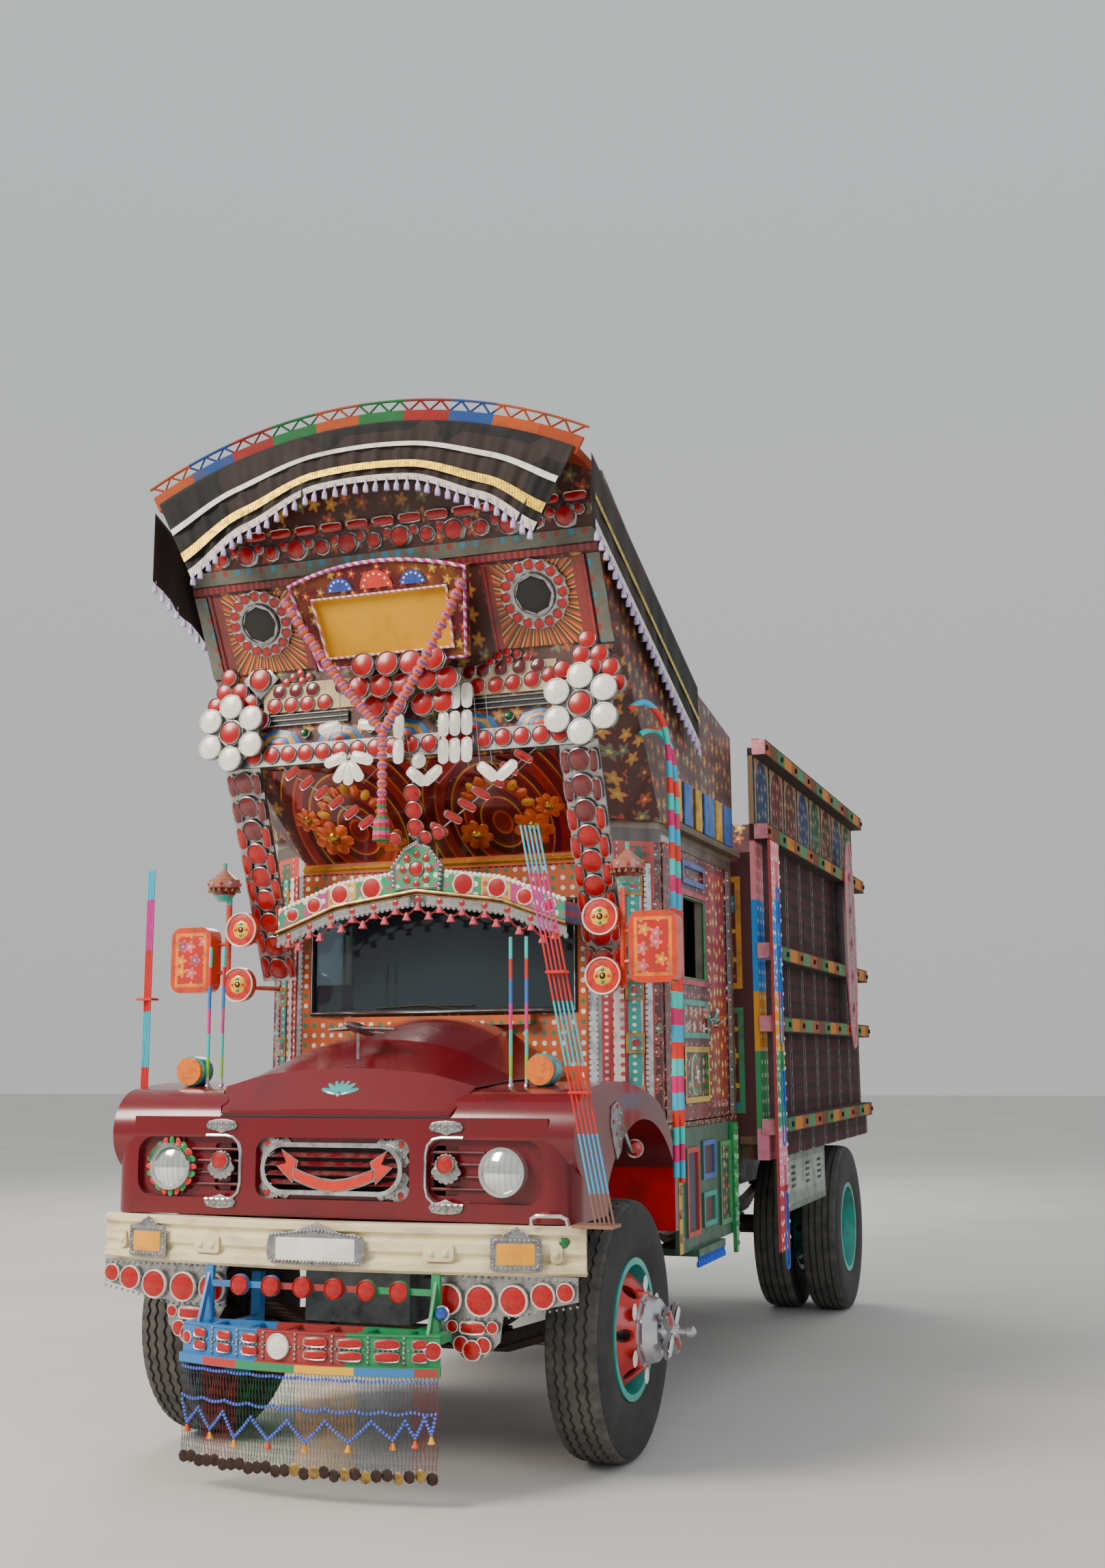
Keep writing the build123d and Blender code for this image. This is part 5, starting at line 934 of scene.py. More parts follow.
make_piece("rack_band", rack_strip(0.494, 0.598, -0.0005, 0.003), [beaded_tin], "truck")
make_piece("rack_flange_paint", rack_strip(0.458, 0.486, 0.0185, 0.001), [rack_flange], "truck")
bm = bmesh.new()
RACK_PAIRS = ((-0.445, 0.034), (-0.325, 0.036), (-0.205, 0.038), (0.075, 0.050), (0.210, 0.052),
              (0.350, 0.052), (0.468, 0.030))
for x, half in RACK_PAIRS:
    for z in (0.568, 0.523):
        stamp(bm, CAPSULE, rack_spot(x, z, 1, 0.002, 90) @ sized(0.0195, half / 2.15, 0.022), (0, 1))
stamp(bm, REFLECTOR, rack_spot(-0.078, 0.545, 0.047, 0.002), (2, 2))
stamp(bm, REFLECTOR, rack_spot(0.515, 0.545, 0.034, 0.001), (2, 1))
stamp(bm, REFLECTOR, rack_spot(-0.515, 0.545, 0.024, 0.001), (2, 1))
for x in (-0.385, -0.265, -0.145, -0.008, 0.142, 0.280, 0.412):
    for k in range(6):
        stamp(bm, STUD, rack_spot(x, 0.502 + 0.0175 * k, 0.0065, 0.002), (0,))
for i in range(58):
    stamp(bm, STUD, rack_spot(-0.52 + 1.04 * i / 57, 0.5455, 0.005, 0.002), (0,))
make_piece("rack_reflectors", bm, [pressed_tin, red_lens, white_lens], "truck")
bm = bmesh.new()
for x in (-0.340, -0.204, -0.068, 0.068, 0.204, 0.340):
    stamp(bm, REFLECTOR, at(x, -0.832, 0.735, 0.0385), (0, 0))
make_piece("rack_bar_reflectors", bm, [red_lens], "truck")

# Electric-welded chain in painted sections; it is drawn with links 22 mm long, about twice the
# real ones, so that they show.
CHAIN_EDGES = (-0.428, -0.262, -0.005, 0.235, 0.440)
fringe_steel = finish("fringe_steel", zones("X", CHAIN_EDGES,
                                            ("5d6a74", "9a3f38", "1f6b3c", "c28a22", "66727c", "9c2f2f")),
                      "453a33", patch=0.05, grain=0.002, rough=(0.4, 0.65), metal=0.35, bump=0.2,
                      wear=(0.4, 0.8))
bm = bmesh.new()
rod(bm, [(0.0022 * px, 0, pz) for px, pz in ((1, 0.006), (1, -0.006), (-0.2, -0.0095), (-1, -0.006),
                                             (-1, 0.006), (-0.2, 0.0095))], 0.0010, closed=True, sides=4)
LINK = keep_shape("link", bm)
bm = bmesh.new()
STRANDS, LINK_STEP = 78, 0.0155
for i in range(STRANDS):
    x = -0.530 + 1.060 * i / (STRANDS - 1)
    z, k = 0.455, 0
    y = on_rack(x)
    last = 0.115 + 0.022 * sin(i * 1.7) * (0.4 + abs(x))
    while z > last:
        stamp(bm, LINK, shifted(x + 0.0025 * sin(k * 0.8 + i), y + 0.0015 * sin(k * 1.3 + i * 2), z) @
              Matrix.Rotation(radians(90 * (k % 2) + 25), 4, "Z"))
        z -= LINK_STEP
        k += 1
chains = make_piece("fringe_chains", bm, [fringe_steel], "truck")
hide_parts("chain_fringe")

# Glass beads threaded in two rows and a zigzag, plastic bells at its points, and a row of thin
# brass and iron discs that weight the hem.
blue_bead = finish("periwinkle_bead", "5a74e0", "3f4fae", patch=0.02, grain=0.001, rough=(0.2, 0.35),
                   coat=0.4, bump=0.05)
bell_plastic = finish("bell_plastic", repeat("X", 0.19,
                                             ((0.0, "f0a81e"), (0.35, "e8532a"), (0.6, "f4b62a"),
                                              (0.85, "c92c2c"))), "a8601c", patch=0.03, grain=0.002,
                      rough=(0.3, 0.45), bump=0.05)
hem_brass = finish("worn_brass", "a8884c", "5a4630", patch=0.02, grain=0.003, rough=(0.35, 0.55), metal=0.8,
                   bump=0.3)
hem_iron = finish("rusted_iron", "3d2a22", "241a17", patch=0.02, grain=0.003, rough=(0.6, 0.8), metal=0.4,
                  bump=0.4)
SMALL_BEAD = turned("small_bead", ((0, -0.9), (0.8, -0.5), (1.0, 0.0), (0.8, 0.5), (0, 0.9)), steps=6)
BELL = turned("bell", ((0, 1.0), (0.35, 0.9), (0.55, 0.2), (1.0, -0.7), (0.9, -0.8), (0, -0.5)), steps=8)
ZIGZAG = ((-0.527, 0.318), (-0.497, 0.240), (-0.440, 0.298), (-0.380, 0.226), (-0.318, 0.296),
          (-0.262, 0.210), (-0.187, 0.288), (-0.110, 0.216), (-0.030, 0.288), (0.045, 0.218), (0.122, 0.294),
          (0.214, 0.226), (0.300, 0.302), (0.378, 0.240), (0.422, 0.306), (0.458, 0.248), (0.490, 0.318),
          (0.514, 0.262), (0.530, 0.330))
bm = bmesh.new()
for z, sag in ((0.440, 0.004), (0.336, 0.010)):
    for i in range(74):
        x = -0.528 + 1.056 * i / 73
        stamp(bm, SMALL_BEAD, shifted(x, on_rack(x, 0.007), z - sag * abs(sin(i * 0.42))) @
              Matrix.Rotation(pi / 2, 4, "Y") @ Matrix.Scale(0.0068, 4), (0,))
for (ax, az), (bx, bz) in zip(ZIGZAG, ZIGZAG[1:]):
    count = max(2, round(sqrt((bx - ax) ** 2 + (bz - az) ** 2) / 0.0135))
    for i in range(count):
        s = i / count
        x, z = ax + (bx - ax) * s, az + (bz - az) * s - 0.010 * s * (1 - s)
        stamp(bm, SMALL_BEAD, shifted(x, on_rack(x, 0.009), z) @
              Matrix.Rotation(atan2(bx - ax, bz - az), 4, "Y") @ Matrix.Scale(0.0072, 4), (0,))
for x, z in ZIGZAG[1::2]:
    stamp(bm, BELL, shifted(x, on_rack(x, 0.009), z - 0.022) @ Matrix.Scale(0.0145, 4), (1,))
for i in range(27):
    x = -0.515 + 1.030 * i / 26
    kind = 2 if (i * 7) % 5 < 2 and i > 12 else 3
    stamp(bm, STUD, at(x, on_rack(x, 0.003), 0.113 + 0.006 * sin(i * 2.1), 1, (0.05 * sin(i), -1, 0)) @
          sized(0.0235, 0.0235, 0.003), (kind,))
make_piece("fringe_beads", bm, [blue_bead, bell_plastic, hem_brass, hem_iron], "truck")


# ---- Tin skirts ----------------------------------------------------------------------------
# Pressed tin sheets with a rolled edge, screwed under the bumper's ends, each with a row of
# red reflectors and a pendant of smaller ones.
dress(pressed_tin, "tin_skirts")
SKIRT_DISCS = ((0.505, 0.706, 0.060), (0.637, 0.706, 0.060), (0.770, 0.712, 0.058), (0.885, 0.732, 0.049),
               (0.972, 0.748, 0.036), (0.525, 0.610, 0.024), (0.685, 0.612, 0.024), (0.560, 0.548, 0.032),
               (0.650, 0.548, 0.032), (0.605, 0.528, 0.040))
bm = bmesh.new()
for side in (1, -1):
    for x, z, size in SKIRT_DISCS:
        stamp(bm, REFLECTOR, at(side * x, -0.7565, z, size * 0.97), (2, 1))
    stamp(bm, CAPSULE, at(side * 0.605, -0.7565, 0.608, 1, turn=90) @ sized(0.025, 0.025, 0.025), (2, 1))
    for i in range(22):
        x = 0.452 + 0.56 * i / 21
        stamp(bm, STUD, at(side * x, -0.743, 0.788, 0.0055), (0,))
        stamp(bm, STUD, at(side * x, -0.743, 0.640 + 0.055 * max(0, (x - 0.70) / 0.3), 0.0055), (0,))
make_piece("skirt_reflectors", bm, [pressed_tin, red_lens, white_lens], "truck")
LAMP_BALL = turned("lamp_ball", ((0, -1.1), (1.1, -1.1), (1.15, -0.3), (0.95, -0.2), (0.9, 0.3), (0.6, 0.75),
                                 (0, 0.95)), steps=16, metal_from=3)
# A blue glass ball in a chromed socket, at the rack's left end: clear gloss.
blue_lens = finish("blue_lens", "1f4fa8", "12306e", patch=0.02, grain=0.001, rough=(0.08, 0.15), coat=0.8,
                   bump=0.02)
bm = bmesh.new()
stamp(bm, LAMP_BALL, at(0.515, -0.838, 0.665, 0.026, (0.3, -1, 0)), (0, 1))
rod(bm, [(0.483, -0.812, 0.672), (0.515, -0.812, 0.665)], 0.005)
make_piece("rack_side_lamp", bm, [chrome_plate, blue_lens], "truck")


# ---- Tyres ---------------------------------------------------------------------------------
# Cross-ply truck tyres: the front pair has five zigzag ribs and toothed shoulders, the rear
# ones straight ribs. The tread is cut round a turned carcass, and the side walls are plain.
TYRE_RADIUS = 0.510
TREAD_HALF = 0.100
ZIGZAG_TEETH = 60
RIB_GROOVES = (-0.060, -0.022, 0.022, 0.060)
# Sulphur-cured rubber: dark grey, matt, chalky with road dust on the tread.
tread_rubber = finish("tread_rubber", "3a3a38", "6d685f", patch=0.08, grain=0.004, rough=(0.75, 0.92),
                      bump=0.4, wear=(0.35, 0.9))
wall_rubber = finish("wall_rubber", "232324", "4a4742", patch=0.15, grain=0.003, rough=(0.6, 0.8), bump=0.15,
                     wear=(0.45, 0.9))


def tyre_shape(name, zigzag):
    """One tyre about the origin, its axle along X, with grooves sunk into its tread."""
    columns = [-0.104, -0.096, -0.088]
    for groove in RIB_GROOVES:
        columns += [groove - 0.0065, groove - 0.0045, groove + 0.0045, groove + 0.0065]
    columns = sorted(columns + [0.088, 0.096, 0.104])
    steps = ZIGZAG_TEETH * 4
    wall = ((0.108, 0.485), (0.115, 0.455), (0.1185, 0.415), (0.118, 0.375), (0.113, 0.335), (0.107, 0.306),
            (0.099, 0.286), (0.0965, 0.277), (0.0965, 0.262))
    bm = bmesh.new()
    profile = [(-x, r) for x, r in reversed(wall)] + [(x, TYRE_RADIUS) for x in columns] + list(wall)
    verts = [bm.verts.new((x, 0, r)) for x, r in profile]
    for a, b in zip(verts, verts[1:] + verts[:1]):
        bm.edges.new((a, b))
    bmesh.ops.spin(bm, geom=bm.verts[:] + bm.edges[:], cent=(0, 0, 0), axis=(1, 0, 0), angle=2 * pi,
                   steps=steps, use_merge=True)
    bmesh.ops.remove_doubles(bm, verts=bm.verts, dist=1e-6)
    for v in bm.verts:
        r = sqrt(v.co.y ** 2 + v.co.z ** 2)
        if abs(v.co.x) > 0.1045 or r < 0.4:
            continue
        turn = atan2(v.co.y, v.co.z)
        tooth = (turn / (2 * pi) * ZIGZAG_TEETH) % 1
        swing = (abs(tooth - 0.5) * 4 - 1) * (0.0055 if zigzag else 0.0)
        nearest = min(RIB_GROOVES, key=lambda groove: abs(groove - v.co.x))
        crown = TYRE_RADIUS - 0.012 * (v.co.x / TREAD_HALF) ** 4
        depth = 0.0
        if abs(nearest - v.co.x) < 0.005:
            depth = 0.011
        if zigzag and abs(v.co.x) > 0.087:
            depth = 0.010 if tooth < 0.42 else 0.0
        if abs(v.co.x) > 0.10:
            depth += 0.004
        if abs(nearest - v.co.x) < 0.008:
            v.co.x += swing
        scale = (crown - depth) / r
        v.co.y *= scale
        v.co.z *= scale
    for face in bm.faces:
        centre = face.calc_center_median()
        face.material_index = 0 if abs(centre.x) < 0.104 and centre.yz.length > 0.45 else 1
    return keep_shape(name, bm)


front_tyre, rear_tyre = tyre_shape("front_tyre", True), tyre_shape("rear_tyre", False)
REAR_AXLE_Y = 4.240
AXLE_HEIGHT = 0.510
TYRES = (  # piece, CAD node, body, shape, axle y, middles along x
    ("front_tyre_left", "tyre_front_left", "wheel_front_left", front_tyre, 0.0, (0.897,)),
    ("front_tyre_right", "tyre_front_right", "wheel_front_right", front_tyre, 0.0, (-0.897,)),
    ("rear_tyres_left", "tyres_rear_left", "wheels_rear_left", rear_tyre, REAR_AXLE_Y, (0.735, 1.040)),
    ("rear_tyres_right", "tyres_rear_right", "wheels_rear_right", rear_tyre, REAR_AXLE_Y, (-0.735, -1.040)),
)
for name, node, body, shape, y, middles in TYRES:
    bm = bmesh.new()
    for x in middles:
        stamp(bm, shape, shifted(x, y, AXLE_HEIGHT), (0, 1))
    tyre = make_piece(name, bm, [tread_rubber, wall_rubber], body, smooth=40)
    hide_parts(node)


# ---- Rims and hub spinners -----------------------------------------------------------------
# Pressed steel wheels: a turquoise barrel, a red dished disc with white dots between its hand
# holes, a bright hub ring, and a spinner of four reflector blades with a ball tip.
def hub_share(tree, low, high, middle_y):
    """1 where the distance from the axle is between low and high."""
    place = add_node(tree, "TexCoord").outputs["Object"]
    parts = axes(tree, place)
    far = far_from(tree, parts["Y"], parts["Z"], (middle_y, AXLE_HEIGHT))
    over = calc(tree, "GREATER_THAN", far, low)
    under = calc(tree, "LESS_THAN", far, high)
    return calc(tree, "MULTIPLY", over, under)


def front_rim_tones(tree, place):
    """Turquoise outside, red on the dished disc, pale on the hub."""
    red = mixed(tree, hub_share(tree, 0.0, 0.226, AXLE_Y), tone("12a596"), tone("c9201c"))
    return mixed(tree, hub_share(tree, 0.0, 0.137, AXLE_Y), red, tone("c9ccd0"))


def front_rim_metal(tree, place):
    """Bare metal on the hub alone."""
    return calc(tree, "MULTIPLY", hub_share(tree, 0.0, 0.137, AXLE_Y), 0.9)


# Brush enamel on pressed steel, chipped to a dull brown; the rear wheels are plain turquoise.
rim_finish = finish("front_rim_finish", front_rim_tones, "8a5a4a", patch=0.12, grain=0.003, rough=(0.2, 0.38),
                    coat=0.3, bump=0.05, metal=front_rim_metal, wear=(0.6, 0.95))
rear_rim_finish = finish("rear_rim_finish", "12a596", "4f6a5c", patch=0.12, grain=0.003, rough=(0.3, 0.5),
                         coat=0.2, bump=0.08)
dress(rim_finish, "rim_front_left", "rim_front_right")
dress(rear_rim_finish, "rims_rear_left", "rims_rear_right")
# Chalky white dots of enamel.
white_dot = finish("white_enamel", "f2f0ea", "c8bfb2", patch=0.03, grain=0.002, rough=(0.3, 0.45), coat=0.2,
                   bump=0.05)
HUB_X = 0.897


def on_hub(side, out, turn, reach):
    """A place out along the axle, turned round it by degrees, a reach off it."""
    return (shifted(side * (HUB_X + out), 0, AXLE_HEIGHT) @ Matrix.Rotation(radians(turn), 4, "X") @
            shifted(0, 0, reach))


BALL_TIP = turned("ball_tip", ((0, -1.0), (0.5, -0.87), (0.87, -0.5), (1.0, 0.0), (0.87, 0.5), (0.5, 0.87),
                               (0, 1.0)), steps=14)
for side, label in ((1, "left"), (-1, "right")):
    bm = bmesh.new()
    for i in range(6):
        spot = on_hub(side, 0.1508, 60 * i, 0.178)
        stamp(bm, STUD, spot @ Matrix.Rotation(side * pi / 2, 4, "Y") @ sized(0.0335, 0.0335, 0.002), (0,))
    for i in range(8):
        spot = on_hub(side, 0.1505, 45 * i + 22.5, 0.142)
        stamp(bm, BOLT_HEAD, spot @ Matrix.Rotation(side * pi / 2, 4, "Y") @ Matrix.Scale(0.009, 4), (1,))
    for i in range(4):
        for face, out in ((1, 0.2635), (-1, 0.2465)):
            spot = on_hub(side, out, 45 + 90 * i, 0.070) @ Matrix.Rotation(side * face * pi / 2, 4, "Y")
            stamp(bm, CAPSULE, spot @ Matrix.Rotation(pi / 2, 4, "Z") @ sized(0.0255, 0.0225, 0.020),
                  (1, 2 + i % 2))
    stamp(bm, BALL_TIP, on_hub(side, 0.3355, 0, 0) @ Matrix.Rotation(pi / 2, 4, "Y") @
          Matrix.Scale(0.0222, 4), (2,))
    make_piece(f"hub_spinner_{label}", bm, [white_dot, chrome_plate, red_lens, white_lens],
               f"wheel_front_{label}")


# ---- Wing lamps and aerial rods ------------------------------------------------------------
# Amber lamps in turquoise bezels on short black stems over an orange-red foot; between and
# outside them, thin steel rods wound with bright tape, in pairs and in leaning bundles.
WING_LAMP_X, WING_LAMP_Z = 0.790, 1.545
# Amber glass: clear gloss over a fine grain.
amber_lens = finish("amber_lens", "ee7a12", "b8500c", patch=0.02, grain=0.003, rough=(0.08, 0.2), coat=0.8,
                    bump=0.25)
dress(amber_lens, "wing_lamps")
bm = bmesh.new()
BEZEL = turned("bezel", ((0.96, -1.12), (1.05, -1.1), (1.10, -0.9), (1.10, 0.25), (1.05, 0.32), (0.96, 0.30),
                         (0.96, -1.12)), steps=24)
for side in (1, -1):
    stamp(bm, BEZEL, at(side * WING_LAMP_X, -0.495, WING_LAMP_Z, 0.058), (0,))
    rod(bm, [(side * WING_LAMP_X, -0.488, 1.430), (side * WING_LAMP_X, -0.488, 1.492)], 0.017, paint=1,
        sides=12)
    stamp(bm, STUD, at(side * WING_LAMP_X, -0.488, 1.446, 1, (0, -0.2, 1)) @ sized(0.075, 0.060, 0.022), (2,))
make_piece("wing_lamp_mounts", bm, [turquoise_enamel, seal_rubber, ribbon_paint], "truck")

# Vinyl tape over spring steel: satin, one bright colour after another up each rod.
TEAL, MAGENTA = "1fc4b4", "d42a86"
bundle_tape = finish("bundle_tape", zones("Z", (1.10, 1.31, 1.56, 1.80, 2.06, 2.28),
                                          ("8a6350", "27a9da", "d3221f", "27b9c6", "d3221f", "c92a8c",
                                           "27b9d6")), "5a4038", patch=0.04, grain=0.002, rough=(0.3, 0.45),
                     bump=0.15, wear=(0.65, 0.95))
dress(bundle_tape, "antenna_rods")
pair_tape = finish("pair_tape", zones("Z", (1.515, 1.60, 1.70, 1.80, 1.90, 1.98),
                                      ("b9bcc0", "86c83a", TEAL, MAGENTA, "2f6fc0", "d3221f", TEAL)),
                   "5a4038", patch=0.04, grain=0.002, rough=(0.3, 0.45), bump=0.15, wear=(0.65, 0.95))
bm = bmesh.new()
for side in (1, -1):
    for x in (0.655, 0.722):
        rod(bm, [(side * x, -0.490, 1.462), (side * x, -0.490, 2.068)], 0.0072, sides=10)
        stamp(bm, BEAD, shifted(side * x, -0.490, 1.476) @ sized(0.014, 0.014, 0.022), (1, 1))
make_piece("rod_pair_tape", bm, [pair_tape, chrome_plate], "truck")

# Side marker lamps: a red one on a tin arm over the arch, a green one under the wing's corner.
# The green glass is dark and clear.
bm = bmesh.new()
green_lens = finish("green_lens", "0f6e3a", "0a3f22", patch=0.02, grain=0.001, rough=(0.08, 0.15), coat=0.8,
                    bump=0.02)
rod(bm, [(0.985, -0.10, 1.335), (1.000, -0.07, 1.255), (1.004, -0.03, 1.215), (1.006, 0.01, 1.210)], 0.009,
    paint=0)
stamp(bm, LAMP_BALL, at(1.006, 0.018, 1.222, 0.034, (0.45, -0.85, 0.15)), (0, 1))
rod(bm, [(0.950, -0.690, 1.000), (0.955, -0.700, 0.955), (0.955, -0.705, 0.935)], 0.008, paint=0)
stamp(bm, LAMP_BALL, at(0.955, -0.712, 0.915, 0.030, (0.2, -0.95, 0.25)), (0, 2))
outline = ((0.0, 0.0), (0.075, 0.02), (0.140, -0.02), (0.160, -0.09), (0.120, -0.18), (0.070, -0.21),
           (0.030, -0.15), (-0.01, -0.07))
quilt = shifted(1.0065, -0.30, 1.40) @ Matrix.Rotation(pi / 2, 4, "Z")
plate(bm, outline[::-1], 0.0, 0.004, 0, 0.0015, quilt)
for px, pz, paint in ((0.02, -0.01, 0), (0.07, 0.0, 1), (0.12, -0.03, 0), (0.135, -0.09, 1), (0.05, -0.05, 0),
                      (0.09, -0.07, 0), (0.06, -0.11, 1), (0.10, -0.13, 0), (0.07, -0.17, 0),
                      (0.02, -0.06, 1)):
    stamp(bm, STUD, quilt @ at(px, -0.004, pz, 0.0085), (paint,))
make_piece("side_markers", bm, [pressed_tin, red_lens, green_lens], "truck")


# ---- Bonnet ornament -----------------------------------------------------------------------
# A small pressed-tin aeroplane on a stalk, its wings edged with red and green beads; it rides
# on the bonnet.
bm = bmesh.new()
plane = shifted(0.0, -0.520, 1.715) @ Matrix.Rotation(radians(-8), 4, "X")
body = turned("aeroplane_body", ((0, -0.150), (0.012, -0.130), (0.020, -0.080), (0.022, 0.0), (0.018, 0.060),
                                 (0.010, 0.110), (0, 0.125)), steps=12)
stamp(bm, body, plane @ Matrix.Rotation(pi / 2, 4, "X"), (0,))
for side in (1, -1):
    wing = [(0.0, -0.030), (side * 0.150, 0.020), (side * 0.150, 0.045), (0.0, 0.030)]
    plate(bm, wing[::side], 0.004, 0.008, 0, 0.002, plane @ Matrix.Rotation(-pi / 2, 4, "X"))
    tail = [(0.0, 0.100), (side * 0.055, 0.125), (side * 0.055, 0.140), (0.0, 0.130)]
    plate(bm, tail[::side], 0.003, 0.006, 0, 0.001, plane @ Matrix.Rotation(-pi / 2, 4, "X"))
    for i in range(5):
        stamp(bm, STUD, plane @ shifted(side * (0.03 + 0.027 * i), -0.012 + 0.011 * i, 0.005) @
              Matrix.Scale(0.0075, 4), (1 + i % 2,))
rod(bm, [(0.0, -0.520, 1.590), (0.0, -0.520, 1.700)], 0.007, paint=0)
make_piece("bonnet_aeroplane", bm, [pressed_tin, red_lens, leaf_enamel], "bonnet")


# ---- Prow boards ---------------------------------------------------------------------------
# The tall wooden prow over the cab, covered with painted and embossed tin: a dark red ground of
# small flowers, rayed panels behind the medallions, and dotted strips along its edges.
def blossoms(size, ground, petals, eye, flat="XZ", outline="f4e9d8"):
    """A pattern of five-petalled flowers, one a cell, on a flat of two axes."""
    def draw(tree, place):
        parts = axes(tree, place)
        sheet = add_node(tree, "CombineXYZ", {0: parts[flat[0]], 1: parts[flat[1]]}).outputs[0]
        cells = add_node(tree, "TexVoronoi", {"Vector": sheet, "Scale": 1 / size, "Randomness": 0.55},
                         voronoi_dimensions="2D")
        local = add_node(tree, "VectorMath", {0: sheet, 1: cells.outputs["Position"]},
                         operation="SUBTRACT").outputs[0]
        spread = axes(tree, local)
        turn = calc(tree, "ARCTAN2", spread["Y"], spread["X"])
        lobes = calc(tree, "COSINE", calc(tree, "MULTIPLY", turn, 5.0))
        edge = calc(tree, "MULTIPLY_ADD", lobes, 0.10 * size, 0.33 * size)
        far = add_node(tree, "VectorMath", {0: local}, operation="LENGTH").outputs["Value"]
        share = calc(tree, "DIVIDE", far, edge)
        hue = add_node(tree, "SeparateColor", {0: cells.outputs["Color"]}).outputs[0]
        chosen = stepped(tree, hue, petals)
        inside = stepped(tree, share, ((0.0, 1.0), (0.3, 0.0)))
        flower = mixed(tree, inside, chosen, tone(eye))
        rimmed = stepped(tree, share, ((0.0, 0.0), (0.82, 1.0)))
        ringed = mixed(tree, rimmed, flower, tone(outline))
        outside = calc(tree, "GREATER_THAN", share, 1.0)
        return mixed(tree, outside, ringed, tone(ground))
    return draw


def spots(pitch, size, spot, ground, flat="XZ", other=None):
    """Round spots in a square grid; other is a second spot colour."""
    def draw(tree, place):
        parts = axes(tree, place)
        sheet = add_node(tree, "CombineXYZ", {0: parts[flat[0]], 1: parts[flat[1]]}).outputs[0]
        cells = add_node(tree, "TexVoronoi", {"Vector": sheet, "Scale": 1 / pitch, "Randomness": 0.0},
                         voronoi_dimensions="2D")
        inside = calc(tree, "LESS_THAN", cells.outputs["Distance"], size / pitch)
        hue = add_node(tree, "SeparateColor", {0: cells.outputs["Color"]}).outputs[0]
        chosen = stepped(tree, hue, ((0.0, spot), (0.5, other or spot)))
        base = ground(tree, place) if callable(ground) else tone(ground)
        return mixed(tree, inside, base, chosen)
    return draw


PROW_PETALS = ((0.0, "b8442a"), (0.3, "c98a34"), (0.6, "7d2c2f"), (0.8, "5d7358"))


def prow_tones(tree, place):
    """The same flowers on the face and, turned, on the two flanks."""
    face, flank = (blossoms(0.085, "4a1c18", PROW_PETALS, "d9b048", flat=flat, outline="8c4a34")(tree, place)
                   for flat in ("XZ", "YZ"))
    parts = axes(tree, place)
    side = calc(tree, "ABSOLUTE", parts["X"])
    outer = calc(tree, "GREATER_THAN", side, 0.988)
    lining = calc(tree, "GREATER_THAN", side, 0.920)
    behind = calc(tree, "GREATER_THAN", parts["Y"], AXLE_Y + 0.06)
    inner = calc(tree, "MULTIPLY", lining, behind)
    turned_side = calc(tree, "MAXIMUM", outer, inner)
    return mixed(tree, turned_side, face, flank)


# Enamelled tin over board: half gloss, dulled by smoke and dust, the drawing a hand's breadth.
prow_enamel = finish("prow_enamel", prow_tones, "4a3a30", patch=0.3, grain=0.004, rough=(0.35, 0.6),
                     coat=0.15, bump=0.15, wear=(0.4, 0.85))
dress(prow_enamel, "crown_shell")
PROW_LINE = ((2.470, 0.345), (2.930, -0.090), (3.350, -0.100), (3.700, -0.290), (4.300, -0.500))


def prow_at(x, z, size=1.0, proud=0.010, turn=0.0):
    """A place on the prow's broken front line, facing out of it."""
    for (low, y0), (high, y1) in zip(PROW_LINE, PROW_LINE[1:]):
        if z <= high:
            break
    lean = Vector((0, low - high, y1 - y0)).normalized()
    y = y0 + (y1 - y0) * (z - low) / (high - low)
    return at(x, y + lean.y * proud, z + lean.z * proud, size, lean, turn)


def block(x, y, z, bevel=0.0):
    """A box of that size about the origin, with its edges eased."""
    box = bmesh.new()
    bmesh.ops.create_cube(box, size=1.0, matrix=sized(x, y, z))
    if bevel:
        bmesh.ops.bevel(box, geom=box.edges[:], offset=bevel, segments=1, profile=0.5, affect="EDGES",
                        material=-1)
    return keep_shape("block", box)


def panel_on_prow(bm, x0, x1, z0, z1, thick, paint):
    """A thin board on one facet of the prow."""
    middle = prow_at((x0 + x1) / 2, (z0 + z1) / 2, proud=0.0)
    height = (z1 - z0) / abs((middle.to_3x3() @ Vector((0, 0, 1))).y)
    stamp(bm, block(x1 - x0, height, thick, 0.0015), middle @ shifted(0, 0, thick / 2), (paint,))


def rays(tree, place):
    """Orange and yellow rays round each medallion, on a dark ground with a red border."""
    parts = axes(tree, place)
    side = calc(tree, "ABSOLUTE", parts["X"])
    out = calc(tree, "SUBTRACT", side, 0.668)
    up = calc(tree, "SUBTRACT", parts["Z"], 3.545)
    turn = calc(tree, "ARCTAN2", up, out)
    turns = calc(tree, "MULTIPLY", turn, 28 / (2 * pi))
    share = calc(tree, "FRACT", turns)
    ray = stepped(tree, share, ((0.0, "d9782a"), (0.22, "b23a22"), (0.45, "2f3a22"), (0.62, "e0a63a"),
                                (0.8, "7c2320")))
    reach = calc(tree, "MAXIMUM", calc(tree, "ABSOLUTE", out), calc(tree, "ABSOLUTE", up))
    return mixed(tree, calc(tree, "GREATER_THAN", reach, 0.185), ray, tone("8c2b28"))


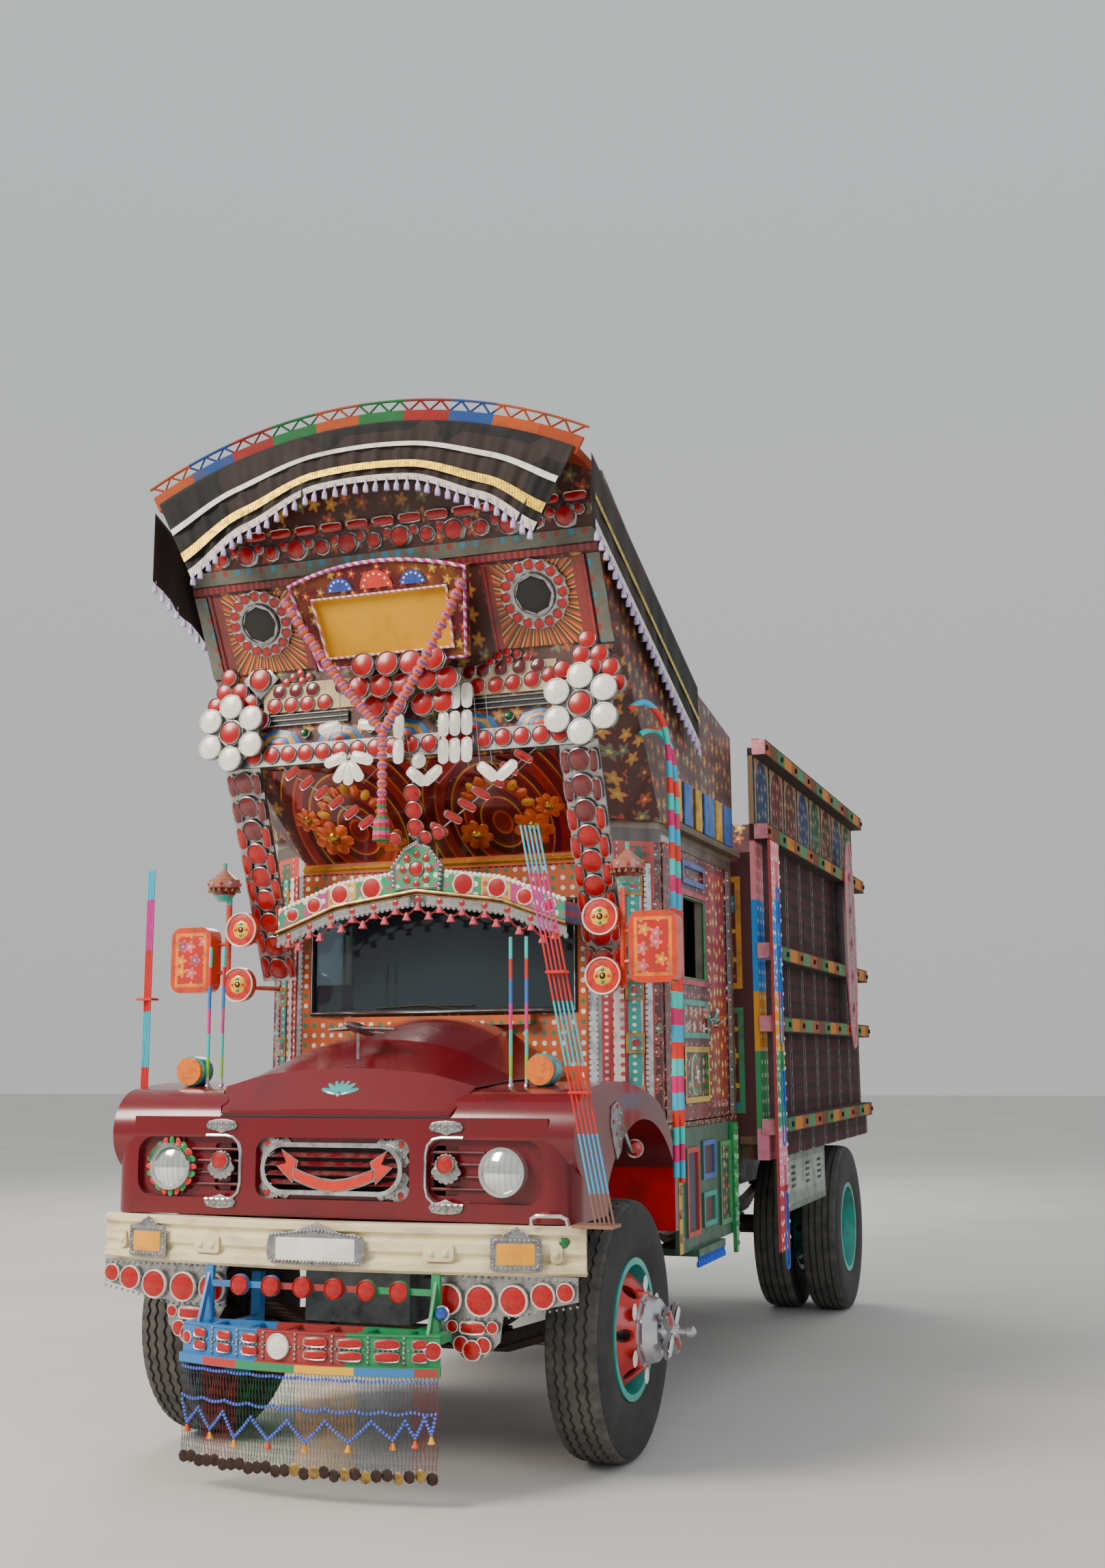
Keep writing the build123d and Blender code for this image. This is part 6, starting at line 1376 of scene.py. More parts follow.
# Brush enamel on tin, smoked and dulled: rays, a grey strip of blue and red dots, a red border.
ray_enamel = finish("ray_enamel", rays, "3f2f28", patch=0.2, grain=0.003, rough=(0.3, 0.5), coat=0.25,
                    bump=0.12, wear=(0.45, 0.8))
dotted_strip = finish("dotted_strip", spots(0.062, 0.013, "1f8fb0", "6c6e62", other="9c3a30"), "4c463c",
                      patch=0.2, grain=0.003, rough=(0.35, 0.55), coat=0.1, bump=0.12)
border_red = finish("border_red", repeat("X", 0.03, ((0.0, "9c2b2e"), (0.5, "6b2226"))), "4a2522", patch=0.1,
                    grain=0.003, rough=(0.3, 0.5), coat=0.2, bump=0.1)
bm = bmesh.new()
for side in (1, -1):
    x0, x1 = sorted((side * 0.455, side * 0.900))
    panel_on_prow(bm, x0, x1, 3.362, 3.690, 0.006, 0)
    for a, b in ((0.440, 0.456), (0.899, 0.915)):
        x0, x1 = sorted((side * a, side * b))
        panel_on_prow(bm, x0, x1, 3.355, 3.697, 0.014, 2)
    x0, x1 = sorted((side * 0.925, side * 0.985))
    panel_on_prow(bm, x0, x1, 3.352, 3.697, 0.010, 1)
panel_on_prow(bm, -0.985, 0.985, 3.705, 3.735, 0.012, 2)
panel_on_prow(bm, -0.985, 0.985, 3.740, 3.800, 0.010, 1)
make_piece("prow_panels", bm, [ray_enamel, dotted_strip, border_red], "truck")

# Two rows under the shelf: long reflectors over scalloped tin with round ones of three sizes.
bm = bmesh.new()
for i in range(15):
    x = -0.879 + 0.1275 * i
    stamp(bm, CAPSULE, prow_at(x, 3.923, 1, 0.008, 90) @ sized(0.0235, 0.0265, 0.025), (0, 1))
for i in range(8):
    x = -0.938 + 0.2555 * i
    for dx, dz, size in ((0.0, 0.0, 0.045), (0.127, -0.004, 0.032), (0.066, 0.020, 0.0205),
                         (-0.062, 0.020, 0.0205)):
        if abs(x + dx) < 0.93:
            stamp(bm, STUD, prow_at(x + dx, 3.852 + dz, 1, 0.001) @ sized(size * 1.30, size * 1.30, 0.010),
                  (0,))
            stamp(bm, REFLECTOR, prow_at(x + dx, 3.852 + dz, size, 0.009), (0, 1))
make_piece("shelf_reflectors", bm, [pressed_tin, red_lens], "truck")


# ---- Medallions ----------------------------------------------------------------------------
# Two turned wooden rounds: a black lacquered middle in a scalloped tin ring with sixteen red
# reflectors. They are left plain in the middle.
# Black lacquer, satin, that takes no colour from round it; the same black on the boards in the slot over the
# beam is painted shade.
black_lacquer_and_slot_shade = finish("black_lacquer_and_slot_shade", "060606", "141311", patch=0.05, grain=0.001, rough=(0.35, 0.45),
                       coat=0.05, bump=0.02)
dress(pressed_tin, "rosettes")
MEDAL_X, MEDAL_REFLECTORS = 0.668, 16
RING_LIP = turned("ring_lip", ((0.083, 0.012), (0.086, 0.022), (0.094, 0.024), (0.098, 0.012)), steps=32)
bm = bmesh.new()
lean = Vector((0, -0.879, -0.477))
for side in (1, -1):
    face_on = at(side * MEDAL_X, -0.229, 3.560, 1, lean)
    stamp(bm, STUD, face_on @ shifted(0, 0, 0.019) @ sized(0.083, 0.083, 0.006), (2,))
    stamp(bm, RING_LIP, face_on @ shifted(0, 0, 0.006), (0,))
    for i in range(MEDAL_REFLECTORS):
        spot = face_on @ Matrix.Rotation(2 * pi * i / MEDAL_REFLECTORS, 4, "Z") @ shifted(0, 0.131, 0.006)
        stamp(bm, STUD, spot @ sized(0.030, 0.030, 0.008), (0,))
        stamp(bm, REFLECTOR, spot @ shifted(0, 0, 0.005) @ Matrix.Scale(0.0235, 4), (0, 1))
make_piece("medallion_rings", bm, [pressed_tin, red_lens, black_lacquer_and_slot_shade], "truck")


# ---- Sign board ----------------------------------------------------------------------------
# A carved wooden board with an arched head: a plain yellow field in a dark red frame, a white
# rope round the field, a magenta one round the edge, and three half rosettes in the head.
SIGN_FOOT = Vector((0.0, -0.2355, 3.3056))
SIGN_UP = Vector((0.0, -0.477, 0.879))


def sign_tones(tree, place):
    """Yellow inside the sunk field, carved red outside it."""
    local = add_node(tree, "VectorMath", {0: place, 1: (0, SIGN_FOOT.y + AXLE_Y, SIGN_FOOT.z)},
                     operation="SUBTRACT").outputs[0]
    up = add_node(tree, "VectorMath", {0: local, 1: tuple(SIGN_UP)}, operation="DOT_PRODUCT").outputs["Value"]
    side = calc(tree, "ABSOLUTE", axes(tree, place)["X"])
    middle = calc(tree, "SUBTRACT", up, 0.190)
    high = calc(tree, "ABSOLUTE", middle)
    tapered = calc(tree, "MULTIPLY_ADD", middle, -0.077, side)
    wide = calc(tree, "LESS_THAN", tapered, 0.312)
    tall = calc(tree, "LESS_THAN", high, 0.133)
    inside = calc(tree, "MULTIPLY", wide, tall)
    carved = blossoms(0.060, "560c12", ((0.0, "a02a20"), (0.5, "8c5a3a"), (0.8, "b8862f")), "e0c060",
                      outline="38201c")(tree, place)
    return mixed(tree, inside, carved, tone("d89c00"))


# Flat enamel, chalky with age, on a carved board.
sign_enamel = finish("sign_enamel", sign_tones, "a06c14", patch=0.25, grain=0.003, rough=(0.7, 0.9),
                     bump=0.08, wear=(0.5, 0.9))
dress(sign_enamel, "sign_board")
# Painted rope mouldings and a blue half rosette: two-tone twists with little gloss.
white_rope = finish("white_rope", repeat("X", 0.030, ((0.0, "f2ece4"), (0.5, "cf6d78")), lean=0.6, other="Z"),
                    "b08c84", patch=0.03, grain=0.002, rough=(0.5, 0.7), bump=0.3)
magenta_rope = finish("magenta_rope", repeat("X", 0.040, ((0.0, "c2248a"), (0.5, "ead6df")), lean=0.9,
                                             other="Z"), "7c2c68", patch=0.03, grain=0.002, rough=(0.5, 0.7),
                      bump=0.3)
rosette_blue = finish("rosette_blue", "2347a8", "1b2f6e", patch=0.03, grain=0.002, rough=(0.3, 0.45),
                      coat=0.2, bump=0.05)


def on_sign(x, up, proud):
    """A place on the leaning board: across it, up along it and out of it."""
    return SIGN_FOOT + SIGN_UP * up + Vector((x, -0.879 * proud, -0.477 * proud))


bm = bmesh.new()
edge = [(-0.352, 0.008), (-0.422, 0.396)]
edge += [(0.422 * i / 8, 0.396 + 0.070 * (1 - (i / 8) ** 2)) for i in range(-8, 9)]
edge += [(0.422, 0.396), (0.352, 0.008)]
field = [(-0.304, 0.055), (-0.324, 0.325), (0.324, 0.325), (0.304, 0.055)]
rod(bm, [on_sign(x, up, 0.004) for x, up in edge], 0.0085, closed=True, paint=1)
rod(bm, [on_sign(x, up, 0.004) for x, up in field], 0.0075, closed=True, paint=0)
for x, size, paint in ((0.0, 0.078, 3), (-0.175, 0.060, 2), (0.175, 0.060, 2)):
    disc = bmesh.new()
    bmesh.ops.create_circle(disc, cap_ends=True, segments=24, radius=size)
    bmesh.ops.bisect_plane(disc, geom=disc.verts[:] + disc.edges[:] + disc.faces[:], plane_co=(0, 0, 0),
                           plane_no=(0, -1, 0), clear_outer=True)
    grown = bmesh.ops.extrude_face_region(disc, geom=disc.faces[:])["geom"]
    bmesh.ops.translate(disc, vec=(0, 0, 0.006), verts=[v for v in grown
                                                        if isinstance(v, bmesh.types.BMVert)])
    stamp(bm, keep_shape("half_rosette", disc), at(*on_sign(x, 0.350, 0.001), 1, lean), (paint,))
    for i in range(7):
        turn = radians(90 * (i - 3) / 3.4)
        stamp(bm, STUD, at(*on_sign(x + size * 0.78 * sin(turn), 0.350 + size * 0.78 * cos(turn), 0.006),
                           0.0062, lean), (4,))
make_piece("sign_trim", bm, [white_rope, magenta_rope, rosette_blue, ribbon_paint, white_dot], "truck")


# ---- Reflector work ------------------------------------------------------------------------
# Rows of red reflectors on a cream shelf over the beam, on the beam, on the three leaning
# strips a side and along the two wires that meet over the windscreen; each strip is tin.
dress(pressed_tin, "reflector_work")
# Cream enamel on the shelf, and red glass painted darker, as painted shade, for the lenses under the prow.
shelf_cream = finish("shelf_cream", "c9b48c", "8b7350", patch=0.1, grain=0.003, rough=(0.4, 0.6), coat=0.1,
                     bump=0.1)
shade_painted_lens = finish("shade_painted_lens", "6e0c12", "3d070b", patch=0.01, grain=0.0015, rough=(0.12, 0.25), coat=0.8,
                   bump=0.25)
bm = bmesh.new()
panel_on_prow(bm, -0.72, 0.72, 3.165, 3.300, 0.008, 3)
# Black boards fill the slot between the shelf and the half rosettes: painted shade for the gap, with three
# tin rods across it.
panel_on_prow(bm, -0.70, -0.28, 3.105, 3.150, 0.012, 4)
panel_on_prow(bm, 0.28, 0.70, 3.105, 3.150, 0.012, 4)
for z in (3.103, 3.127, 3.150):
    for x0, x1 in ((-0.70, -0.28), (0.28, 0.70)):
        rod(bm, [(x0, -0.110, z), (x1, -0.110, z)], 0.0035, paint=0)
# Lens 2 is the red glass painted darker: painted shade for the row under the shelf.
REFLECTOR_ROWS = (  # lens, radius, y, (x, z) places
    (1, 0.038, -0.105, (
        (-0.660, 3.196), (-0.573, 3.196), (-0.490, 3.196), (-0.402, 3.196), (0.352, 3.205), (0.439, 3.204),
        (0.520, 3.207), (0.608, 3.214), (0.688, 3.228))),
    (2, 0.034, -0.105, (
        (-0.636, 3.261), (-0.550, 3.261), (-0.464, 3.261), (-0.316, 3.261), (0.312, 3.275), (0.377, 3.275),
        (0.465, 3.275), (0.550, 3.275), (0.636, 3.275))),
    (1, 0.020, -0.110, (
        (-0.601, 3.303), (-0.566, 3.324), (-0.528, 3.341), (-0.519, 3.304), (-0.483, 3.322), (0.414, 3.311),
        (0.452, 3.333), (0.492, 3.349), (0.540, 3.335), (0.584, 3.318), (0.499, 3.311))),
    (1, 0.042, -0.125, (
        (0.869, 3.366), (0.840, 3.300), (0.922, 3.296), (0.971, 3.233), (0.890, 3.241), (0.755, 3.242),
        (1.000, 3.160), (-0.893, 3.347), (-0.916, 3.279), (-0.834, 3.276), (-0.778, 3.218), (-0.717, 3.131),
        (-0.960, 3.215))),
    (1, 0.055, -0.270, ((-0.128, 3.308), (-0.010, 3.305), (0.102, 3.300), (0.210, 3.308))),
    (1, 0.055, -0.222, ((-0.172, 3.219), (-0.064, 3.220), (0.046, 3.214), (0.158, 3.234), (0.258, 3.226))),
    (1, 0.055, -0.165, ((-0.120, 3.140), (-0.017, 3.144), (0.116, 3.134), (0.212, 3.140))),
)
for lens, size, y, places in REFLECTOR_ROWS:
    for x, z in places:
        stamp(bm, STUD, at(x, y + 0.010, z, 1) @ sized(size * 1.08, size * 1.08, 0.012), (0,))
        stamp(bm, REFLECTOR, at(x, y, z, size), (0, lens))
for y, z, half in ((-0.245, 3.300, 0.20), (-0.195, 3.215, 0.27), (-0.130, 3.140, 0.20)):
    rod(bm, [(-half, y, z), (half + 0.05, y, z)], 0.006, paint=0)
for x in (-0.06, 0.13):
    rod(bm, [(x, -0.094, 3.110), (x, -0.150, 3.140), (x, -0.235, 3.290), (x, -0.262, 3.335)], 0.007, paint=0)
diamond = [(-0.730, 3.232), (-0.822, 3.325), (-0.730, 3.418), (-0.638, 3.325)]
plate(bm, diamond, -0.112, 0.006, 0, 0.002)
stamp(bm, REFLECTOR, at(-0.730, -0.119, 3.325, 0.055), (0, 1))
for i in range(18):
    x = -0.744 + 0.0875 * i
    if abs(x) < 0.76:
        stamp(bm, REFLECTOR, at(x, -0.1305, 2.962, 0.0405), (0, 1))
make_piece("beam_reflectors", bm, [pressed_tin, red_lens, shade_painted_lens, shelf_cream, black_lacquer_and_slot_shade], "truck")

# Three leaning strips a side, the wires that run in from them and a short row down the middle.
COLUMN_LEAN = Vector((0, -0.928, -0.373))
COLUMNS = ((0.880, 0.872, 8, 0), (0.818, 0.806, 9, 1), (0.756, 0.742, 8, 0))
bm = bmesh.new()
for side in (1, -1):
    for top_x, foot_x, count, round_ones in COLUMNS:
        for i in range(count):
            s = (i + 0.5) / count * 0.985
            x = side * (top_x + (foot_x - top_x) * s)
            y, z = -0.106 + 0.390 * s, 2.905 - 0.950 * s
            spot = at(x, y - 0.0095, z - 0.004, 1, COLUMN_LEAN)
            # The top lenses of each strip, round and long, take the darker red: painted shade under the prow.
            if round_ones:
                stamp(bm, REFLECTOR, spot @ Matrix.Scale(0.0525, 4), (0, 1 if i > 2 else 2))
            else:
                stamp(bm, CAPSULE, spot @ sized(0.0245, 0.0243, 0.026), (0, 1 if i > 1 else 2))
    for i in range(7):
        s = (i + 0.5) / 7
        x, y, z = side * (0.600 - 0.495 * s), -0.105 + 0.075 * s, 2.905 - 0.335 * s
        stamp(bm, CAPSULE, at(x, y, z, 1, COLUMN_LEAN, 90 + side * -33) @ sized(0.0205, 0.0220, 0.022),
              (0, 1))
    rod(bm, [(side * 0.640, -0.100, 2.925), (side * 0.105, -0.022, 2.565)], 0.004, paint=0)
    for px, pz in ((0.075, 2.560), (0.135, 2.575)):
        stamp(bm, REFLECTOR, at(side * px, -0.035, pz, 0.030, COLUMN_LEAN), (0, 1))
for z, y in ((2.760, -0.050), (2.685, -0.030), (2.610, -0.010)):
    stamp(bm, REFLECTOR, at(0.015, y, z, 0.042, COLUMN_LEAN), (0, 1))
rod(bm, [(0.015, -0.060, 2.900), (0.015, -0.040, 2.760), (0.015, 0.015, 2.540)], 0.005, paint=0)
make_piece("column_reflectors", bm, [pressed_tin, red_lens, shade_painted_lens], "truck")

# The white ones: six round a red one at each end of the beam, and long ones on wires.
bm = bmesh.new()
FLOWER_X, FLOWER_Z, PETAL_RING = 0.850, 3.075, 0.122
for side in (1, -1):
    stamp(bm, REFLECTOR, at(side * FLOWER_X, -0.1705, FLOWER_Z, 0.0555), (0, 1))
    for i in range(6):
        turn = radians(60 * i)
        stamp(bm, REFLECTOR, at(side * (FLOWER_X + PETAL_RING * sin(turn)), -0.1705,
                                FLOWER_Z + PETAL_RING * cos(turn), 0.0575), (2, 2))
# Long ones in a block of nine, on one straight wire and in three hanging loops.
WHITE_LONG = [(x, z, 0) for x in (0.278, 0.331, 0.386) for z in (3.120, 3.002, 2.884)]
WHITE_LONG += [(0.066, 3.122 - 0.112 * i, 0) for i in range(3)]
for x0, x1, top, sag, count in ((-0.285, -0.060, 3.150, 0.330, 7), (0.118, 0.262, 2.835, 0.060, 2),
                                (0.438, 0.612, 2.835, 0.060, 2)):
    for i in range(count):
        share = 2 * (i + 0.5) / count - 1
        down = 1 - abs(share) ** 3
        slope = -3 * share * abs(share) * sag * 2 / (x1 - x0)
        turn = degrees(atan2(1, slope)) - 90 if count > 2 else 50 - 100 * (share > 0)
        WHITE_LONG.append(((x0 + x1) / 2 + share * (x1 - x0) / 2, top - sag * down, turn))


def carried_back(x, z):
    """The same spot as seen from VIEW_PLACE, on the lenses' plane: they were read 14 cm before it."""
    return [middle + (value - middle) * 1.0227 for value, middle in ((x, VIEW_PLACE[0]), (z, VIEW_PLACE[2]))]


for x, z, turn in WHITE_LONG:
    x, z = carried_back(x, z)
    stamp(bm, CAPSULE, at(x, -0.165, z, 1, turn=turn) @ sized(0.0265, 0.0265, 0.026), (2, 2))
x, z = carried_back(0.163, 2.850)
stamp(bm, REFLECTOR, at(x, -0.165, z, 0.034), (2, 2))
for wire in (((0.300, 3.190), (0.330, 2.840)), ((0.350, 3.190), (0.384, 2.840)),
             ((0.405, 3.190), (0.440, 2.840)), ((0.000, 3.200), (0.060, 2.840)),
             ((-0.300, 3.230), (-0.292, 3.080), (-0.262, 2.880), (-0.175, 2.800), (-0.085, 2.880),
              (-0.052, 3.080), (-0.045, 3.230)), ((0.105, 2.860), (0.190, 2.775), (0.275, 2.860)),
             ((0.425, 2.860), (0.525, 2.775), (0.625, 2.860))):
    rod(bm, [(x, -0.158, z) for x, z in wire], 0.0018, paint=0, sides=6)
make_piece("white_reflectors", bm, [pressed_tin, red_lens, white_lens], "truck")


# ---- Lacquer panel -------------------------------------------------------------------------
# The prow's underside over the windscreen is sheet brass beaten into flowers and arches and
# lacquered red and orange, with a dotted ledge along its foot.
def glow_bands(tree, place):
    """Rings of lacquer that run out from the middle of each half."""
    parts = axes(tree, place)
    side = calc(tree, "ABSOLUTE", parts["X"])
    far = far_from(tree, side, parts["Z"], (0.36, 2.640))
    lines = calc(tree, "MULTIPLY", far, 7.5)
    share = calc(tree, "FRACT", lines)
    return stepped(tree, share, ((0.0, "a3281a"), (0.28, "d9561c"), (0.36, "6a1414"), (0.62, "8c1c14"),
                                 (0.72, "c9952a"), (0.78, "5d1016")))


# Transparent lacquer over beaten brass: wet gloss that breaks on the hammer marks.
lacquered_brass = finish("lacquered_brass", glow_bands, "6a1a12", patch=0.16, grain=0.006, rough=(0.12, 0.28),
                         metal=0.55, coat=0.8, bump=0.6)
orange_lacquer = finish("orange_lacquer", "e0661c", "a8321a", patch=0.05, grain=0.004, rough=(0.12, 0.25),
                        metal=0.45, coat=0.8, bump=0.4)
gold_ledge = finish("gold_ledge", "d99a2a", "9a5a1e", patch=0.06, grain=0.003, rough=(0.25, 0.4), metal=0.4,
                    coat=0.3, bump=0.1)
bm = bmesh.new()
panel_on_prow(bm, -0.700, 0.700, 2.500, 2.905, 0.008, 0)
for z, thick, paint in ((2.497, 0.034, 2), (2.478, 0.046, 0)):
    panel_on_prow(bm, -0.715, 0.715, z - 0.008, z + 0.008, thick, paint)
for side in (1, -1):
    for x, z, size in ((0.500, 2.620, 0.060), (0.215, 2.600, 0.048), (0.600, 2.700, 0.040)):
        for i in range(7):
            spot = prow_at(side * x, z) @ Matrix.Rotation(2 * pi * i / 7, 4, "Z") @ shifted(0, size * 0.95, 0)
            stamp(bm, PETAL, spot @ sized(size * 0.9, size * 0.75, size * 0.5), (1,))
        stamp(bm, STUD, prow_at(side * x, z, size * 0.62), (3,))
    for k in range(9):
        turn = -80 + 20 * k
        x, z = side * (0.360 + 0.150 * sin(radians(turn))), 2.700 + 0.115 * cos(radians(turn))
        stamp(bm, PETAL, prow_at(x, z, 0.034, 0.009, -side * turn), (1 if k % 2 else 2,))
for i in range(49):
    stamp(bm, STUD, prow_at(-0.70 + 1.40 * i / 48, 2.480, 0.0075, 0.044), (4,))
# Pink enamel beads and bosses of bare brass.
pink_dot = finish("pink_dot", "e2606a", "a83c48", patch=0.03, grain=0.002, rough=(0.3, 0.45), coat=0.2,
                  bump=0.05)
brass_boss = finish("brass_boss", "b5802c", "6a3a1a", patch=0.02, grain=0.003, rough=(0.15, 0.3), metal=0.9,
                    bump=0.2)
make_piece("lacquer_panel", bm, [lacquered_brass, orange_lacquer, gold_ledge, brass_boss, pink_dot], "truck")

# Between shelf and beam: half rosettes painted in blue rings, small dark-green lamps.
bm = bmesh.new()
for x in (-0.640, -0.330, 0.0, 0.330, 0.640):
    for size, paint in ((0.115, 0), (0.088, 1), (0.060, 0), (0.034, 2)):
        stamp(bm, STUD, at(x, -0.094 - 0.08 * (0.115 - size), 3.020) @ sized(size, size * 0.62, 0.006),
              (paint,))
for x in (-0.500, -0.170, 0.170, 0.500):
    stamp(bm, LAMP_BALL, at(x, -0.112, 3.060, 0.020, (0, -1, 0.2)), (3, 4))
# Blue and ochre rings of brush enamel, half gloss.
ring_blue = finish("ring_blue", "2a6fae", "1d4474", patch=0.03, grain=0.002, rough=(0.3, 0.5), coat=0.2,
                   bump=0.05)
ring_ochre = finish("ring_ochre", "d39a34", "8c5f28", patch=0.03, grain=0.002, rough=(0.3, 0.5), coat=0.2,
                    bump=0.05)
make_piece("beam_half_rosettes", bm, [ring_blue, ring_ochre, ribbon_paint, chrome_plate, green_lens], "truck")


# ---- Arched shelf and its fretwork ---------------------------------------------------------
# A curved steel shelf that carries the cloth: painted fret plates, a lattice of thin rod over
# them and a top rail, each sector in its own colour.
SECTORS = ("9c3c04", "0a3a78", "800c0c", "045a28", "a03e04", "045f2c", "880f0a", "0a3e7c", "a84404", "963604")


def arch_sectors(tree, place):
    """One colour for each tenth of the arch's turn."""
    parts = axes(tree, place)
    up = calc(tree, "SUBTRACT", parts["Z"], ARCH_MIDDLE)
    turn = calc(tree, "ARCTAN2", parts["X"], up)
    share = add_node(tree, "MapRange", {"Value": turn, "From Min": -ARCH_HALF_TURN,
                                        "From Max": ARCH_HALF_TURN}).outputs[0]
    return stepped(tree, share, tuple((i / 10, colour) for i, colour in enumerate(SECTORS)))


# Matt enamel on steel in warm, blue, red and green sectors, dulled by smoke.
arch_enamel = finish("arch_enamel", arch_sectors, "5d4a3c", patch=0.1, grain=0.003, rough=(0.75, 0.95),
                     bump=0.12, wear=(0.5, 0.85))
dress(arch_enamel, "crown_arch")


# ---- Brow over the windscreen --------------------------------------------------------------
# A painted tin band with a shield in its middle: fields of green, magenta and yellow between
# red reflectors that grow toward the shield, a cream scalloped edge above and a brass tube below.
BROW_EDGE = ((0.0, 2.336), (0.400, 2.282), (0.700, 2.170))


def brow_low(x):
    """The height of the band's lower edge."""
    x = min(abs(x), 0.700)
    (a, z0), (b, z1) = BROW_EDGE[:2] if x <= 0.400 else BROW_EDGE[1:]
    return z0 + (z1 - z0) * (x - a) / (b - a)


FIELD_EDGES = (-0.660, -0.565, -0.450, -0.310, 0.300, 0.440, 0.590, 0.690)
FIELDS = ("1c8a6c", "17906c", "b3247e", "e9b01c", "149a66", "e9b01c", "b3247e", "17906c", "2b62a8")
# Fresh brush enamel with painted dots; the scalloped rim is plain off-white.
brow_enamel = finish("brow_enamel", spots(0.047, 0.0125, "f1ead8", zones("X", FIELD_EDGES, FIELDS),
                                          other="c43a5c"), "7c6a52", patch=0.06, grain=0.002,
                     rough=(0.25, 0.4), coat=0.3, bump=0.08)
dress(brow_enamel, "brow")
white_rim = finish("white_rim", "efe9df", "c2b7a6", patch=0.02, grain=0.001, rough=(0.3, 0.45), coat=0.2,
                   bump=0.03)
bm = bmesh.new()
for x, size in ((0.625, 0.031), (0.515, 0.037), (0.385, 0.045), (0.225, 0.050)):
    for side in (1, -1):
        spot = at(side * x, 0.040, brow_low(x) + 0.046 + 0.01 * (size - 0.03))
        stamp(bm, STUD, spot @ sized(size * 1.14, size * 1.14, 0.006), (0,))
        stamp(bm, REFLECTOR, spot @ shifted(0, 0, 0.003) @ sized(size, size, 0.020), (0, 1))
for i in range(61):
    x = -0.690 + 1.380 * i / 60
    if abs(x) > 0.118:
        stamp(bm, STUD, at(x, 0.046, brow_low(x) + 0.093, 1) @ sized(0.014, 0.014, 0.010), (0,))
shield = ((0.110, 2.336), (0.120, 2.440), (0.060, 2.520), (0.0, 2.548), (-0.060, 2.520), (-0.120, 2.440),
          (-0.110, 2.336))
for (x0, z0), (x1, z1) in zip(shield, shield[1:]):
    for k in range(5):
        stamp(bm, STUD, at(x0 + (x1 - x0) * k / 5, 0.031, z0 + (z1 - z0) * k / 5, 0.011), (2,))
rod(bm, [(x * 0.93, 0.029, 2.440 + (z - 2.440) * 0.93) for x, z in shield], 0.004, closed=True, paint=2)
stamp(bm, REFLECTOR, at(0, 0.029, 2.428, 0.036), (2, 1))
for i in range(8):
    stamp(bm, REFLECTOR, at(0.066 * sin(2 * pi * i / 8), 0.029, 2.428 + 0.066 * cos(2 * pi * i / 8), 0.0165),
          (2, 1))
FINIAL = turned("finial", ((0, -0.02), (0.020, -0.015), (0.012, 0.0), (0.030, 0.012), (0.034, 0.028),
                           (0.024, 0.044), (0, 0.050)), steps=12)
stamp(bm, FINIAL, shifted(0, 0.044, 2.555), (2,))
for i in range(5):
    turn = radians(-60 + 30 * i)
    stamp(bm, STUD, at(0.040 * sin(turn), 0.036, 2.572 + 0.030 * cos(turn), 0.011), (2,))
make_piece("brow_reflectors", bm, [white_rim, red_lens, pressed_tin], "truck")

# Brass tube, tin gutter with thirteen small reflectors, and strings of red beads whose pink
# bells hang in a zigzag; all fixed to the band's lower edge.
# Tarnished brass, pink moulded bells, and red beads on a thread drawn as painted light and shade: bright red
# rounds with dark red between them.
brass_tube = finish("brass_tube", "a8895a", "5c4a34", patch=0.05, grain=0.002, rough=(0.25, 0.4), metal=0.9,
                    bump=0.1)
bell_pink = finish("bell_pink", "d9606c", "8c3340", patch=0.01, grain=0.001, rough=(0.3, 0.5), coat=0.3,
                   bump=0.05)
bead_string_painted_rounds = finish("bead_string_painted_rounds", repeat("X", 0.0085, ((0.0, "c01c22"), (0.5, "5c1014"))), "6c1a1a",
                    patch=0.01, grain=0.001, rough=(0.25, 0.4), coat=0.3, bump=0.05)
bm = bmesh.new()
line = [-0.705 + 1.410 * i / 24 for i in range(25)]
rod(bm, [(x, 0.034, brow_low(x) - 0.004) for x in line], 0.0095, paint=0, sides=10)
rod(bm, [(x, 0.045, brow_low(x) - 0.017) for x in line], 0.0060, paint=0, sides=8)
for a, b in zip(line, line[1:]):
    plate(bm, ((a, brow_low(a) - 0.062), (b, brow_low(b) - 0.062), (b, brow_low(b) - 0.018),
               (a, brow_low(a) - 0.018)), 0.048, 0.004, 1)
for i in range(57):
    x = -0.700 + 1.40 * i / 56
    stamp(bm, STUD, at(x, 0.048, brow_low(x) - 0.060, 1) @ sized(0.0125, 0.014, 0.006), (1,))
for i in range(13):
    x = -0.648 + 0.108 * i
    stamp(bm, REFLECTOR, at(x, 0.047, brow_low(x) - 0.040, 0.0175), (1, 2))
    stamp(bm, BELL, shifted(x, 0.046, brow_low(x) - 0.078) @ Matrix.Scale(0.019, 4), (3,))
    for a, b in ((x - 0.054, x), (x, x + 0.054)):
        if abs(a) < 0.68 and abs(b) < 0.68:
            za = brow_low(a) - (0.062 if a == x else 0.105)
            zb = brow_low(b) - (0.062 if b == x else 0.105)
            rod(bm, [(a, 0.045, za), ((a + b) / 2, 0.045, (za + zb) / 2 - 0.010), (b, 0.045, zb)], 0.0042,
                paint=4, sides=6)
    if i < 12:
        stamp(bm, BELL, shifted(x + 0.054, 0.045, brow_low(x + 0.054) - 0.112) @ Matrix.Scale(0.021, 4), (3,))
make_piece("brow_gutter", bm, [brass_tube, pressed_tin, red_lens, bell_pink, bead_string_painted_rounds], "truck")


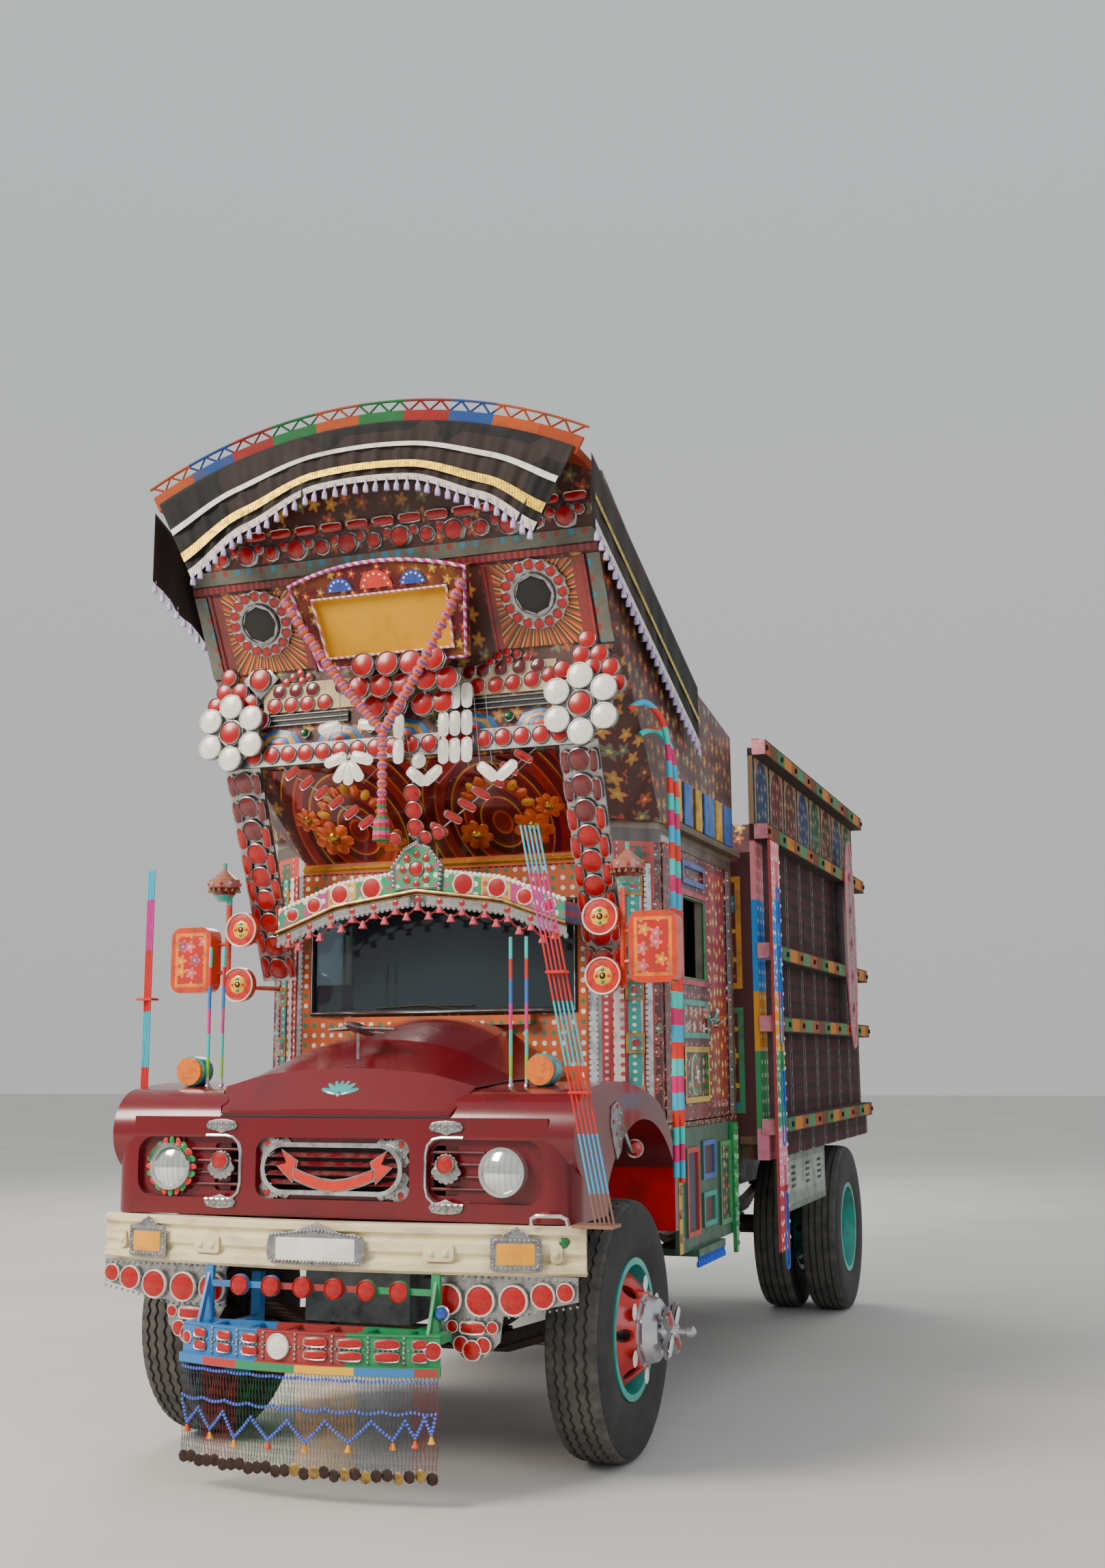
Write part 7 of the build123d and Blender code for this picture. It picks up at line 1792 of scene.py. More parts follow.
# ---- Windscreen ----------------------------------------------------------------------------
# A bent pane of grey-blue glass in the cab's front, with a black film along its foot and a
# pointed black lace behind its head, and one wiper.
def glass(name, colour, rough, clear):
    """Tinted glass that lets part of the light through."""
    material, tree = new_tree(name)
    place = add_node(tree, "TexCoord").outputs["Object"]
    dust = add_node(tree, "TexNoise", {"Vector": place, "Scale": 14.0, "Detail": 4.0}).outputs[0]
    film = add_node(tree, "MapRange", {"Value": dust, "From Min": 0.4, "From Max": 0.8, "To Min": rough,
                                       "To Max": rough + 0.12}).outputs[0]
    surface = add_node(tree, "BsdfPrincipled", {"Base Color": tone(colour), "Roughness": film,
                                                "Transmission Weight": clear})
    add_node(tree, "OutputMaterial", {"Surface": surface.outputs[0]})
    return material


# Clear grey-blue glass with a little dust on it.
dress(glass("screen_tint", "5f7480", 0.03, 0.85), "windscreen")
PANE_HALF, PANE_BOW = 0.655, 0.040


def pane_bow(x):
    """How far the pane bends back at that x."""
    return PANE_BOW * (x / PANE_HALF) ** 2


def bent(bm, x0, x1, z0, z1, back, paint, drops=None):
    """A curved strip that follows the pane; drops pulls its lower edge into points."""
    strip = bmesh.new()
    bmesh.ops.create_grid(strip, x_segments=72, y_segments=1, size=0.5)
    for v in strip.verts:
        share, low = v.co.x + 0.5, v.co.y < 0
        x = x0 + (x1 - x0) * share
        z = z0 if low else z1
        if low and drops:
            z -= drops * (1 - abs(2 * ((share * 12) % 1) - 1) ** 0.6)
        v.co = (x, 0.272 + pane_bow(x) + back, z)
    grown = bmesh.ops.extrude_face_region(strip, geom=strip.faces[:])["geom"]
    bmesh.ops.translate(strip, vec=(0, 0.002, 0), verts=[v for v in grown
                                                         if isinstance(v, bmesh.types.BMVert)])
    for face in strip.faces:
        face.material_index = paint
    stamp(bm, keep_shape("bent", strip), Matrix.Identity(4), tuple(range(paint + 1)))


# Glossy black film on the glass, and a matt black lace.
black_film = finish("black_film", "0b0d10", "1c2024", patch=0.1, grain=0.002, rough=(0.15, 0.25), bump=0.02)
black_lace = finish("black_lace", "08080a", "16161a", patch=0.03, grain=0.002, rough=(0.7, 0.9), bump=0.2)
bm = bmesh.new()
bent(bm, -0.640, 0.640, 1.806, 1.935, 0.012, 0)
bent(bm, -0.640, 0.640, 2.235, 2.285, 0.014, 1, 0.050)
for i in range(1, 12):
    x = -0.640 + 1.280 * i / 12
    stamp(bm, BEAD, shifted(x + 0.0533, 0.286 + pane_bow(x), 2.176) @ Matrix.Scale(0.011, 4), (1, 1))
make_piece("screen_film", bm, [black_film, black_lace], "truck")
bm = bmesh.new()
rod(bm, [(0.120, 0.262, 1.792), (0.100, 0.255, 1.812), (-0.050, 0.257, 1.830)], 0.006, paint=0)
rod(bm, [(-0.300, 0.262, 1.822), (-0.060, 0.256, 1.832), (0.180, 0.258, 1.826)], 0.0050, paint=0)
stamp(bm, STUD, at(0.125, 0.285, 1.790, 0.018, (0, -0.8, 0.6)), (0,))
make_piece("screen_wiper", bm, [seal_rubber], "truck")
# The pane sits in a rubber channel with a bright bead along it.
bm = bmesh.new()
line = [PANE_HALF * (i / 8 - 1) for i in range(17)]
loop = [(x, 0.258 + pane_bow(x), 1.802) for x in line] + [(x, 0.258 + pane_bow(x), 2.290) for x in line[::-1]]
rod(bm, loop, 0.013, closed=True, paint=0, sides=8)
rod(bm, [(x, y - 0.010, z) for x, y, z in loop], 0.004, closed=True, paint=1, sides=6)
make_piece("screen_channel", bm, [seal_rubber, chrome_plate], "truck")


# ---- Mirrors and their lamps ---------------------------------------------------------------
# Painted steel: orange-red tube, an orange housing with a red panel of pink leaves, discs with
# a yellow middle, and above each a pink domed lamp on a turquoise foot, hung with small bells.
def panels(boxes, ground, flat="YZ", bar=0.026):
    """Framed fields on a flat: (a0, a1, b0, b1, frame, field) a row, over a ground."""
    def draw(tree, place):
        parts = axes(tree, place)
        colour = ground(tree, place) if callable(ground) else tone(ground)
        shift = AXLE_Y if flat[0] == "Y" else 0.0
        first = parts[flat[0]]
        if flat[0] == "X":
            first = calc(tree, "ABSOLUTE", first)
        for a0, a1, b0, b1, frame_tone, field in boxes:
            reach = []
            for socket, low, high in ((first, a0 + shift, a1 + shift), (parts[flat[1]], b0, b1)):
                off = calc(tree, "SUBTRACT", socket, (low + high) / 2)
                off = calc(tree, "ABSOLUTE", off)
                reach.append(calc(tree, "SUBTRACT", off, (high - low) / 2))
            out = calc(tree, "MAXIMUM", reach[0], reach[1])
            inner = field(tree, place) if callable(field) else tone(field)
            edged = mixed(tree, calc(tree, "GREATER_THAN", out, -bar), inner, tone(frame_tone))
            colour = mixed(tree, calc(tree, "GREATER_THAN", out, 0.0), edged, colour)
        return colour
    return draw


# Bright brush enamels with some gloss, and a moulded pink dome.
leaf_panel = blossoms(0.070, "c81e1e", ((0.0, "e0568c"), (0.4, "e8862a"), (0.7, "7a3aa0")), "f0d060",
                      outline="f3a03a")
lamp_zones = zones("Z", (2.302, 2.348, 2.384, 2.468), ("d83a0c", "1fb5a0", "6d1428", "a8705c", "1fb5a0"))
mirror_enamel = finish("mirror_enamel", panels(((1.030, 1.195, 1.925, 2.172, "f08a1e", leaf_panel),),
                                               lamp_zones, flat="XZ", bar=0.014), "8c3a24", patch=0.05,
                       grain=0.002, rough=(0.2, 0.35), coat=0.4, bump=0.06)
dress(mirror_enamel, "mirrors")
disc_yellow = finish("disc_yellow", "efb81c", "a87a1c", patch=0.03, grain=0.002, rough=(0.2, 0.35), coat=0.4,
                     bump=0.04)
disc_red = finish("disc_red", "d8281e", "7c1a16", patch=0.03, grain=0.002, rough=(0.2, 0.35), coat=0.4,
                  bump=0.04)
lamp_pink = finish("lamp_pink", "c9838a", "7a4a48", patch=0.02, grain=0.002, rough=(0.3, 0.5), coat=0.2,
                   bump=0.2)
RING = turned("disc_ring", ((0.072, 0.0), (0.074, 0.007), (0.079, 0.008), (0.080, 0.0)), steps=32)
bm = bmesh.new()
for side in (1, -1):
    for x, z in ((0.870, 2.183), (0.880, 1.932)):
        face_on = at(side * x, -0.001, z)
        stamp(bm, RING, face_on, (5,))
        stamp(bm, STUD, face_on @ sized(0.073, 0.073, 0.003), (1,))
        stamp(bm, STUD, face_on @ Matrix.Rotation(pi / 4, 4, "Z") @ sized(0.046, 0.046, 0.006), (0,))
        for px, pz, paint in ((0.0, 0.026, 2), (0.0, -0.026, 2), (0.028, 0.0, 1), (-0.028, 0.0, 1),
                              (0.0, 0.0, 3)):
            stamp(bm, STUD, face_on @ shifted(px, pz, 0.0045) @ sized(0.0085, 0.0085, 0.004), (paint,))
    for i in range(14):
        turn = 2 * pi * i / 14
        spot = shifted(side * 0.986 + 0.067 * cos(turn), 0.034 + 0.067 * sin(turn), 2.372)
        stamp(bm, BELL, spot @ Matrix.Scale(0.0115, 4), (3,))
    for i in range(10):
        turn = 2 * pi * i / 10
        spot = (side * 0.986 + 0.0725 * cos(turn), 0.034 + 0.0725 * sin(turn), 2.400)
        stamp(bm, STUD, at(*spot, 0.010, (cos(turn), sin(turn), 0)), (4 if i % 2 else 1,))
make_piece("mirror_discs", bm, [disc_yellow, disc_red, leaf_enamel, brass_tube, lamp_pink, white_rim],
           "truck")


# ---- Cab walls -----------------------------------------------------------------------------
# Sheet steel over a wooden frame, hidden under painted tin: striped pillar strips beside the
# screen, small framed fields, a grey-brown ledge and blue and yellow blocks under the prow.
def stripes(axis, start, widths_and_tones):
    """Bands along an axis from start on: (width, colour or pattern) a row; the last one runs on."""
    def draw(tree, place):
        along = axes(tree, place)[axis]
        if axis == "Y":
            along = calc(tree, "SUBTRACT", along, AXLE_Y)
        edge, colour = start, None
        for width, paint in widths_and_tones:
            socket = paint(tree, place) if callable(paint) else tone(paint)
            if colour is None:
                colour = socket
            else:
                past = calc(tree, "GREATER_THAN", along, edge)
                colour = mixed(tree, past, colour, socket)
            edge += width
        return colour
    return draw


# Enamelled tin, sooty and worn: flowers, dots and plain bands.
small_flowers = blossoms(0.055, "571d1c", ((0.0, "b02a26"), (0.5, "8e2a2c"), (0.8, "3f6a52")), "e8d9b8",
                         flat="YZ", outline="a88a72")
red_dots = spots(0.030, 0.0075, "f0ece4", "c8242a", flat="YZ")
green_dots = spots(0.040, 0.0100, "d8303a", "2a6a48", flat="YZ")
front_dots = spots(0.046, 0.011, "efe6d2", "c4581a", other="2f7a52")
pillar_field = stripes("Y", 0.30, ((0.008, front_dots), (0.042, "b9bbb8"), (0.035, "d23a34"),
                                   (0.05, red_dots), (0.03, "e8e2d6"), (0.035, "c8342c"),
                                   (0.9, small_flowers)))
cab_enamel = finish("cab_enamel", panels(((0.395, 0.505, 2.330, 2.560, "d04a3a", green_dots),
                                          (0.560, 0.700, 2.360, 2.600, "b9bbb8", red_dots),
                                          (0.560, 0.700, 1.860, 2.330, "c83a30", "5f6e5c"),
                                          (1.795, 1.885, 1.300, 2.560, "8c3a34", green_dots)),
                                         stripes("Z", 1.26, ((0.0, "7a2022"), (1.30, pillar_field),
                                                             (0.06, "5c5248"), (0.3, "8a7a66"))), bar=0.022),
                    "4a3830", patch=0.2, grain=0.003, rough=(0.3, 0.5), coat=0.15, bump=0.1,
                    wear=(0.45, 0.85))
dress(cab_enamel, "cab_shell")

# Tin strips nailed over the pillars and small framed squares beside the screen.
# Embossed bare tin that glitters, and enamel strips: red, ochre, chalk white, turquoise.
silver_strip = finish("silver_strip", spots(0.024, 0.0045, "6c6a66", "c2c3c2", flat="YZ"), "6e675c",
                      patch=0.05, grain=0.003, rough=(0.25, 0.4), metal=0.8, bump=0.5)
turquoise_field = finish("turquoise_field", spots(0.034, 0.008, "f0ece0", "1f9e92"), "3c5c56", patch=0.06,
                         grain=0.002, rough=(0.3, 0.5), coat=0.15)
pillar_red = finish("pillar_red", spots(0.030, 0.0075, "f0ece4", "c8242a"), "6a2a26", patch=0.06, grain=0.002,
                    rough=(0.3, 0.45), coat=0.2)
pillar_ochre = finish("pillar_ochre", "b8862f", "6a5230", patch=0.06, grain=0.002, rough=(0.35, 0.5),
                      coat=0.1)
chalk_white = finish("chalk_white", spots(0.040, 0.010, "c8343c", "e6e0d4"), "9c9284", patch=0.08,
                     grain=0.002, rough=(0.35, 0.5), coat=0.1)
PILLAR_FOOT, PILLAR_HEAD = 1.30, 2.46
PILLAR_STRIPS = (  # place along, width, paint
    (0.030, 0.044, 0), (0.090, 0.034, 1), (0.150, 0.052, 2), (0.225, 0.060, 3), (0.295, 0.036, 0))
bm = bmesh.new()
for side in (1, -1):
    outward = Vector((side * 0.618, -0.786, 0))
    along = Vector((side * 0.786, 0.618, 0))
    corner = Vector((side * 0.705, 0.300, 0.0))
    for offset, wide, paint in PILLAR_STRIPS:
        middle = corner + along * offset + Vector((0, 0, (PILLAR_FOOT + PILLAR_HEAD) / 2)) + outward * 0.003
        stamp(bm, block(wide, PILLAR_HEAD - PILLAR_FOOT, 0.007, 0.0015), at(*middle, 1, outward), (paint,))
    for k in range(5):
        middle = corner + along * 0.225 + Vector((0, 0, 1.42 + 0.235 * k)) + outward * 0.008
        for size, thick, paint in ((0.090, 0.006, 4), (0.062, 0.010, 3), (0.030, 0.016, 5)):
            stamp(bm, block(size, size, thick), at(*middle, 1, outward), (paint,))
make_piece("pillar_strips", bm, [silver_strip, pillar_red, chalk_white, turquoise_field, pillar_ochre,
                                 red_lens], "truck")

# The ledge under the prow's flank and the coloured blocks over it.
bm = bmesh.new()
BLOCKS = ((0.74, 0.10, 1), (0.90, 0.14, 2), (1.12, 0.10, 1), (1.28, 0.20, 2), (1.52, 0.12, 1),
          (1.68, 0.16, 2))
for side in (1, -1):
    for y0, y1, z0, z1, paint in [(0.660, 1.895, 2.640, 2.672, 0)] + [(y, y + wide, 2.690, 2.900, paint)
                                                                      for y, wide, paint in BLOCKS]:
        proud = 0.040 if paint == 0 else 0.012
        middle = (side * (1.000 + proud / 2), (y0 + y1) / 2, (z0 + z1) / 2)
        stamp(bm, block(proud, y1 - y0, z1 - z0, 0.003), Matrix.Translation(middle), (paint,))
# Bare weathered board along its grain, and two enamels with little gloss.
ledge_wood = finish("ledge_wood", "6e5c4a", "3f342a", patch=0.10, grain=0.004, rough=(0.5, 0.75), bump=0.4,
                    stretch=(1, 0.1, 1))
block_yellow = finish("block_yellow", "d9a826", "7c6428", patch=0.08, grain=0.003, rough=(0.35, 0.55),
                      coat=0.1)
block_blue = finish("block_blue", "2f6ab8", "2a4468", patch=0.08, grain=0.003, rough=(0.35, 0.55), coat=0.1)
make_piece("prow_ledge", bm, [ledge_wood, block_yellow, block_blue], "truck")


# ---- Inside the cab ------------------------------------------------------------------------
# A varnished wooden dash with chrome-rimmed gauges, a thin black steering wheel with a red boss.
# Dark varnish over straight grain, and hard black plastic.
varnished_wood = finish("varnished_wood", "5a2f1a", "2f1a10", patch=0.25, grain=0.004, rough=(0.2, 0.35),
                        coat=0.5, bump=0.12, stretch=(0.08, 1, 1))
dress(varnished_wood, "dashboard")
wheel_black = finish("wheel_black", "161414", "2c2824", patch=0.04, grain=0.001, rough=(0.3, 0.45), coat=0.2,
                     bump=0.04)
dress(wheel_black, "steering_wheel")
bm = bmesh.new()
GAUGE = turned("gauge", ((0, 0.004), (0.82, 0.004), (0.86, 0.10), (1.0, 0.10), (1.0, 0.0), (0, 0.0)),
               steps=20)
for x, size in ((-0.520, 0.050), (-0.400, 0.036), (-0.310, 0.036), (0.300, 0.045)):
    stamp(bm, GAUGE, at(x, 0.530, 1.710, size, (0, 1, 0)), (0,))
for i in range(5):
    stamp(bm, STUD, at(-0.200 + 0.07 * i, 0.531, 1.690, 0.012, (0, 1, 0)), (1,))
boss = Vector((-0.430, 0.780, 1.780))
axis = Vector((0, 0.766, 0.643))
stamp(bm, STUD, at(*(boss + axis * 0.018), 1, axis) @ sized(0.042, 0.042, 0.020), (2,))
make_piece("dash_gauges", bm, [chrome_plate, white_rim, red_lens], "truck")


# ---- Doors ---------------------------------------------------------------------------------
# Wooden doors lacquered dark red-brown with red flowers: a blue-framed top light, a white and
# crimson window frame, a turquoise-framed field and an oval flower in green, edged with tin.
# Brush enamel in small flowers under old varnish, worn at the hand's height.
dark_field = blossoms(0.048, "4a1c1e", ((0.0, "a3242a"), (0.5, "7c2a28"), (0.8, "b0503a")), "e6d4b4",
                      flat="YZ", outline="7a3a34")
red_field = blossoms(0.085, "8c1f22", ((0.0, "efe6da"), (0.6, "e0b8a8")), "d03a30", flat="YZ",
                     outline="2f7a4a")
green_field = blossoms(0.052, "20382c", ((0.0, "c8262c"), (0.6, "d8b4a0")), "f0c83a", flat="YZ",
                       outline="3d8a5c")
scrolls = blossoms(0.070, "a3201f", ((0.0, "d8b04a"), (0.5, "e0862a")), "f4ead8", flat="YZ", outline="5c1214")
door_enamel = finish("door_enamel", panels(((0.860, 1.270, 2.410, 2.520, "2f5aa8", dark_field),
                                            (0.830, 1.300, 1.930, 2.380, "b81e46", "8c8276"),
                                            (0.830, 1.300, 1.680, 1.860, "1fa08c", red_field),
                                            (0.840, 1.290, 1.380, 1.640, "d9a81c", green_field),
                                            (0.830, 1.300, 1.310, 1.366, "7c1a20", red_field),
                                            (1.330, 1.700, 1.320, 2.540, "6a2022", scrolls),
                                            (0.600, 0.800, 1.320, 2.540, "6a2022", dark_field)), dark_field),
                     "3a2622", patch=0.12, grain=0.003, rough=(0.25, 0.45), coat=0.25, bump=0.12,
                     wear=(0.5, 0.85))
dress(door_enamel, "door_left", "door_right")
OVAL = turned("oval", ((0, 0.0), (1.0, 0.0), (0.96, 0.55), (0.7, 0.85), (0, 1.0)), steps=24)
for side, name in ((1, "left"), (-1, "right")):
    bm = bmesh.new()
    # The tin edge strip with its nails, and the lever's plate.
    stamp(bm, block(0.004, 0.064, 1.245), shifted(side * 0.9985, 1.755, 1.930), (0,))
    for i in range(14):
        stamp(bm, STUD, at(side * 1.0005, 1.755, 1.350 + 0.089 * i, 0.007, (side, 0, 0)), (1,))
    stamp(bm, STUD, at(side * 0.9925, 1.480, 1.780, 1, (side, 0, 0)) @ sized(0.036, 0.050, 0.010), (2,))
    # Beads of paint round the window and the lower field, then the oval flower in that field.
    for y0, y1, z0, z1, paint in ((0.862, 1.268, 1.962, 2.348, 3), (0.846, 1.284, 1.946, 2.364, 5),
                                  (0.862, 1.268, 1.402, 1.618, 3)):
        corners = ((y0, z0), (y1, z0), (y1, z1), (y0, z1))
        for a, b in zip(corners, corners[1:] + corners[:1]):
            rod(bm, [(side * 0.9935, *a), (side * 0.9935, *b)], 0.006, paint=paint)
    oval = at(side * 0.9915, 1.065, 1.510, 1, (side, 0, 0))
    for wide, high, thick, paint in ((0.076, 0.098, 0.004, 5), (0.072, 0.094, 0.006, 3),
                                     (0.048, 0.070, 0.011, 4), (0.013, 0.030, 0.016, 5)):
        stamp(bm, OVAL, oval @ sized(wide, high, thick), (paint,))
    for i in range(8):
        spoke = oval @ Matrix.Rotation(2 * pi * (i + 0.5) / 8, 4, "Z") @ shifted(0.036, 0, 0.008)
        stamp(bm, STUD, spoke @ sized(0.013, 0.006, 0.006), (2 if i % 2 else 5,))
    # The turquoise lever and its pale knob.
    rod(bm, [(side * 1.002, 1.300, 1.770), (side * 1.006, 1.370, 1.776), (side * 1.006, 1.440, 1.812)], 0.008,
        paint=2)
    stamp(bm, STUD, at(side * 1.006, 1.448, 1.816, 0.016, (side, 0, 0)), (5,))
    for i in range(4):
        stamp(bm, REFLECTOR, at(side * 0.9915, 1.400 + 0.08 * i, 1.362, 0.020, (side, 0, 0)), (0, 4))
    for i in range(18):
        stamp(bm, STUD, at(side * 0.9915, 1.345, 1.40 + 0.065 * i, 0.0075, (side, 0, 0)), (5,))
    make_piece("door_trim_" + name, bm, [silver_strip, chrome_plate, turquoise_enamel, leaf_enamel, red_lens,
                                         white_rim], "door_" + name)


# ---- Load body sides -----------------------------------------------------------------------
# Planked wooden walls with posts and rails bolted over them: dark maroon bays, rails painted in
# brown, green and orange blocks, an upper band of painted fields under tan arches.
BAY_START, BAY_PITCH = 1.990, 0.39125


def bays(tree, place):
    """The painted colours of a wall by height and by bay."""
    parts = axes(tree, place)
    along = calc(tree, "SUBTRACT", parts["Y"], AXLE_Y + BAY_START)
    turns = calc(tree, "MULTIPLY", along, 1 / BAY_PITCH)
    share = calc(tree, "FRACT", turns)
    number = calc(tree, "FLOOR", turns)
    slat = calc(tree, "FRACT", calc(tree, "MULTIPLY", parts["Z"], 1 / 0.095))
    planks = stepped(tree, slat, ((0.0, "090405"), (0.09, "3c0d12"), (0.75, "2c0a0f")))
    across = calc(tree, "SUBTRACT", share, 0.5)
    across = calc(tree, "MULTIPLY", across, BAY_PITCH)
    high = calc(tree, "SUBTRACT", parts["Z"], 3.060)
    high = calc(tree, "MAXIMUM", high, 0.0)
    reach = add_node(tree, "VectorMath", {0: add_node(tree, "CombineXYZ", {0: across, 1: high}).outputs[0]},
                     operation="LENGTH").outputs["Value"]
    hue = calc(tree, "MULTIPLY", number, 0.37)
    hue = calc(tree, "FRACT", hue)
    tints = stepped(tree, hue, ((0.0, "2a4a78"), (0.22, "7c2c30"), (0.45, "2f6a4c"), (0.68, "6a3a2c"),
                                (0.85, "35507c")))
    scene = blossoms(0.080, "28231f", ((0.0, "c0504a"), (0.3, "3d7a9c"), (0.6, "b89a3a"), (0.8, "4f8a5a")),
                     "e8dcc4", flat="YZ", outline="5c4c40")(tree, place)
    field = mixed(tree, 0.45, tints, scene)
    arched = mixed(tree, calc(tree, "GREATER_THAN", reach, 0.150), field, tone("a8835c"))
    upper = calc(tree, "GREATER_THAN", parts["Z"], 2.80)
    return mixed(tree, upper, planks, arched)


# Dry, chalky enamel on planks and rails, rubbed off in patches.
RAIL_HEIGHTS = (1.230, 1.765, 2.150, 2.790, 3.250)
rail_blocks = repeat("Y", 1.17, ((0.0, "6a4426"), (0.17, "3d7a4a"), (0.33, "c97a28"), (0.50, "8c5a2c"),
                                 (0.66, "4f8a5c"), (0.83, "b0502c")))
post_beads = spots(0.065, 0.012, "8c4a44", "161212", flat="YZ", other="7a7a84")
RAILS = tuple((1.960, 5.150, z - 0.043, z + 0.043, "3a2a1e", rail_blocks) for z in RAIL_HEIGHTS)
POSTS = tuple((1.960 + BAY_PITCH * i, 2.020 + BAY_PITCH * i, 1.060, 3.300, "8c8884", post_beads)
              for i in range(9))
POST_FRONT = (1.935, 2.155, 0.600, 2.745)
post_zones = zones("Z", (0.92, 1.22, 1.62, 1.93, 2.42),
                   ("c8344a", "e58aa0", "3d9a5c", "e9a01f", "2f93e0", "ea8f96"))
post_spots = spots(0.068, 0.0125, "f4efe6", post_zones, flat="YZ")
wall_tones = panels(POSTS + RAILS + ((*POST_FRONT, "b9484c", post_spots),), bays, bar=0.008)
plate_tones = panels(((*POST_FRONT, "b9484c", post_spots), (4.240, 4.600, 1.640, 3.040, "c0707a", "98928e")),
                     "c0707a", bar=0.008)


def side_tones(tree, place):
    """The wall's colours, and those of the two cut plates that stand proud of its rails."""
    side = calc(tree, "ABSOLUTE", axes(tree, place)["X"])
    proud = calc(tree, "GREATER_THAN", side, 1.1815)
    return mixed(tree, proud, wall_tones(tree, place), plate_tones(tree, place))


side_enamel = finish("side_enamel", side_tones, "2c201a", patch=0.15, grain=0.004, rough=(0.75, 0.95),
                     bump=0.2, wear=(0.6, 0.95))
dress(side_enamel, "load_side_left", "load_side_right")

# Nailed and bolted work on the walls: bolt heads on the rails, pink caps on their ends, beads
# on the pierced post, blue edges in its slots, and small cut-tin birds in the bays.
# Blackened iron, pink and blue enamel on the ends and slots, and thin coloured tin.
bolt_black = finish("bolt_black", "1a1816", "3a302a", patch=0.01, grain=0.001, rough=(0.45, 0.65), metal=0.5,
                    bump=0.1)
end_pink = finish("end_pink", "e2909a", "a8626a", patch=0.05, grain=0.003, rough=(0.4, 0.6), coat=0.1)
slot_blue = finish("slot_blue", "1f6fd0", "2a4a78", patch=0.05, grain=0.002, rough=(0.3, 0.45), coat=0.2)
cut_tin = finish("cut_tin", repeat("Y", 1.17, ((0.0, "c8909a"), (0.33, "5a9ad8"), (0.66, "d0a878"))),
                 "7a6a60", patch=0.04, grain=0.002, rough=(0.3, 0.5), metal=0.3)
PLATE_FACE = 1.1965  # how far out the cut plates' faces stand
BIRD = ((-0.060, 0.010), (-0.030, 0.040), (0.0, 0.012), (0.050, 0.045), (0.062, -0.010), (0.020, -0.040),
        (-0.030, -0.030))
bm = bmesh.new()
for side in (1, -1):
    for z in RAIL_HEIGHTS:
        stamp(bm, block(0.074, 0.006, 0.082, 0.0015), shifted(side * 1.142, 1.957, z), (1,))
        for i in range(9):
            stamp(bm, BOLT_HEAD, at(side * 1.180, BAY_START + BAY_PITCH * i, z, 0.016, (side, 0, 0)), (0,))
    for z in (0.700, 1.330, 1.850, 2.300):
        slot = [(cos(2 * pi * k / 16 + 0.05), sin(2 * pi * k / 16 + 0.05)) for k in range(16)]
        loop = [(side * PLATE_FACE, 2.080 + 0.036 * a, z + (0.165 if b > 0 else -0.165) + 0.030 * b)
                for a, b in slot]
        rod(bm, loop, 0.0065, closed=True, paint=2, sides=6)
    for i in range(26):
        for y in (1.958, 2.132):
            stamp(bm, STUD, at(side * PLATE_FACE, y, 0.660 + 0.079 * i, 0.0115, (side, 0, 0)), (3,))
    loop = [(side * PLATE_FACE, 4.420 + 0.160 * sin(a), 2.340 + 0.690 * cos(a))
            for a in [2 * pi * k / 40 for k in range(40)]]
    rod(bm, loop, 0.010, closed=True, paint=1, sides=6)
    for i in range(5):
        hole = [(side * PLATE_FACE, 4.420 + 0.070 * sin(a), 1.900 + 0.220 * i + 0.070 * cos(a))
                for a in [pi * k / 2 for k in range(4)]]
        rod(bm, hole, 0.0055, closed=True, paint=1, sides=6)
        stamp(bm, STUD, at(side * PLATE_FACE, 4.420, 1.790 + 0.220 * i, 0.014, (side, 0, 0)), (1,))
    for i in range(8):
        bird = [(side * 1.0850, 2.215 + BAY_PITCH * i + y, 2.560 + z) for y, z in BIRD]
        rod(bm, bird, 0.0065, closed=True, paint=4, sides=6)
make_piece("side_fittings", bm, [bolt_black, end_pink, slot_blue, white_rim, cut_tin], "truck")


# ---- Ends, deck and gate -------------------------------------------------------------------
# Worn boards: a bare deck, a headboard painted maroon, a rear frame and a low gate in painted
# fields with iron straps.
# Bare worn boards with dark joints; the ends wear dusty enamel with little gloss.
deck_boards = finish("deck_boards", repeat("X", 0.14, ((0.0, "241a12"), (0.04, "6e563c"), (0.5, "5f4a34"))),
                     "3a2e22", patch=0.12, grain=0.005, rough=(0.6, 0.85), bump=0.4, stretch=(1, 0.08, 1))
dress(deck_boards, "load_deck")
end_field = blossoms(0.130, "5c2024", ((0.0, "c8553a"), (0.4, "d8a03a"), (0.7, "3d7a9c")), "efe2c8",
                     outline="2f4a3a")
head_enamel = finish("head_enamel", panels(((0.05, 0.50, 1.30, 1.85, "c9862c", end_field),
                                            (0.05, 0.50, 1.95, 2.55, "2f6ab8", end_field),
                                            (0.56, 1.02, 1.30, 1.85, "3d8a5c", end_field),
                                            (0.56, 1.02, 1.95, 2.55, "c9862c", end_field)), "4f2426",
                                           flat="XZ", bar=0.030), "3a2a22", patch=0.15, grain=0.004,
                     rough=(0.4, 0.65), coat=0.1, bump=0.2, wear=(0.5, 0.85))
dress(head_enamel, "headboard")
rear_enamel = finish("rear_enamel", panels(((0.04, 0.175, 1.0, 4.0, "8c2a2c", end_field),
                                            (0.225, 0.575, 1.0, 4.0, "2f5a8c", end_field),
                                            (0.625, 1.02, 1.0, 4.0, "3d7a4a", end_field)), "5c3a22",
                                           flat="XZ", bar=0.020), "3a2a22", patch=0.15, grain=0.004,
                     rough=(0.4, 0.65), coat=0.1, bump=0.2, wear=(0.5, 0.85))
dress(rear_enamel, "rear_frame")
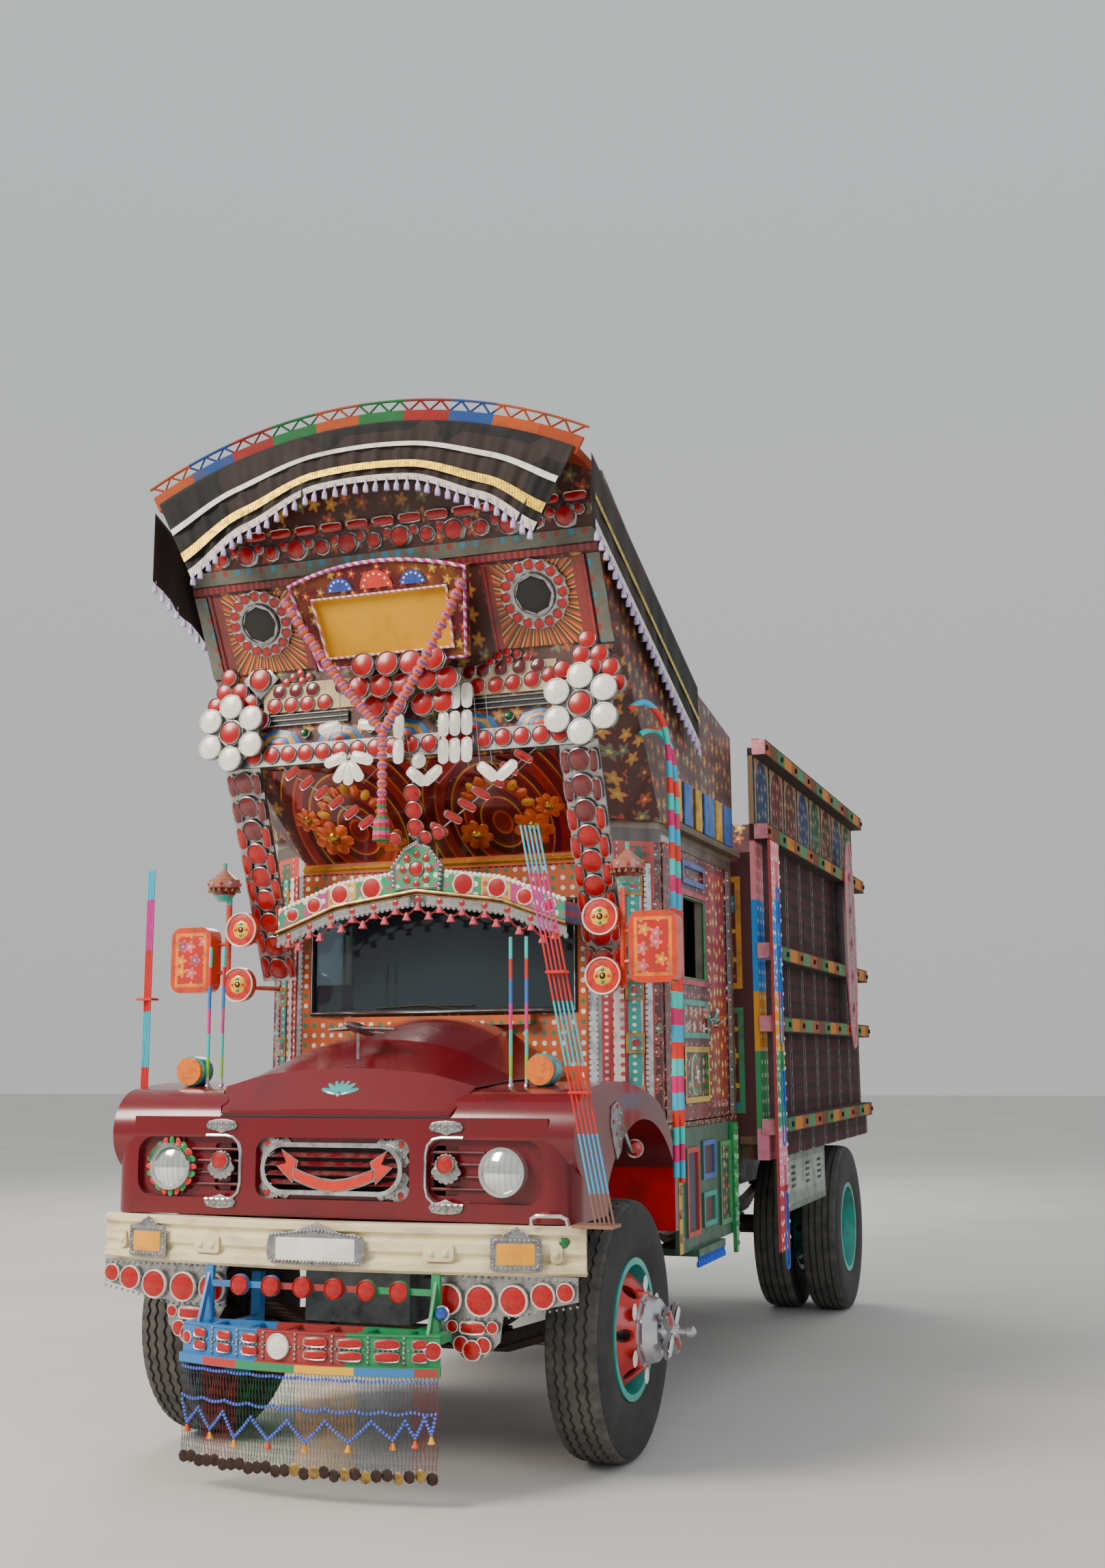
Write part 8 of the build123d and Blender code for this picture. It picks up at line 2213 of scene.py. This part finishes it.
gate_enamel = finish("gate_enamel", panels(((0.05, 0.700, 1.240, 1.880, "e0a02a", end_field),
                                            (0.820, 1.040, 1.240, 1.880, "2f8a7c", end_field)), "7c2426",
                                           flat="XZ", bar=0.030), "3a2a22", patch=0.12, grain=0.003,
                     rough=(0.35, 0.55), coat=0.15, bump=0.15, wear=(0.5, 0.85))
dress(gate_enamel, "tailgate")
bm = bmesh.new()
for x in (-0.76, 0.0, 0.76):
    for z in (1.260, 1.480, 1.700, 1.880):
        stamp(bm, BOLT_HEAD, at(x, 5.1545, z, 0.017, (0, 1, 0)), (0,))
for side in (1, -1):
    for i in range(6):
        stamp(bm, REFLECTOR, at(side * (0.14 + 0.10 * i), 5.1505, 1.905, 0.022, (0, 1, 0)), (1, 2))
    for i in range(5):
        stamp(bm, REFLECTOR, at(side * 0.930, 5.1505, 1.330 + 0.11 * i, 0.034, (0, 1, 0)), (1, 2))
make_piece("gate_fittings", bm, [bolt_black, pressed_tin, red_lens], "tailgate")


# ---- Skirts and step -----------------------------------------------------------------------
# Sheet-steel side panels under the door and the load: framed dark fields, a green bracket, a
# yellow post, blue tassels along the step, and a grey-green louvred panel behind.
# Brush enamel on steel, dusty from the road.
louvre_green = zones("Z", (0.85, 0.97), ("7c8a7c", "93a096", "7f8e82"))
skirt_enamel = finish("skirt_enamel", panels(((0.680, 0.740, 0.720, 1.270, "e0b41f", "d9a81c"),
                                              (0.800, 1.020, 0.780, 1.180, "c8342c", "1f2a48"),
                                              (1.090, 1.330, 0.800, 0.960, "1fa08c", "4a1c1e"),
                                              (1.090, 1.330, 1.020, 1.200, "2f6ab8", "4a1c1e"),
                                              (1.420, 1.640, 0.780, 1.180, "3d9a5c", green_field),
                                              (2.180, 3.490, 0.770, 1.050, "5c6a60", louvre_green)),
                                             "35604a"), "4a4438", patch=0.12, grain=0.003, rough=(0.35, 0.55),
                      coat=0.1, bump=0.12, wear=(0.45, 0.8))
dress(skirt_enamel, "side_skirts")
# Blue wool yarn, matt, on the step's tassels.
step_blue = finish("step_blue", "1f5ad8", "24408c", patch=0.02, grain=0.001, rough=(0.6, 0.8), bump=0.2)
bm = bmesh.new()
for side in (1, -1):
    for i in range(24):
        stamp(bm, TASSEL, shifted(side * 1.028, 0.912 + 0.0208 * i, 0.690) @ Matrix.Scale(0.8, 4), (0,))
    for i in range(5):
        stamp(bm, REFLECTOR, at(side * 1.0055, 0.710, 0.790 + 0.105 * i, 0.022, (side, 0, 0)), (1, 2))
    # The carved bracket: a tapered board under the door's edge, its leaves cut in pairs.
    board = bmesh.new()
    bmesh.ops.create_cube(board, size=1.0, matrix=sized(0.020, 0.100, 0.640))
    bmesh.ops.subdivide_edges(board, edges=[e for e in board.edges
                                            if abs(e.verts[0].co.z - e.verts[1].co.z) > 0.1], cuts=7)
    for vert in board.verts:
        share = 0.5 - vert.co.z / 0.640
        vert.co.y *= 1.0 - 0.62 * share ** 2 + 0.10 * sin(share * 19)
    stamp(bm, keep_shape("bracket_board", board), shifted(side * 1.0175, 1.690, 0.945), (3,))
    for i in range(13):
        reach = 0.036 * (1.0 - 0.55 * (i / 12) ** 2)
        for lean in (1, -1):
            leaf = at(side * 1.0275, 1.690 + lean * reach * 0.55, 1.235 - 0.047 * i, 1, (side, 0, 0),
                      lean * side * 38)
            stamp(bm, STUD, leaf @ sized(reach * 0.62, 0.013, 0.011), (4 if i % 2 else 3,))
# Pale green enamel on every other leaf.
leaf_pale = finish("leaf_pale", "7ccf8a", "3d6a4a", patch=0.04, grain=0.002, rough=(0.35, 0.5), coat=0.15)
make_piece("skirt_trim", bm, [step_blue, pressed_tin, red_lens, leaf_enamel, leaf_pale], "truck")


# ---- Running gear --------------------------------------------------------------------------
# Black painted frame rails and cast axles under road dust, forged steering parts with greased
# joints, leaf springs with rust along their edges, a grey engine and a red painted tank.
# Paint and bare iron under grit: rough, brown in patches; rods and shafts are rubbed bright.
frame_black = finish("frame_black", "1d1b1a", "54473a", patch=0.16, grain=0.004, rough=(0.45, 0.75), bump=0.3,
                     wear=(0.5, 0.85))
cast_iron = finish("cast_iron", "2b2826", "5a4838", patch=0.07, grain=0.003, rough=(0.5, 0.75), metal=0.4,
                   bump=0.5)
spring_rust = finish("spring_rust", repeat("Z", 0.012, ((0.0, "1a1614"), (0.2, "4a372b"), (0.7, "3a2d25"))),
                     "6a4630", patch=0.06, grain=0.003, rough=(0.5, 0.75), metal=0.5, bump=0.4)
engine_grey = finish("engine_grey", "5c6468", "2a2622", patch=0.10, grain=0.003, rough=(0.4, 0.65), coat=0.1,
                     bump=0.25)
core_black = finish("core_black", repeat("Z", 0.010, ((0.0, "0d0d0d"), (0.5, "2c2a28"))), "4a4238",
                    patch=0.05, grain=0.002, rough=(0.5, 0.7), bump=0.4)
tank_red = finish("tank_red", repeat("Y", 0.35, ((0.0, "8c2a26"), (0.93, "b9bbb8"))), "5a4436", patch=0.12,
                  grain=0.003, rough=(0.3, 0.5), coat=0.15, bump=0.1)
bright_steel = finish("bright_steel", "8c8a86", "4a4440", patch=0.05, grain=0.002, rough=(0.3, 0.45),
                      metal=0.9, bump=0.15)
dress(frame_black, "chassis_frame")
dress(cast_iron, "front_axle", "rear_axle", "tow_jaw", "knuckle_left", "knuckle_right")
dress(spring_rust, "leaf_springs")
dress(engine_grey, "engine_block")
dress(core_black, "radiator")
dress(tank_red, "fuel_tank")
dress(bright_steel, "propshaft", "track_rod")


# ---- Seats ---------------------------------------------------------------------------------
# Two bench seats: foam pads under maroon vinyl with pressed channels and cream piping, swollen
# by a cloth pressure run, on boxes of varnished timber.
CHANNEL_PITCH = 0.205
# Vinyl: soft satin with a fine leather grain, in bands a channel apart with painted shade where it folds; the
# piping is cream.
fold_shaded_vinyl = finish("seat_vinyl_fold_shade", repeat("X", CHANNEL_PITCH, ((0.0, "5c1218"), (0.45, "7a1a20"), (0.9, "5c1218"))),
               "3a1014", patch=0.08, grain=0.0012, rough=(0.35, 0.5), coat=0.1, bump=0.25)
piping_cream = finish("piping_cream", "d8cbb0", "8c7c62", patch=0.02, grain=0.001, rough=(0.4, 0.6), bump=0.1)
SWELL_FRAMES, SWELL_MOST, PAD_VOXEL = 20, 0.024, 0.014


def pad(name, low, high, rests):
    """A cushion swollen from a block; rests is the axis and side it lies flat on."""
    bm = bmesh.new()
    middle = (Vector(low) + Vector(high)) / 2
    size = Vector(high) - Vector(low) - Vector((0.030, 0.030, 0.030))
    bmesh.ops.create_cube(bm, size=1.0, matrix=Matrix.Translation(middle) @ sized(*size))
    bmesh.ops.bevel(bm, geom=bm.edges[:], offset=0.028, segments=3, profile=0.5, affect="EDGES", material=-1)
    bm.transform(HOME)
    mesh = bpy.data.meshes.new(name)
    bm.to_mesh(mesh)
    bm.free()
    piece = bpy.data.objects.new(name, mesh)
    bpy.context.scene.collection.objects.link(piece)
    even = piece.modifiers.new("even", "REMESH")
    even.mode, even.voxel_size = "VOXEL", PAD_VOXEL
    piece.data = bpy.data.meshes.new_from_object(piece.evaluated_get(bpy.context.evaluated_depsgraph_get()))
    piece.modifiers.clear()
    before = [v.co.copy() for v in piece.data.vertices]
    swell = piece.modifiers.new("swell", "CLOTH")
    swell.settings.use_pressure = True
    swell.settings.uniform_pressure_force = 4.0
    swell.settings.effector_weights.gravity = 0.0
    swell.settings.quality = 4
    for frame_number in range(1, SWELL_FRAMES + 1):
        bpy.context.scene.frame_set(frame_number)
    swollen = piece.evaluated_get(bpy.context.evaluated_depsgraph_get()).to_mesh()
    after = [v.co.copy() for v in swollen.vertices]
    piece.modifiers.clear()
    bpy.context.scene.frame_set(1)
    for v, old, new in zip(piece.data.vertices, before, after):
        moved = new - old
        v.co = old + moved * min(1.0, SWELL_MOST / max(moved.length, 1e-6))
    axis, side = rests
    for v in piece.data.vertices:
        # Channels pressed across the pad, and the flat face it rests on.
        groove = abs(((v.co.x - low[0]) / CHANNEL_PITCH + 0.5) % 1 - 0.5) * CHANNEL_PITCH
        press = 0.010 * max(0.0, 1 - groove / 0.020)
        if (v.co[axis] - middle[axis] - (AXLE_Y if axis == 1 else 0)) * side < 0:
            v.co[axis] += press * side
        limit = (low if side < 0 else high)[axis] + (AXLE_Y if axis == 1 else 0)
        v.co[axis] = max(v.co[axis], limit) if side < 0 else min(v.co[axis], limit)
    soft = piece.modifiers.new("soft", "SUBSURF")
    soft.levels = soft.render_levels = 1
    for face in piece.data.polygons:
        face.use_smooth = True
    piece.data.materials.clear()
    piece.data.materials.append(fold_shaded_vinyl)
    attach(piece, "truck")
    return piece


for side, x0, x1 in (("right", -0.880, -0.060), ("left", 0.060, 0.880)):
    pad("seat_cushion_" + side, (x0, 1.110, 1.305), (x1, 1.725, 1.445), (2, -1))
    pad("seat_back_" + side, (x0, 1.745, 1.460), (x1, 1.860, 2.005), (1, 1))
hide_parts("cab_seats")
bm = bmesh.new()
for x0, x1 in ((-0.880, -0.060), (0.060, 0.880)):
    box = bmesh.new()
    bmesh.ops.create_cube(box, size=1.0, matrix=sized(x1 - x0, 0.590, 0.275))
    bmesh.ops.inset_individual(box, faces=[f for f in box.faces if abs(f.normal.y) > 0.5], thickness=0.045,
                               depth=-0.012)
    bmesh.ops.bevel(box, geom=box.edges[:], offset=0.003, segments=1, profile=0.5, affect="EDGES",
                    material=-1)
    stamp(bm, keep_shape("seat_box", box), shifted((x0 + x1) / 2, 1.445, 1.1655), (0,))
    for z in (1.330, 1.425):
        rod(bm, [(x0 + 0.012, 1.122, z), (x1 - 0.012, 1.122, z), (x1 - 0.012, 1.700, z),
                 (x0 + 0.012, 1.700, z)], 0.0055, closed=True, paint=1, sides=6)
make_piece("seat_boxes", bm, [varnished_wood, piping_cream], "truck")
